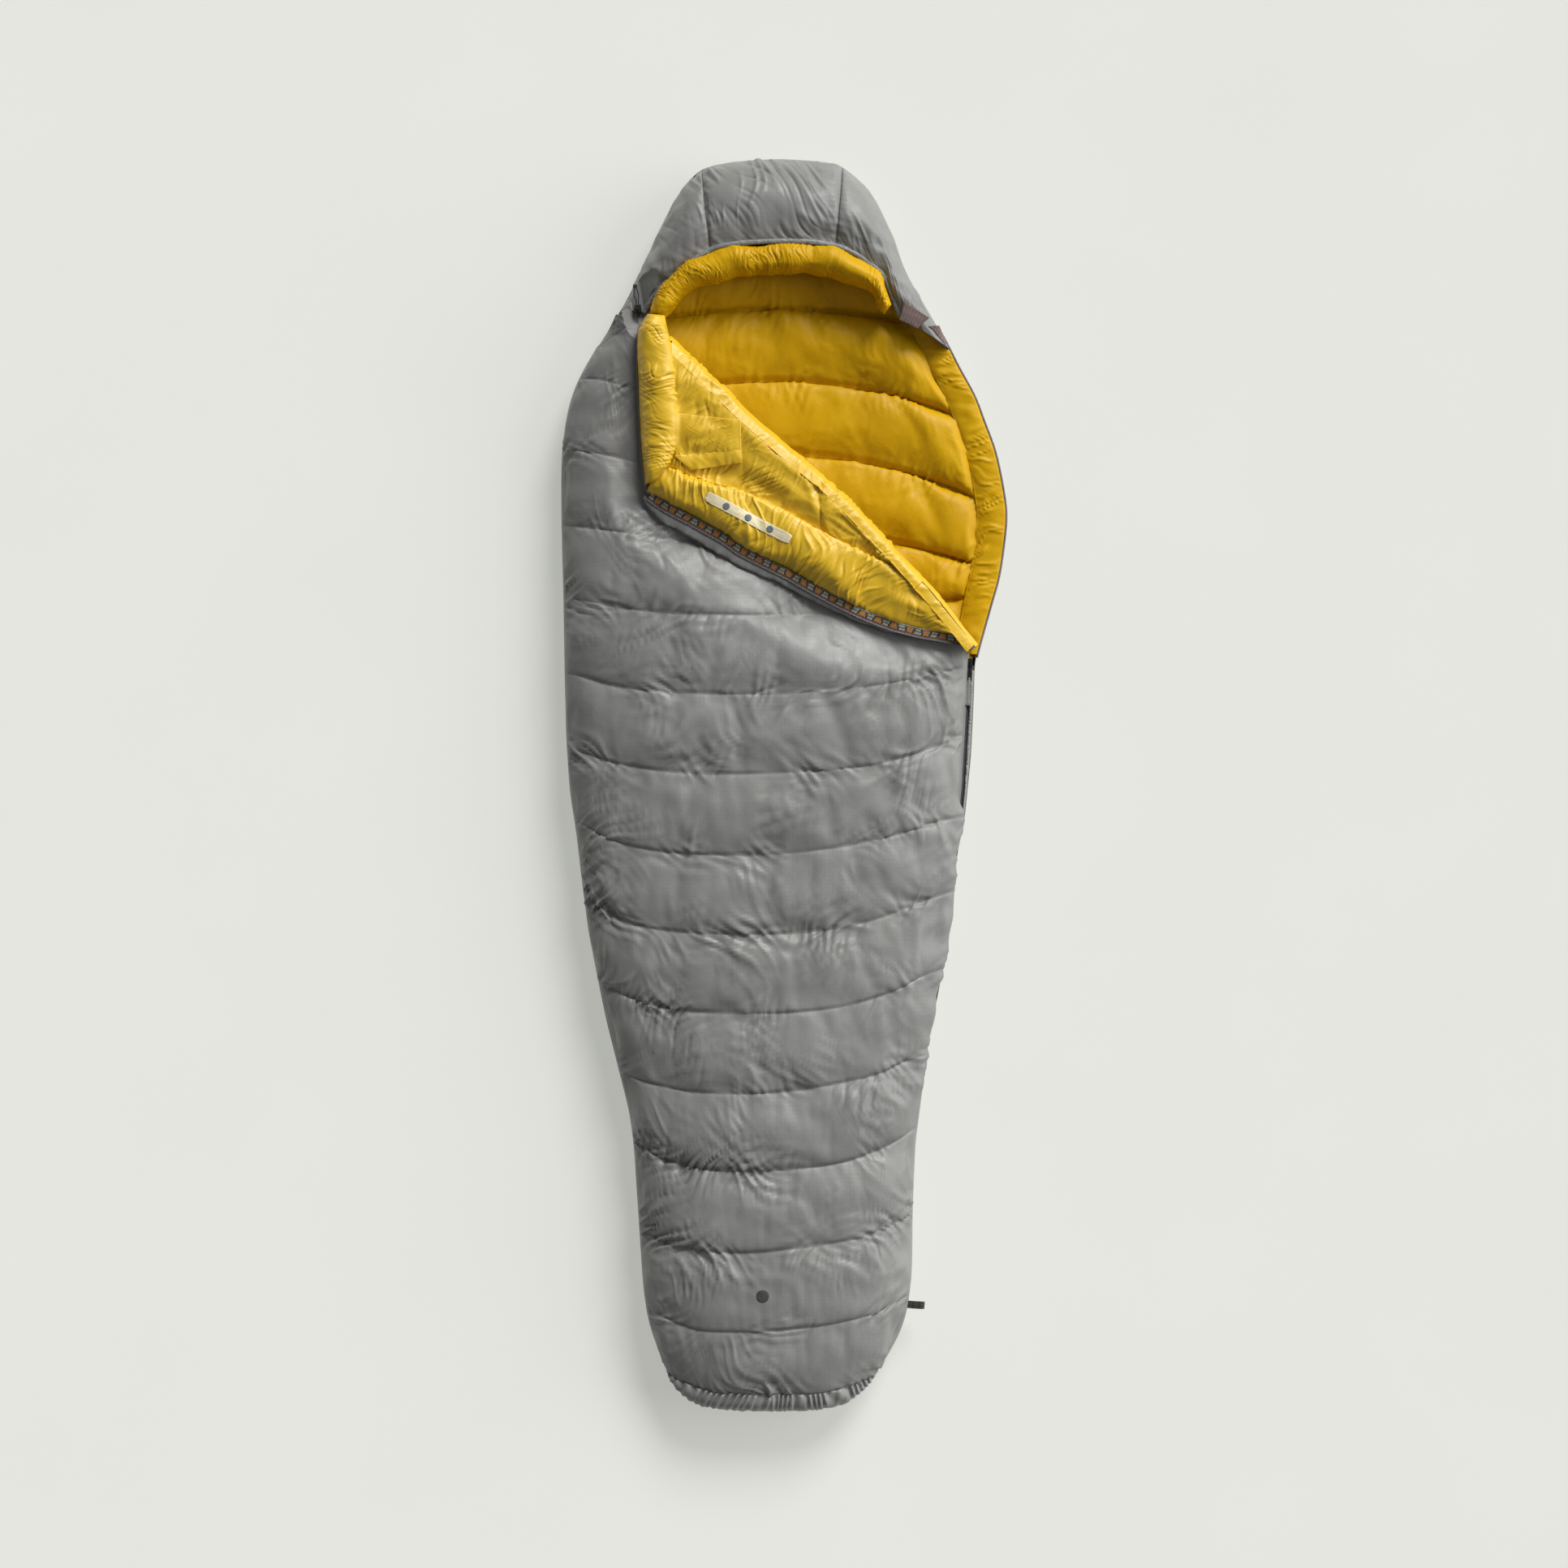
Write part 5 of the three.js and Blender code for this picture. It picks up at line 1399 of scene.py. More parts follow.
# the seam stays on the flap's side of the fold's top
_over = np.maximum(0.0, fold_n(D_SM[:, 0], D_SM[:, 1]) - (n_edge(t_of(D_SM[:, 0], D_SM[:, 1])) - ROLL_R - 2.5))
D_SM = D_SM - np.array([FOLD_N[0], FOLD_N[1]])[None, :] * _over[:, None]
D_SIDE = resample_path(D_SM, np.linspace(0.0, 1.0, NA + 1))
P_Q = np.zeros((NB + 1, NA + 1, 3))
vb = cos_cols(NB + 1, 0.6)
for k, q in enumerate(vb):
    P_Q[k, :, :2] = F_SIDE[:, :2] * (1 - q) + D_SIDE * q
width = np.linalg.norm(F_SIDE[:, :2] - D_SIDE, axis=1)
a_ = np.linspace(0, 1, NA + 1)
F_TOP = F_SIDE[:, 2] + 3.4 * np.clip(width / 90.0, 0, 1)
# two seams across: the short one in the middle, and the one by the pocket's side
S1A, S2A = 0.405, 0.70
da = np.minimum(np.abs(a_ - S1A), np.abs(a_ - S2A) * 1.0) * 640.0
full = np.clip(width / 90.0, 0.12, 1)
zb = np.zeros_like(P_Q[..., 2])
for k, q in enumerate(vb):
    arch = math.sin(math.pi * min(1.0, q * 1.04)) ** 0.9 if q < 0.96 else 0.0
    down_ = sstep(0.5, 1.0, q)
    base = F_TOP * (1 - down_) + 129.0 * down_
    pinch = 1 - 0.75 * np.exp(-(da / 16.0) ** 1.2) * np.interp(a_, [0, S1A, 0.55, S2A, 1], [1, 1, 0.6, 0.35, 0.3])
    zb[k] = base + 6.2 * full * arch * pinch - 3.5 * (1 - pinch) * np.minimum(1, q / 0.12)
P_Q[..., 2] = zb
pinq = np.zeros(P_Q.shape[:2])
HEADP = []
for p_ in (math.radians(48), math.radians(60), math.radians(74)):
    zc_, hz_ = 0.5 * (F_SIDE[:, 2] + ROLL_LOW), 0.5 * (F_SIDE[:, 2] - ROLL_LOW)
    hrow = fold_rows(ta, -ROLL_R + ROLL_R * math.cos(p_) ** 0.8 + 0.8, 0.0)
    hrow[:, 2] = zc_ + hz_ * math.sin(p_) + 1.0
    HEADP.append(hrow)
pinq[0] = pinq[-1] = 1
pinq[:, 0] = pinq[:, -1] = 1
pinq[:, int(round(S1A * NA))] = 1
P_QS = puff(P_Q, pinq, flip=True, frames=18, pressure=0.9, grow=0.035, bend=0.10, cap=9.0, share=0.8, soft=2)
fade_q = sstep(0.0, 0.40, vb)[:, None, None]
P_QS = P_Q * (1 - fade_q) + P_QS * fade_q
P_QS[..., 2] = np.clip(P_QS[..., 2], 118, 153)
P_QS = np.concatenate([np.array(HEADP), P_QS])


def flap_quilt_fine():
    P = up(P_QS, 3, 3)
    N = normals(P)
    flipn = np.sign(np.mean(N[..., 2]))
    N = N * flipn
    x, y = P[..., 0], P[..., 1]
    v = np.linspace(0, 1, P.shape[0])[:, None]
    u = np.linspace(0, 1, P.shape[1])[None, :]
    t = t_of(x, y)
    n = fold_n(x, y)
    sj = -(n - n_edge(t)) - ROLL_R                # distance in from the roll's top
    w = np.minimum(1, (1 - v) / 0.06) * np.minimum(1, np.minimum(u, 1 - u) / 0.03)
    near_f = 1 - sstep(4.0, 46.0, sj)
    a = 2.4 * noise(x / 70, y / 70, 101) * (1 - near_f)
    # soft folds that run across the flap, from the fold to the draft tube
    c1 = creases(t, n, 130, 19, 1.15, 102, 0.7) - 0.9 * creases(t, n, 110, 16, 1.45, 103, 0.7)
    a = a + 3.2 * c1 * np.clip(0.4 + noise(x / 100, y / 100, 104), 0, 1) * (1 - 0.8 * near_f)
    a = a + fold_field(t, sj) * near_f
    # gathers out of the draft tube's seam
    dv = (1 - v) * np.maximum(np.interp(u, a_, width), 12)
    a = a + 1.5 * noise(t / 15.0, dv / 90, 106) * np.exp(-dv / 26) * np.minimum(1, dv / 2)
    dd_ = np.abs(u - S1A) * 640
    a = a - 1.6 * np.exp(-(dd_ / 2.3) ** 2) + 1.5 * noise(n / 9.0, dd_ / 50, 107) * np.exp(-dd_ / 15)
    return P + N * (a * w)[..., None]


P_QF = flap_quilt_fine()
quilt = sheet_mesh("flap_lining_fabric", P_QF, flip=True)
solidify(quilt, 0.0007, 1.0)
set_mat(quilt, M["lining_lit"])
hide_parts("flap_lining", "flap_down_upper", "flap_down_lower")


# --- draft tube along the zip
NDT = 170
FT = fold_rows(np.linspace(10.0, 150.0, 60), -ROLL_R, 0)[:, :2]
UP_PATH = np.concatenate([FT, D_SM[3:]])
UP_PATH = smooth_path(UP_PATH, 4.0, 8.0)
fr = np.linspace(0, 1, NDT + 1)
U_ = resample_path(UP_PATH, fr)
Z_ = resample_path(ZIPC, fr)
_zt = np.gradient(Z_, axis=0)
_zt /= np.linalg.norm(_zt, axis=1, keepdims=True)
_zn = np.stack([-_zt[:, 1], _zt[:, 0]], -1)
_zn *= -np.sign(((Z_ - np.array([0, 600])) * _zn).sum(1).mean())
Z_ = Z_ + _zn * np.interp(fr, [0, 0.06, 0.94, 1], [1.0, 6.5, 7.5, 2.0])[:, None]
# the left end closes round to the collar's foot
nv = 26
tube_w = np.linalg.norm(U_ - Z_, axis=1)
hh = np.interp(fr, [0, 0.05, 0.16, 0.35, 0.85, 0.96, 1.0], [0.18, 0.36, 0.62, 0.9, 1.0, 0.8, 0.45])
P_T = np.zeros((nv + 1, NDT + 1, 3))
z_up = 110 + 18.0 * np.interp(fr, [0, 0.06, 0.2, 1], [0.35, 0.6, 1, 1])
z_up = np.where(fr < 0.30, 110 + (ROLL_TOP - 110) * np.interp(fr, [0, 0.30], [0.42, 0.98]) , z_up)
z_up = smooth1(z_up, 5)
for k in range(nv + 1):
    q = k / nv
    th = math.pi * q
    pos = 0.5 - 0.5 * math.cos(th)
    P_T[k, :, :2] = U_ * (1 - pos) + Z_ * pos
    low_ = z_up * (1 - q) + 112.5 * q
    half_ = low_ + 24.0 * hh * max(0.0, math.sin(th)) ** 0.8
    quar_ = 112.5 + (z_up + 1.8 - 112.5) * math.sqrt(max(0.0, 1 - pos ** 2.6)) + 7.0 * hh * math.sin(math.pi * pos) ** 1.5
    wf_ = 1 - sstep(0.25, 0.38, fr)
    P_T[k, :, 2] = quar_ * wf_ + half_ * (1 - wf_)
wf_a = 1 - sstep(0.24, 0.30, fr)
HEADT = []
_un = np.stack([np.full(NDT + 1, FOLD_N[0]), np.full(NDT + 1, FOLD_N[1])], -1)
for p_ in (math.radians(42), math.radians(56), math.radians(72)):
    hr_ = np.zeros((NDT + 1, 3))
    hr_[:, :2] = U_ + _un * ((ROLL_R * math.cos(p_) ** 0.8 + 0.8) * wf_a + 0.4 * math.cos(p_))[:, None]
    low_t = z_up - (z_up - 110) * 1.8
    hr_[:, 2] = (z_up * (1 - (1 - math.sin(p_)) * 0.5) + low_t * (1 - math.sin(p_)) * 0.5 + 1.0) * wf_a + (z_up - 2.0 * math.cos(p_)) * (1 - wf_a)
    HEADT.append(hr_)
pint = np.zeros(P_T.shape[:2])
pint[0] = pint[-1] = 1
pint[:, 0] = pint[:, -1] = 1
P_TS = puff(P_T, pint, flip=True, frames=16, pressure=1.0, grow=0.03, bend=0.10, cap=8.0, share=0.8, soft=2)
P_TS[..., 2] = np.clip(P_TS[..., 2], 111.5, 157)
P_TS = np.concatenate([np.array(HEADT), P_TS])


def tube_fine():
    P = up(P_TS, 3, 3)
    N = normals(P)
    N = N * np.sign(np.mean(N[..., 2]))
    x, y = P[..., 0], P[..., 1]
    v = np.linspace(0, 1, P.shape[0])[:, None]
    u = np.linspace(0, 1, P.shape[1])[None, :]
    w = np.minimum(1, np.minimum(v, 1 - v) / 0.05) * np.minimum(1, np.minimum(u, 1 - u) / 0.015)
    onf = (1 - sstep(0.25, 0.33, u)) * np.ones_like(v)
    v = np.clip((v * (P_TS.shape[0] - 1) - 3) / (P_TS.shape[0] - 4), 0, 1)
    w = np.maximum(w, onf * np.minimum(1, (1 - v) / 0.05) * np.minimum(1, u / 0.015))
    tz = u * 640.0
    wid = np.maximum(np.interp(u, fr, tube_w), 10)
    d1, d2 = v * wid * 1.2, (1 - v) * wid * 1.2
    a = 2.4 * noise(x / 66, y / 66, 111)
    a = a + 1.6 * noise(tz / 15.0 + 0.4 * noise(tz / 30, v, 118), d1 / 90, 112) * np.exp(-d1 / 26) * np.minimum(1, d1 / 2) * (1 - onf)
    a = a + 1.1 * noise(tz / 11.0, d2 / 60, 113) * np.exp(-d2 / 16) * np.minimum(1, d2 / 2)
    t_, n_ = t_of(x, y), fold_n(x, y)
    a = a + 3.0 * (creases(t_, n_, 120, 18, 1.0, 114, 0.7) - 0.9 * creases(t_, n_, 110, 16, 1.35, 115, 0.7)) * np.clip(0.4 + noise(x / 80, y / 80, 116), 0, 1)
    sj = -(n_ - n_edge(t_)) - ROLL_R
    nf_ = onf * (1 - sstep(4.0, 46.0, sj))
    a = a * (1 - nf_) + fold_field(t_, sj) * nf_
    return P + N * (a * w)[..., None]


P_TF = tube_fine()
dt = sheet_mesh("flap_draft_tube_fabric", P_TF, flip=True)
solidify(dt, 0.0007, 1.0)
set_mat(dt, M["lining_lit"])
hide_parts("flap_draft_tube")


# --- collar tube down the neck edge
def pillow_between(L, Rr, z0, z1, zc, n_across=24, ends=0.12, exp_=0.75):
    """Upper face of a stuffed tube between two edge lines, given top to bottom."""
    n = len(L)
    f_ = np.linspace(0, 1, n)
    cap_ = np.clip(np.minimum(f_ / ends, (1 - f_) / ends), 0, 1)
    cap_ = np.sqrt(np.clip(1 - (1 - cap_) ** 2, 0, 1))
    P = np.zeros((n_across + 1, n, 3))
    for k in range(n_across + 1):
        th = math.pi * k / n_across
        pos = 0.5 - 0.5 * math.cos(th)
        P[k, :, :2] = L * (1 - pos) + Rr * pos
        lo = z0 * (1 - pos) + z1 * pos
        P[k, :, 2] = lo + (zc - lo) * (0.25 + 0.75 * cap_) * max(0.0, math.sin(th)) ** exp_
    return P


CL = smooth_path(np.array([(-234, 806), (-244, 795), (-251, 770), (-251, 720), (-249, 682), (-247, 620), (-243, 560), (-238, 512)], float), 5.0, 9.0)
CR = smooth_path(np.array([(-204, 802), (-201, 786), (-196, 765), (-189, 724), (-183, 678), (-181, 640), (-182, 600), (-187, 568), (-196, 548), (-216, 520)], float), 5.0, 9.0)
nn_c = 66
CL, CR = resample_path(CL, np.linspace(0, 1, nn_c)), resample_path(CR, np.linspace(0, 1, nn_c))
P_C = pillow_between(CL, CR, 112.5, 128.0, 153.0, 24, 0.10)
pc = np.zeros(P_C.shape[:2])
pc[0] = pc[-1] = 1
pc[:, 0] = pc[:, -1] = 1
P_CS = puff(P_C, pc, frames=16, pressure=0.9, grow=0.03, bend=0.08, cap=7.0, share=0.8, soft=2)
P_CS[..., 2] = np.minimum(P_CS[..., 2], 161)


def collar_fine():
    P = up(P_CS, 3, 3)
    N = normals(P)
    N = N * np.sign(np.mean(N[..., 2]))
    x, y = P[..., 0], P[..., 1]
    v = np.linspace(0, 1, P.shape[0])[:, None]
    u = np.linspace(0, 1, P.shape[1])[None, :]
    w = np.minimum(1, np.minimum(v, 1 - v) / 0.06) * np.minimum(1, np.minimum(u, 1 - u) / 0.03)
    d1, d2 = v * 70, (1 - v) * 70
    a = 1.8 * noise(x / 50, y / 48, 121)
    a = a + 1.0 * noise(y / 13.0, d1 / 60, 122) * np.exp(-d1 / 14) * np.minimum(1, d1 / 2)
    a = a + 1.6 * noise(y / 14.0, d2 / 70, 123) * np.exp(-d2 / 24) * np.minimum(1, d2 / 2)
    a = a + 2.4 * (creases(x, y, 80, 12, 0.35, 124, 0.7) - 0.8 * creases(x, y, 70, 11, -0.5, 125, 0.7)) * np.clip(0.4 + noise(x / 50, y / 60, 126), 0, 1)
    return P + N * (a * w)[..., None]


P_CF = collar_fine()
col = sheet_mesh("collar_tube_fabric", P_CF, flip=False)
solidify(col, 0.0007, -1.0)
set_mat(col, M["lining_lit"])
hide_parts("collar_tube")


# --- outer shell of the flap, lying on the front; its band shows past the zip
def flap_shell():
    n1, n2 = 150, 60
    t = np.linspace(6.0, 752.0, n1)
    inner = fold_rows(t, -14.0, 113.2)
    Zp = resample_path(ZIPC, np.linspace(0, 1, 200))
    LEFT = np.array([(-240, 506), (-247, 560), (-251, 640), (-253, 700), (-253, 770), (-248, 795)], float)
    outer = smooth_path(np.concatenate([Zp, LEFT]), 4.0, 5.0)
    seg = np.r_[0, np.cumsum(np.linalg.norm(np.diff(outer, axis=0), axis=1))]
    # match outer points to fold points: the corner goes with t about 560
    corner = seg[int(np.argmin(np.linalg.norm(outer - np.array([-238, 503]), axis=1)))]
    q = np.interp(t, [6.0, 560.0, 752.0], [0, corner, seg[-1]])
    o = np.stack([np.interp(q, seg, outer[:, i]) for i in range(2)], -1)
    P = np.zeros((n2 + 1, n1, 3))
    for k in range(n2 + 1):
        b = k / n2
        P[k, :, :2] = inner[:, :2] * (1 - b) + o * b
        P[k, :, 2] = 113.4
    x, y = P[..., 0], P[..., 1]
    b = np.linspace(0, 1, n2 + 1)[:, None]
    ww = np.minimum(1, np.minimum(b, 1 - b) / 0.1)
    # quilted: seams stand away from the front panel, crowns lie on it
    tt = t_of(x, y)
    s = np.zeros_like(x)
    for c in (150.0, 262.0, 374.0, 486.0, 598.0, 700.0):
        s = s + np.exp(-(np.abs(tt - c) / 7.0) ** 1.2)
    P[..., 2] = P[..., 2] - 3.6 * (1 - np.clip(s, 0, 1)) * ww + 0.9 * noise(x / 25, y / 22, 131) * ww
    return P


P_FSH = flap_shell()
fs = sheet_mesh("flap_shell_fabric", up(P_FSH, 2, 2), flip=False)
solidify(fs, 0.0007, 0.0)
set_mat(fs, M["shell"])
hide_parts("flap_shell")


# --- the loft of the flap's shell that bulges out past the zip
def band():
    nb_, m = 220, 18
    f_ = np.linspace(0, 1, nb_)
    Zp = resample_path(ZIPC, f_)
    T_ = np.gradient(Zp, axis=0)
    T_ /= np.linalg.norm(T_, axis=1, keepdims=True)
    Nn = np.stack([-T_[:, 1], T_[:, 0]], -1)
    Nn *= np.sign(((Zp - np.array([0, 600])) * Nn).sum(1).mean())
    wid = np.interp(f_, [0, 0.10, 0.25, 0.5, 0.75, 0.93, 1.0], [2.0, 5, 10, 16, 25, 24, 8])
    wid = wid + 2.2 * noise(f_ * 12, 0.3, 141) * np.clip(wid / 10, 0, 1)
    P = np.zeros((m + 1, nb_, 3))
    for k in range(m + 1):
        th = math.pi * k / m
        off = (wid * 0.82) * math.sin(th) ** 0.85 + 6.5 * np.clip(wid / 12, 0.3, 1)
        P[k, :, :2] = Zp + Nn * off[:, None]
        P[k, :, 2] = 107.0 + 5.0 * math.cos(th) * np.clip(wid / 14, 0.25, 1) ** 0.5 + 0.6
    N = normals(P)
    x = f_[None, :] * 640
    v = np.linspace(0, 1, m + 1)[:, None]
    w = np.sin(math.pi * v)
    a = 1.5 * noise(x / 22, v * 2, 142) + 1.0 * noise(x / 9, v * 1.5, 143)
    return P + N * (a * w * np.clip(wid / 14, 0.1, 1)[None, :])[..., None]


P_BAND = band()
bnd = sheet_mesh("flap_shell_edge", up(P_BAND, 2, 2), flip=False)
solidify(bnd, 0.0007, 0.0)
set_mat(bnd, M["shell"])

for o in (quilt, dt, col, fs, bnd):
    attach(o, "flap")
for o in (roll, crease):
    pass
bpy.context.view_layer.update()


def apply_mods(o):
    dg = bpy.context.evaluated_depsgraph_get()
    me = bpy.data.meshes.new_from_object(o.evaluated_get(dg))
    o.modifiers.clear()
    old = o.data
    o.data = me
    bpy.data.meshes.remove(old)


for o in (roll, crease):
    apply_mods(o)
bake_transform(roll)
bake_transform(crease)


# --- face tube round the hood's mouth
FB = smooth_path(np.array([(-230, 803), (-228, 820), (-217, 842), (-201, 861), (-180, 880), (-150, 899), (-118, 914), (-72.8, 921), (-22.4, 923.5), (29.4, 923.5), (60, 921), (97, 914), (125, 900), (150, 884), (166, 868), (176, 846), (184, 822)], float), 5.0, 9.0)
FI = smooth_path(np.array([(-205, 800), (-199, 804), (-183, 821), (-165, 838), (-152, 850), (-120, 856), (-81, 866), (-33.6, 869.4), (29.4, 872), (92.4, 862.4), (120, 855), (140, 846), (152, 836), (162, 824), (172, 808)], float), 5.0, 9.0)
nf = 130
FB, FI = resample_path(FB, np.linspace(0, 1, nf)), resample_path(FI, np.linspace(0, 1, nf))
P_F = pillow_between(FB, FI, 112.0, 96.0, 137.0, 26, 0.07, 0.8)
# the tube turns under at its inner edge
m_ = P_F.shape[0]
low_rows = []
for k in range(1, 8):
    q = k / 7
    row = P_F[-1].copy()
    mid = (FB + FI) / 2
    row[:, :2] = FI * (1 - q * 0.55) + mid * (q * 0.55)
    row[:, 2] = 96.0 - 13.0 * math.sin(q * math.pi / 2)
    low_rows.append(row)
P_F = np.concatenate([P_F, np.array(low_rows)])
pf = np.zeros(P_F.shape[:2])
pf[0] = pf[-1] = 1
pf[:, 0] = pf[:, -1] = 1
P_FT = puff(P_F, pf, frames=16, pressure=1.0, grow=0.05, bend=0.06, cap=7.0, share=0.8, soft=2)


def face_fine():
    P = up(P_FT, 3, 3)
    N = normals(P)
    N = N * np.sign(np.mean(N[: P.shape[0] // 2, :, 2]))
    x, y = P[..., 0], P[..., 1]
    v = np.linspace(0, 1, P.shape[0])[:, None]
    u = np.linspace(0, 1, P.shape[1])[None, :]
    L = u * 620
    w = np.minimum(1, np.minimum(v, 1 - v) / 0.05) * np.minimum(1, np.minimum(u, 1 - u) / 0.02)
    d1 = v * 90
    a = 4.6 * noise(L / 52, v * 1.3, 151) + 1.5 * noise(L / 19.0, v * 0.9, 152) * np.exp(-d1 / 30) * np.minimum(1, d1 / 2)
    a = a + 1.8 * (creases(L, d1, 50, 10, 1.3, 153, 0.6) - creases(L, d1, 45, 9, 1.8, 154, 0.6)) * np.clip(0.5 + noise(L / 60, v, 155), 0, 1)
    return P + N * (a * w)[..., None]


P_FF = face_fine()
ft_ = sheet_mesh("hood_face_tube_fabric", P_FF, flip=False)
solidify(ft_, 0.0007, 0.0)
set_mat(ft_, M["lining"])
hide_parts("hood_face_tube")
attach(ft_, "root")


# --- channel for the drawcord along the brim
def path_frames(p):
    T = np.gradient(p, axis=0)
    T /= np.linalg.norm(T, axis=1, keepdims=True)
    upv = np.array([0, 0, 1.0])
    S = np.cross(T, upv)
    S /= np.linalg.norm(S, axis=1, keepdims=True)
    U = np.cross(S, T)
    return T, S, U


def tube_mesh(name, p, ra, rb, sides=14, wob=0.0, seed=0, closed_ends=True, power=1.0):
    """A tube with an elliptical section, ra across and rb high, along points p in mm."""
    p = np.asarray(p, float)
    T, S, U = path_frames(p)
    n = len(p)
    ra = np.broadcast_to(ra, (n,)).astype(float)
    rb = np.broadcast_to(rb, (n,)).astype(float)
    L = np.r_[0, np.cumsum(np.linalg.norm(np.diff(p, axis=0), axis=1))]
    V = []
    for k in range(sides):
        a = 2 * math.pi * k / sides
        c, s = math.cos(a), math.sin(a)
        c, s = math.copysign(abs(c) ** power, c), math.copysign(abs(s) ** power, s)
        r = 1 + wob * noise(L / 7.0, k * 0.7, seed) if wob else 1.0
        V.append(p + S * (ra * c * r)[:, None] + U * (rb * s * r)[:, None])
    V = np.array(V).transpose(1, 0, 2)          # n, sides, 3
    verts = list(V.reshape(-1, 3))
    faces = []
    for i in range(n - 1):
        for k in range(sides):
            k2 = (k + 1) % sides
            faces.append([i * sides + k, i * sides + k2, (i + 1) * sides + k2, (i + 1) * sides + k])
    if closed_ends:
        verts.append(p[0])
        verts.append(p[-1])
        c0, c1 = len(verts) - 2, len(verts) - 1
        for k in range(sides):
            k2 = (k + 1) % sides
            faces.append([c0, k2, k])
            faces.append([c1, (n - 1) * sides + k, (n - 1) * sides + k2])
    return make_mesh(name, np.array(verts), faces)


bp = P_HF[0].copy()
bp = np.stack([np.interp(np.linspace(0, 1, 340), np.linspace(0, 1, len(bp)), bp[:, i]) for i in range(3)], -1)
bp = np.stack([smooth1(bp[:, i], 3) for i in range(3)], -1)
bp[:, 2] += 0.5
binding = tube_mesh("hood_brim_channel", bp, 4.4, 2.9, 16, 0.24, 161)
set_mat(binding, M["shell"])
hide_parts("hood_brim_binding")
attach(binding, "root")


# --- facing strip beside the open half of the zip
def facing():
    n1, m = 170, 14
    y = np.linspace(224, 800, n1)
    xo = edge_r(y) - 0.6
    wid = np.interp(y, [224, 240, 280, 340, 700, 770, 800], [12, 26, 44, 50, 50, 48, 44])
    P = np.zeros((m + 1, n1, 3))
    for k in range(m + 1):
        q = k / m
        P[k, :, 0] = xo - wid * q
        P[k, :, 1] = y
        P[k, :, 2] = 53.4 + 4.2 * math.sin(math.pi * min(1, q * 1.05)) ** 0.7 - 3.0 * q
    q_ = np.linspace(0, 1, m + 1)[:, None]
    dia = 2.4 * creases(P[..., 0] * 1.0, P[..., 1], 90, 17, 0.35, 173, 0.5) + 1.6 * noise(y[None, :] / 15.0 + 1.2 * q_, q_ * 0.7, 174) * np.exp(-((q_ - 1) / 0.35) ** 2)
    a = dia + 1.9 * noise(y[None, :] / 30.0, np.linspace(0, 1, m + 1)[:, None] * 1.3, 171) + 0.7 * noise(y[None, :] / 12.0, np.linspace(0, 1, m + 1)[:, None] * 1.2, 172)
    w = np.sin(np.linspace(0, 1, m + 1) * math.pi)[:, None] ** 0.5
    P[..., 2] += a * w
    return P


P_FAC = facing()
fac = sheet_mesh("zip_facing_fabric", up(P_FAC, 3, 2), flip=True)
solidify(fac, 0.0008, 0.0)
set_mat(fac, M["lining"])
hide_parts("zip_facing_strip")
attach(fac, "root")


# ----------------------------------------------------------------------------
# small parts
from mathutils import Vector
from mathutils.bvhtree import BVHTree


def bvh(*objs):
    V, F, off = [], [], 0
    for o in objs:
        co = np.zeros(len(o.data.vertices) * 3)
        o.data.vertices.foreach_get("co", co)
        co = co.reshape(-1, 3)
        V += [tuple(c) for c in co]
        for p in o.data.polygons:
            F.append([v + off for v in p.vertices])
        off += len(co)
    return BVHTree.FromPolygons(V, F)


def drop(tree, x, y, default):
    h = tree.ray_cast(Vector((x * MM, y * MM, 0.4)), Vector((0, 0, -1)))
    return h[0].z / MM if h[0] is not None else default


def conform(tree, XY, lift, default=140.0, blur=0, over=0.0):
    near_ = [(0, 0)] + ([(over, 0), (-over, 0), (0, over), (0, -over)] if over else [])
    Z = np.array([[max([drop(tree, x + a, y + b, -1e3) for a, b in near_]) for x, y in row] for row in XY])
    Z[Z < -500] = np.nan
    m = np.isnan(Z)
    Z[m] = np.nanmean(Z) if not m.all() else default
    for _ in range(blur):
        A = np.pad(Z, 1, mode="edge")
        Z = 0.5 * Z + 0.125 * (A[:-2, 1:-1] + A[2:, 1:-1] + A[1:-1, :-2] + A[1:-1, 2:])
    return np.dstack([XY, Z + lift])


def quad_grid(a, b, c, d, nu, nv):
    """Points over the quadrilateral a b c d, a to b along u, a to d along v."""
    a, b, c, d = (np.array(p, float) for p in (a, b, c, d))
    u = np.linspace(0, 1, nu + 1)[None, :, None]
    v = np.linspace(0, 1, nv + 1)[:, None, None]
    return a * (1 - u) * (1 - v) + b * u * (1 - v) + c * u * v + d * (1 - u) * v


def thick(name, P, t, lift_rim=0.0):
    """A closed plate of thickness t under the grid P."""
    N = normals(P)
    if N[..., 2].mean() < 0:
        P = P[:, ::-1]
        N = normals(P)
    return closed_mesh(name, P, P - N * t, dist=1e-6)


def px(x, y):
    return ((x - 966) * 1.4, (966 - y) * 1.4)


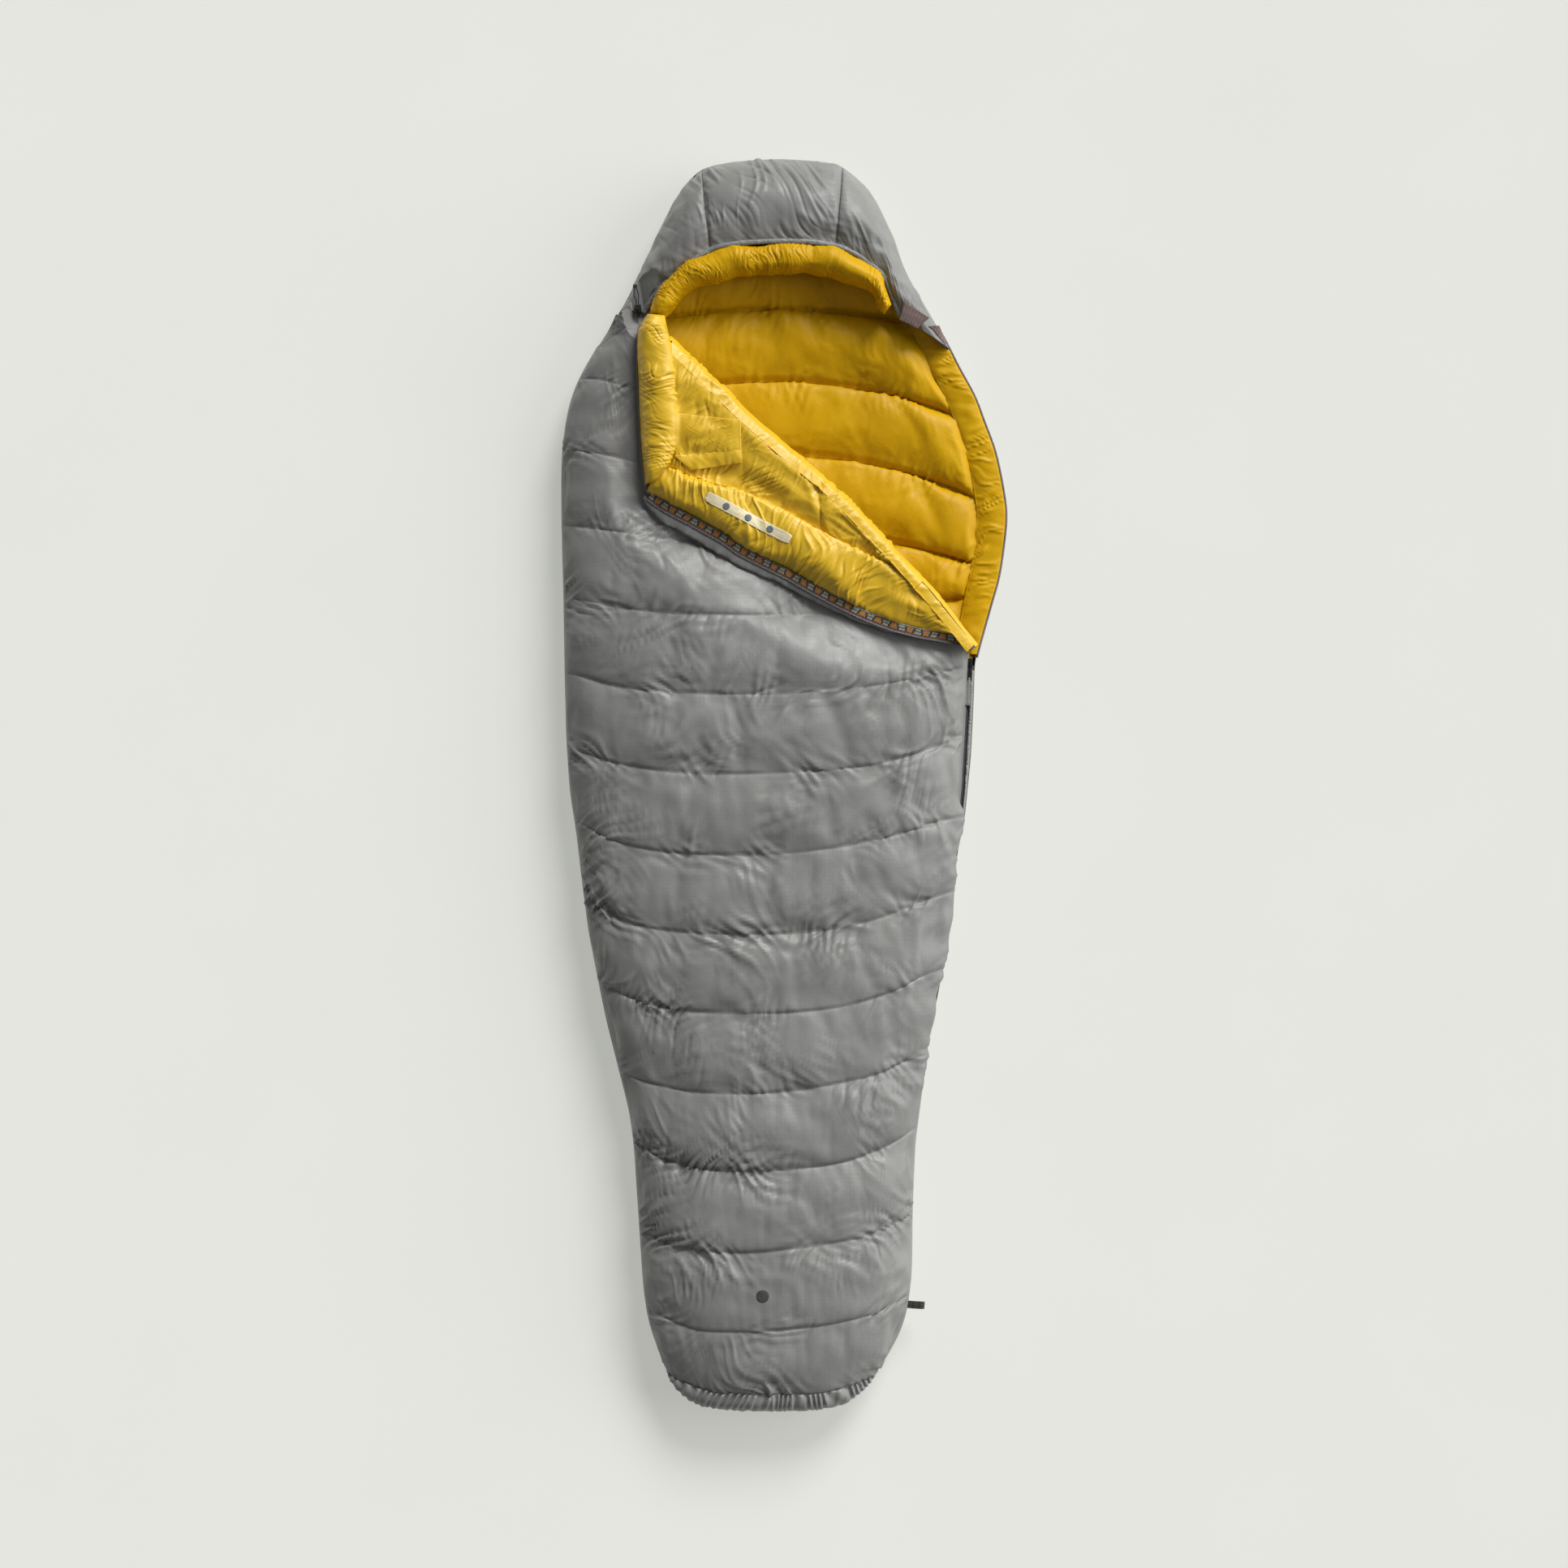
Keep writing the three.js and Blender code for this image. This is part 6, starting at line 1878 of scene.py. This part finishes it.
def stitches(name, paths, pitch=4.4, length=3.0, r=0.32, mat="thread_grey", body="root"):
    """Rows of single stitches lying on the seams, each a small spindle of thread."""
    V, F = [], []
    for p in paths:
        p = np.asarray(p, float)
        seg = np.r_[0, np.cumsum(np.linalg.norm(np.diff(p, axis=0), axis=1))]
        n = int(seg[-1] / pitch)
        for k in range(n):
            s0 = (k + 0.5) * pitch - length / 2
            a = np.array([np.interp(s0, seg, p[:, i]) for i in range(3)])
            c = np.array([np.interp(s0 + length, seg, p[:, i]) for i in range(3)])
            d = c - a
            l = np.linalg.norm(d)
            if l < 1e-6:
                continue
            d /= l
            side = np.cross(d, [0, 0, 1.0])
            side /= max(np.linalg.norm(side), 1e-6)
            upv = np.cross(side, d)
            m = (a + c) / 2 + upv * 0.12
            b0 = len(V)
            V += [a - upv * 0.25, m + side * r, m + upv * r, m - side * r, m - upv * r, c - upv * 0.25]
            F += [[b0, b0 + 2, b0 + 1], [b0, b0 + 3, b0 + 2], [b0, b0 + 4, b0 + 3], [b0, b0 + 1, b0 + 4], [b0 + 5, b0 + 1, b0 + 2], [b0 + 5, b0 + 2, b0 + 3], [b0 + 5, b0 + 3, b0 + 4], [b0 + 5, b0 + 4, b0 + 1]]
    o = make_mesh(name, np.array(V), F)
    set_mat(o, M[mat])
    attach(o, body)
    return o


def rows_at(P, tf, ks):
    return [P[int(np.argmin(np.abs(tf - k)))] for k in ks]


N_FS = normals(P_FS)
paths = []
for k in range(1, len(SEAMS) - 1):
    i = int(np.argmin(np.abs(TF - k)))
    paths.append((P_FS[i] + N_FS[i] * 0.35)[3:-3])
i = 1
paths.append((P_FS[i] + N_FS[i] * 0.35)[3:-3])
stitches("front_seam_stitching", paths, 4.2, 2.9, 0.30)
N_LF = normals(P_LF)
idxl = np.interp(np.linspace(0, len(TL) - 1, P_LF.shape[0]), np.arange(len(TL)), TL)
paths = []
for k in range(11, 16):
    i = int(np.argmin(np.abs(idxl - k)))
    paths.append((P_LF[i] + N_LF[i] * 0.35)[6:-6])
stitches("lining_seam_stitching", paths, 4.2, 2.9, 0.30, "thread_yellow", "root")
N_HF = normals(P_HF)
paths = [(P_HF[:, c] + N_HF[:, c] * 0.35)[4:-4] for c in (cut1, cut2)]
paths.append((P_HF[5] + N_HF[5] * 0.3)[3:-3])
stitches("hood_seam_stitching", paths, 4.2, 2.9, 0.30)


# --- zips
def coil_mesh(name, path, r_across, r_up, pitch, wire=0.42, sides=5, per_turn=9, phase=0.0):
    """A zip's nylon coil: a flattened helix along the path."""
    path = np.asarray(path, float)
    seg = np.r_[0, np.cumsum(np.linalg.norm(np.diff(path, axis=0), axis=1))]
    n = int(seg[-1] / pitch * per_turn)
    s = np.linspace(0, seg[-1], n)
    c = np.stack([np.interp(s, seg, path[:, i]) for i in range(3)], -1)
    T = np.gradient(c, axis=0)
    T /= np.linalg.norm(T, axis=1, keepdims=True)
    S = np.cross(T, [0, 0, 1.0])
    S /= np.linalg.norm(S, axis=1, keepdims=True)
    U = np.cross(S, T)
    a = 2 * math.pi * s / pitch + phase
    ca, sa = np.cos(a), np.sin(a)
    h = c + S * (r_across * np.sign(ca) * np.abs(ca) ** 0.8)[:, None] + U * (r_up * np.sign(sa) * np.abs(sa) ** 0.8)[:, None]
    Th = np.gradient(h, axis=0)
    Th /= np.maximum(np.linalg.norm(Th, axis=1, keepdims=True), 1e-9)
    out = (S * ca[:, None] + U * sa[:, None])
    out -= Th * (out * Th).sum(1)[:, None]
    out /= np.maximum(np.linalg.norm(out, axis=1, keepdims=True), 1e-9)
    bi = np.cross(Th, out)
    V = np.zeros((n, sides, 3))
    for k in range(sides):
        q = 2 * math.pi * k / sides
        V[:, k] = h + (out * math.cos(q) + bi * math.sin(q)) * wire
    i, k = np.meshgrid(np.arange(n - 1), np.arange(sides), indexing="ij")
    k2 = (k + 1) % sides
    F = np.stack([i * sides + k, (i + 1) * sides + k, (i + 1) * sides + k2, i * sides + k2], -1).reshape(-1, 4)
    verts = np.concatenate([V.reshape(-1, 3), c[:1], c[-1:]])
    caps = [[n * sides, k_, (k_ + 1) % sides] for k_ in range(sides)] + [[n * sides + 1, (n - 1) * sides + (k_ + 1) % sides, (n - 1) * sides + k_] for k_ in range(sides)]
    o = make_mesh(name, verts, [list(f) for f in F] + caps)
    set_mat(o, M["coil"])
    return o


def offset_path(p, off, z):
    """The plan path p moved sideways by off (to its left) at height z."""
    p = np.asarray(p, float)[:, :2]
    T = np.gradient(p, axis=0)
    T /= np.linalg.norm(T, axis=1, keepdims=True)
    L = np.stack([-T[:, 1], T[:, 0]], -1)
    return np.column_stack([p + L * off, np.full(len(p), z)])


def ribbon_plan(name, p, a, b, z0, t=0.7, m=4, ripple=0.0, seed=0, cup=0.0):
    p = np.asarray(p, float)
    rows = []
    for k in range(m + 1):
        q = k / m
        r = offset_path(p, a * (1 - q) + b * q, 0)
        r[:, 2] = z0 + cup * math.sin(math.pi * q)
        rows.append(r)
    P = np.array(rows)
    if ripple:
        L = np.arange(P.shape[1]) / 3.0
        P[..., 2] += ripple * noise(L[None, :] * 0.35, np.linspace(0, 1, m + 1)[:, None], seed)
    return thick(name, P, t)


# closed half, from the slider down to the stop
cy = np.concatenate([np.linspace(205, -5.6, 70), np.linspace(-10, -505, 150)])
CLOSED = np.stack([zip_x(cy), cy], -1)
CLOSED = smooth_path(CLOSED, 3.0, 9.0)
for nm, off, ph in (("closed_zip_coil_front", -1.15, 0.0), ("closed_zip_coil_back", 1.15, math.pi)):
    o = coil_mesh(nm + "_turns", offset_path(CLOSED, off, 55.9), 1.35, 1.05, 1.5, 0.40, 5, 9, ph)
    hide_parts(nm)
    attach(o, "root")
for nm, a_o, b_o in (("closed_zip_tape_front", -1.6, -8.0), ("closed_zip_tape_back", 1.6, 6.5)):
    o = ribbon_plan(nm + "_cloth", CLOSED, a_o, b_o, 55.6, 0.6, 4)
    set_mat(o, M["tape"])
    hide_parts(nm)
    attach(o, "root")

# open half on the back
oy = np.linspace(219, 786, 190)
OPENP = smooth_path(np.stack([edge_r(oy) - 0.2, oy], -1), 3.0, 8.0)
OPENP[:, 0] += 0.0
o = coil_mesh("back_zip_coil_turns", offset_path(OPENP, 1.9, 51.2), 1.35, 1.05, 1.5, 0.40)
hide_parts("back_zip_coil")
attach(o, "root")
o = ribbon_plan("back_zip_tape_cloth", OPENP, 0.4, 9.5, 49.9, 0.6, 4)
set_mat(o, M["tape"])
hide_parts("back_zip_tape")
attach(o, "root")
pp = offset_path(OPENP, -1.6, 52.4)
pp[:, 2] += 0.4 * noise(np.arange(len(pp)) / 6.0, 0.5, 201)
o = tube_mesh("back_zip_piping", pp, 1.9, 1.9, 10, 0.05, 202)
set_mat(o, M["piping"])
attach(o, "root")

# piping down the front edge beside the closed zip
fp = P_FS[:, -1]
sel = (fp[:, 1] < 200) & (fp[:, 1] > -500)
fpp = smooth_path(fp[sel], 3.0, 6.0)
fpp[:, 2] += 0.8
fpp[:, 0] -= 0.4
o = tube_mesh("front_zip_piping", fpp, 1.5, 1.5, 10, 0.06, 203)
set_mat(o, M["shell"])
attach(o, "root")

# the flap's half: patterned tape, coil and piping
ZP = ZIPC[3:-2]
zl = -1.0 if offset_path(ZP, 1.0, 0)[len(ZP) // 2, 1] > ZP[len(ZP) // 2, 1] else 1.0   # +off goes outwards, down the page
BRAID = {
    "dark": woven("braid_charcoal", (0.035, 0.035, 0.045), (0.08, 0.08, 0.095), 0.0009, 0.6),
    "orange": woven("braid_orange", (0.38, 0.15, 0.03), (0.62, 0.27, 0.06), 0.0009, 0.6),
    "sand": woven("braid_sand", (0.42, 0.33, 0.16), (0.62, 0.52, 0.30), 0.0009, 0.6),
    "blue": woven("braid_slate", (0.10, 0.15, 0.20), (0.22, 0.30, 0.36), 0.0009, 0.6),
    "grey": woven("braid_grey", (0.20, 0.23, 0.22), (0.34, 0.37, 0.36), 0.0009, 0.6),
}
BK = list(BRAID)


def braid_tape():
    """Tape with a woven geometric band: plain blocks of colour between two plain borders."""
    wid, cell = 13.0, 1.3
    ncol = 11
    p = smooth_path(ZP, cell, 0.1)
    n = len(p)
    rows = []
    for k in range(ncol + 1):
        q = k / ncol
        r = offset_path(p, zl * (-6.5 + wid * q), 0)
        r[:, 2] = 117.4 - 3.0 * q ** 1.2 + 0.5 * noise(np.arange(n) * cell / 24.0, q * 1.3, 211)
        rows.append(r)
    P = np.array(rows)
    flip_ = normals(P)[..., 2].mean() < 0
    o = thick("flap_zip_tape_braid", P, 0.6)
    # pick each face's thread colour from its place on the tape
    o.data.materials.clear()
    for k in BK:
        o.data.materials.append(BRAID[k])
    seg = np.r_[0, np.cumsum(np.linalg.norm(np.diff(p[:, :2], axis=0), axis=1))]
    cen = np.array([tuple(f.center) for f in o.data.polygons]) / MM
    mid = offset_path(p, zl * (-6.5 + wid / 2), 0)
    idx = np.zeros(len(cen), int)
    for c0 in range(0, len(cen), 4000):
        c = cen[c0:c0 + 4000]
        d = ((c[:, None, :2] - mid[None, :, :2]) ** 2).sum(2)
        j = d.argmin(1)
        Tm = np.gradient(mid[:, :2], axis=0)
        Tm /= np.linalg.norm(Tm, axis=1, keepdims=True)
        Lm = np.stack([-Tm[:, 1], Tm[:, 0]], -1) * zl
        v = ((c[:, :2] - mid[j, :2]) * Lm[j]).sum(1) / (wid / 2)        # -1 inner to 1 outer
        s = seg[j] / cell
        row = np.clip(((v + 1) / 2 * ncol).astype(int), 0, ncol - 1)
        ph = s % 22
        m = np.abs(row - 5)
        k = np.where((ph < 8) & (m < 4), 1, 0)
        k = np.where((ph >= 11) & (ph < 19) & (m < 4), np.where(m < 2, 3, 2), k)
        k = np.where(row <= 0, 4, k)
        k = np.where(row >= ncol - 1, 1, k)
        k = np.where(row == ncol - 2, 0, k)
        idx[c0:c0 + 4000] = k
    o.data.polygons.foreach_set("material_index", idx.astype(np.int32))
    o.data.update()
    return o


bt = braid_tape()
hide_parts("flap_zip_tape")
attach(bt, "flap")
o = coil_mesh("flap_zip_coil_turns", offset_path(ZP, zl * 7.6, 113.6), 1.35, 1.05, 1.5, 0.40)
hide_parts("flap_zip_coil")
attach(o, "flap")
pz = offset_path(ZP, zl * 9.4, 114.4)
pz[:, 2] += 0.5 * noise(np.arange(len(pz)) / 8.0, 0.5, 204)
o = tube_mesh("flap_zip_piping", pz, 1.3, 1.3, 8, 0.05, 205)
set_mat(o, M["piping"])
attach(o, "flap")

st1 = up(P_FAC, 3, 2)
stitches("zip_facing_stitching", [st1[3] + [0, 0, 0.5], st1[-5] + [0, 0, 0.5]], 3.6, 2.5, 0.26, "thread_yellow", "root")

# crumpled welt of the back shell beside the upper part of the closed zip
wy = np.linspace(196, -60, 120)
wi, wo = zip_x(wy) + 3.2, edge_r(wy) - 0.8
Pw = np.zeros((13, 120, 3))
for k in range(13):
    q = k / 12
    Pw[k, :, 0] = wi * (1 - q) + wo * q
    Pw[k, :, 1] = wy
    Pw[k, :, 2] = 57.4 + 3.4 * math.sin(math.pi * min(1.0, 0.22 + q * 0.9)) - 6.0 * q ** 3
qq = np.linspace(0, 1, 13)[:, None]
Pw[..., 2] += (1.7 * creases(Pw[..., 0], Pw[..., 1], 34, 7, 0.8, 241, 0.6) - 1.4 * creases(Pw[..., 0], Pw[..., 1], 30, 6, -0.6, 242, 0.6)) * np.sin(math.pi * np.clip(qq * 0.9 + 0.05, 0, 1))
welt = thick("back_zip_welt_fabric", up(Pw[:, ::-1], 3, 2), 0.8)
set_mat(welt, M["shell"])
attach(welt, "root")

# --- pocket on the flap
TREE = bvh(quilt, dt, col)
g = quad_grid((-186, 634), (-74, 622), (-73, 566), (-186, 556), 44, 24)
Pp = conform(TREE, g, 1.0, blur=6)
v_ = np.linspace(0, 1, Pp.shape[0])[:, None]
u_ = np.linspace(0, 1, Pp.shape[1])[None, :]
Pp[..., 2] += 2.8 * np.sin(np.pi * v_) ** 0.7 * np.sin(np.pi * u_) ** 0.6 + 1.4 * noise(u_ * 3, v_ * 2, 221) * np.sin(np.pi * u_) ** 0.5 + 2.0 * creases(Pp[..., 0], Pp[..., 1], 60, 11, 0.9, 222) * np.sin(np.pi * u_) * 0.7
pocket = thick("pocket_patch_fabric", up(Pp, 2, 2), 0.7)
set_mat(pocket, M["lining_lit"])
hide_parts("pocket_patch")
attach(pocket, "flap")
g = quad_grid((-188, 562), (-74, 571), (-72, 549), (-160, 536), 50, 10)
Ph = conform(TREE, g, 2.0, blur=8)
v_ = np.linspace(0, 1, Ph.shape[0])[:, None]
u_ = np.linspace(0, 1, Ph.shape[1])[None, :]
Ph[..., 2] += 3.0 * v_ * np.sin(np.pi * np.clip(u_, 0, 1)) ** 0.5 + 1.6 * np.sin(np.pi * v_) ** 0.6 + 0.7 * noise(u_ * 9, v_ * 1.3, 223)
hem = thick("pocket_hem_fabric", up(Ph, 2, 2), 1.2)
set_mat(hem, M["lining_lit"])
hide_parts("pocket_hem")
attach(hem, "flap")
e1 = up(Ph, 2, 2)
stitches("pocket_stitching", [e1[2] + [0, 0, 0.3], up(Pp, 2, 2)[:, -3] + [0, 0, 0.3]], 3.6, 2.5, 0.26, "thread_yellow", "flap")


# --- plain strip sewn to the draft tube: a bar with three round dots, no words
def ink(name, c, rough=0.45):
    return simple(name, c, rough=rough, grain=900.0, depth=0.00004, strength=0.2, vary=0.06)


INK = {"white": ink("print_cream", lin(240, 228, 190)), "slate": ink("print_slate", lin(112, 117, 121))}
TREE2 = bvh(dt, quilt)


def plate(name, centre, half_u, half_v, power, ang, lift, mat, tree, body, n=12, t=0.12, over=2.4):
    """A flat patch lying on the cloth, a superellipse of the given power."""
    u = np.linspace(-1, 1, n + 1)
    G = np.zeros((n + 1, n + 1, 2))
    c, s_ = math.cos(ang), math.sin(ang)
    for i, q in enumerate(u):
        for j, w in enumerate(u):
            m = max(abs(w), abs(q), 1e-9)
            l = max((abs(w / m) ** power + abs(q / m) ** power) ** (1 / power), 1e-9)
            x, y = w / l * half_u, q / l * half_v
            G[i, j] = (centre[0] + x * c - y * s_, centre[1] + x * s_ + y * c)
    P = conform(tree, G, lift, blur=4, over=over)
    o = thick(name, P, t)
    set_mat(o, mat)
    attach(o, body)
    return o


A0, A2 = np.array(px(876.5, 617)), np.array(px(968, 665))
dirv = (A2 - A0) / np.linalg.norm(A2 - A0)
ANG = math.atan2(dirv[1], dirv[0])
CEN = (A0 + A2) / 2
HALF = np.linalg.norm(A2 - A0) / 2 + 9.0
plate("draft_strip_label", CEN, HALF, 9.0, 9.0, ANG, 0.45, INK["white"], TREE2, "flap", 40)
TREE2 = bvh(bpy.data.objects["draft_strip_label"])
for k, (nm, col_) in enumerate((("first", "slate"), ("second", "slate"), ("third", "slate"))):
    plate("draft_strip_dot_" + nm, CEN + dirv * (k - 1) * 42.0, 6.0, 6.0, 2.0, ANG, 0.20, INK[col_], TREE2, "flap", 12)

# --- the small gusset where the hood's left side meets the front panel
_gx, _gy = np.meshgrid(np.linspace(-262, -231, 12), np.linspace(824, 788, 14))
_gz = 75.4 + 0.5 * noise(_gx / 7.0, _gy / 9.0, 231)
gus = sheet_mesh("neck_side_gusset", np.stack([_gx, _gy, _gz], -1))
solidify(gus, 0.0006)
set_mat(gus, M["shell"])
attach(gus, "root")

# --- a plain round patch over the feet
TREE3 = bvh(front)
EM = simple("patch_dark_grey", (0.05, 0.05, 0.05), rough=0.6, grain=900.0, depth=0.00004)
plate("foot_round_patch", np.array(px(940, 1592)), 11.0, 11.0, 2.0, 0.0, 0.28, EM, TREE3, "root", 16)


# --- hang loop at the foot
def ribbon3(name, path, width_dir, width, t, mat, body, m=5, sag=0.0):
    path = np.asarray(path, float)
    w = np.array(width_dir, float)
    w /= np.linalg.norm(w)
    rows = [path + w * (width * (k / m - 0.5)) for k in range(m + 1)]
    P = np.array(rows)
    N = normals(P)
    o = closed_mesh(name, P + N * t / 2, P - N * t / 2, dist=1e-6)
    set_mat(o, mat)
    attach(o, body)
    return o


th = np.linspace(-math.pi / 2, math.pi / 2, 16)
lp = [(207, 48.6), (212, 47.6), (218, 47.2), (228, 47.0)] + [(237.4 + 5.2 * math.cos(a), 52.2 + 5.2 * math.sin(a)) for a in th] + [(228, 57.2), (218, 56.6), (212, 55.4), (207, 54.0)]
lp = smooth_path(np.array([(x, -899.0, z) for x, z in lp]), 1.2, 1.2)
lp[:, 1] += -2.5 * np.sin(np.linspace(0, math.pi, len(lp)))
hang = ribbon3("foot_hang_loop_webbing", lp, (0.10, 1, 0.0), 12.0, 1.5, M["webbing"], "root", 8)
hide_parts("foot_hang_loop")

# --- neck tab, its patch, and the zip garage
PT = [(207.2, 829.4), (250.2, 800.4), (235.2, 785.4), (219.8, 781.2), (197.4, 795.2), (203, 812)]
g = quad_grid((206.5, 829.5), (250.0, 800.6), (228.5, 782.0), (198.5, 796.5), 30, 22)
v_ = np.linspace(0, 1, g.shape[0])[:, None]
u_ = np.linspace(0, 1, g.shape[1])[None, :]
zt = 105.2 + 1.3 * np.sin(np.pi * u_) ** 0.6 * np.sin(np.pi * v_) ** 0.5 + 0.5 * noise(u_ * 3, v_ * 3, 231)
Gt = np.dstack([g, zt * np.ones(g.shape[:2])])
tab = thick("neck_tab_cloth", Gt, 1.9)
set_mat(tab, M["mauve_top"])
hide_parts("neck_tab")
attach(tab, "neck_tab")
st = [Gt[2, 2:-2], Gt[-3, 2:-2], Gt[2:-2, 2], Gt[2:-2, -3]]
stitches("neck_tab_stitching", [p_ + [0, 0, 0.2] for p_ in st], 3.0, 2.1, 0.22, "thread_grey", "neck_tab")

g = quad_grid((236, 786), (268, 790), (280, 762), (278, 750), 26, 14)
v_ = np.linspace(0, 1, g.shape[0])[:, None]
u_ = np.linspace(0, 1, g.shape[1])[None, :]
zg = 78 + 10 * np.sin(np.pi * u_) ** 0.7 - 16 * v_ + 1.2 * noise(u_ * 4, v_ * 3, 232)
Gg = np.dstack([g, zg])
gar = thick("zip_garage_fold", up(Gg, 2, 2), 1.4)
set_mat(gar, M["mauve_top"])
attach(gar, "root")

# --- the slider's pull tab of folded grosgrain
ST = math.atan2(-(309.0 - 321.5), -(-5.6 - 208.6)) * 1.0
sdx, sdy = (309.0 - 321.5), (-5.6 - 208.6)
sl = math.hypot(sdx, sdy)
sdir = np.array([sdx / sl, sdy / sl])
sper = np.array([-sdir[1], sdir[0]])


def on_zip(u, v, z):
    """u across, v along the zip towards the head, from the slider's middle."""
    p = np.array([321.5, 208.6]) - sdir * v - sper * u
    return (p[0], p[1], z)


tab_p = [on_zip(0, -25.0, 62.6), on_zip(0, -28.5, 63.0), on_zip(0, -34, 62.4), on_zip(0, -48, 61.9), on_zip(0, -62, 61.7), on_zip(0, -71.5, 61.8), on_zip(0, -74.0, 61.1), on_zip(0, -71.5, 60.4), on_zip(0, -62, 60.5), on_zip(0, -48, 60.5), on_zip(0, -34, 60.2), on_zip(0, -28.5, 59.6), on_zip(0, -25.0, 60.0)]
tab_p = smooth_path(np.array(tab_p), 1.2, 1.2)
vv = (np.array([321.5, 208.6]) - tab_p[:, :2]) @ sdir
wtab = np.interp(np.abs(vv), [25, 28, 34, 40, 74], [2.4, 2.6, 9.5, 12.0, 12.0])
mm = 10
rows = []
for k in range(mm + 1):
    q = (k / mm - 0.5)
    r = tab_p.copy()
    r[:, :2] += sper[None, :] * (wtab * q)[:, None]
    r[:, 2] += 0.35 * math.cos(math.pi * q)
    rows.append(r)
Pt = np.array(rows)
Nt = normals(Pt)
pt = closed_mesh("puller_tab_grosgrain", Pt + Nt * 0.35, Pt - Nt * 0.35, dist=1e-6)
set_mat(pt, M["puller"])
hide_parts("puller_tab")
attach(pt, "slider_pull")
TREE4 = bvh(pt)
sq = []
for a_, b_ in (((-4.6, -36), (-4.6, -71)), ((4.6, -36), (4.6, -71)), ((-4.6, -37), (4.6, -37)), ((-4.6, -40), (4.6, -40)), ((-4.6, -70), (4.6, -70))):
    pa, pb = np.array(on_zip(a_[0], a_[1], 62.6)), np.array(on_zip(b_[0], b_[1], 62.4))
    pts_ = np.linspace(pa, pb, 20)
    for r in pts_:
        r[2] = drop(TREE4, r[0], r[1], 62.4) + 0.2
    sq.append(pts_)
stitches("puller_stitching", sq, 2.4, 1.7, 0.2, "thread_grey", "slider_pull")

# --- drawcord
LK, TURN = np.array([-251.0, 818.0, 86.0]), 0.14


def at_lock(x, y, z=0.0):
    return ((LK[0] + x * math.cos(TURN) - y * math.sin(TURN)) * MM, (LK[1] + x * math.sin(TURN) + y * math.cos(TURN)) * MM, (LK[2] + z) * MM)


spread = lambda y: 1.75 + 2.0 * math.exp(-((y - 24) / 9.0) ** 2)
cpts = [at_lock(spread(y), y) for y in np.linspace(-16, 34, 18)]
cpts += [at_lock(1.75 * math.cos(a), 35.0 + 2.6 * math.sin(a)) for a in np.linspace(0.3, math.pi - 0.3, 7)]
cpts += [at_lock(-spread(y), y) for y in np.linspace(34, -16, 18)]
cu = bpy.data.curves.new("drawcord_curve", "CURVE")
cu.dimensions = "3D"
cu.bevel_depth = 0.001
cu.bevel_resolution = 4
cu.use_fill_caps = True
spl = cu.splines.new("POLY")
spl.points.add(len(cpts) - 1)
for p_, c_ in zip(spl.points, cpts):
    p_.co = (*c_, 1)
cord = link(bpy.data.objects.new("hood_drawcord_loop", cu))
cu.materials.append(M["cord"])

kn = []
for k in range(61):
    a = 2 * math.pi * k / 60
    r_ = 2.2 + 0.8 * math.cos(3 * a)
    kn.append(at_lock(r_ * math.cos(2 * a), 39.4 + 1.0 * r_ * math.sin(2 * a), 1.1 * math.sin(3 * a)))
kn = np.array(kn) / MM
knot = tube_mesh("drawcord_knot", kn[:-1], 1.05, 1.05, 8, 0.0, 0)
set_mat(knot, M["cord"])
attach(knot, "root")
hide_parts("hood_drawcord")
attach(cord, "root")

# --- materials on the pieces that stay as they were designed
KEEP = {"slider_body": "metal", "slider_pull": "metal", "zip_bottom_stop": "steel", "cord_lock_body": "plastic", "cord_lock_button": "plastic", "cord_lock_spring": "steel", "neck_loop_patch": "mauve"}
for nm, mt in KEEP.items():
    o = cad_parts[nm]
    if isinstance(o, str):
        o = bpy.data.objects[o]
    if not o.material_slots:
        o.data.materials.append(M[mt])
    for s_ in o.material_slots:
        s_.material = M[mt]
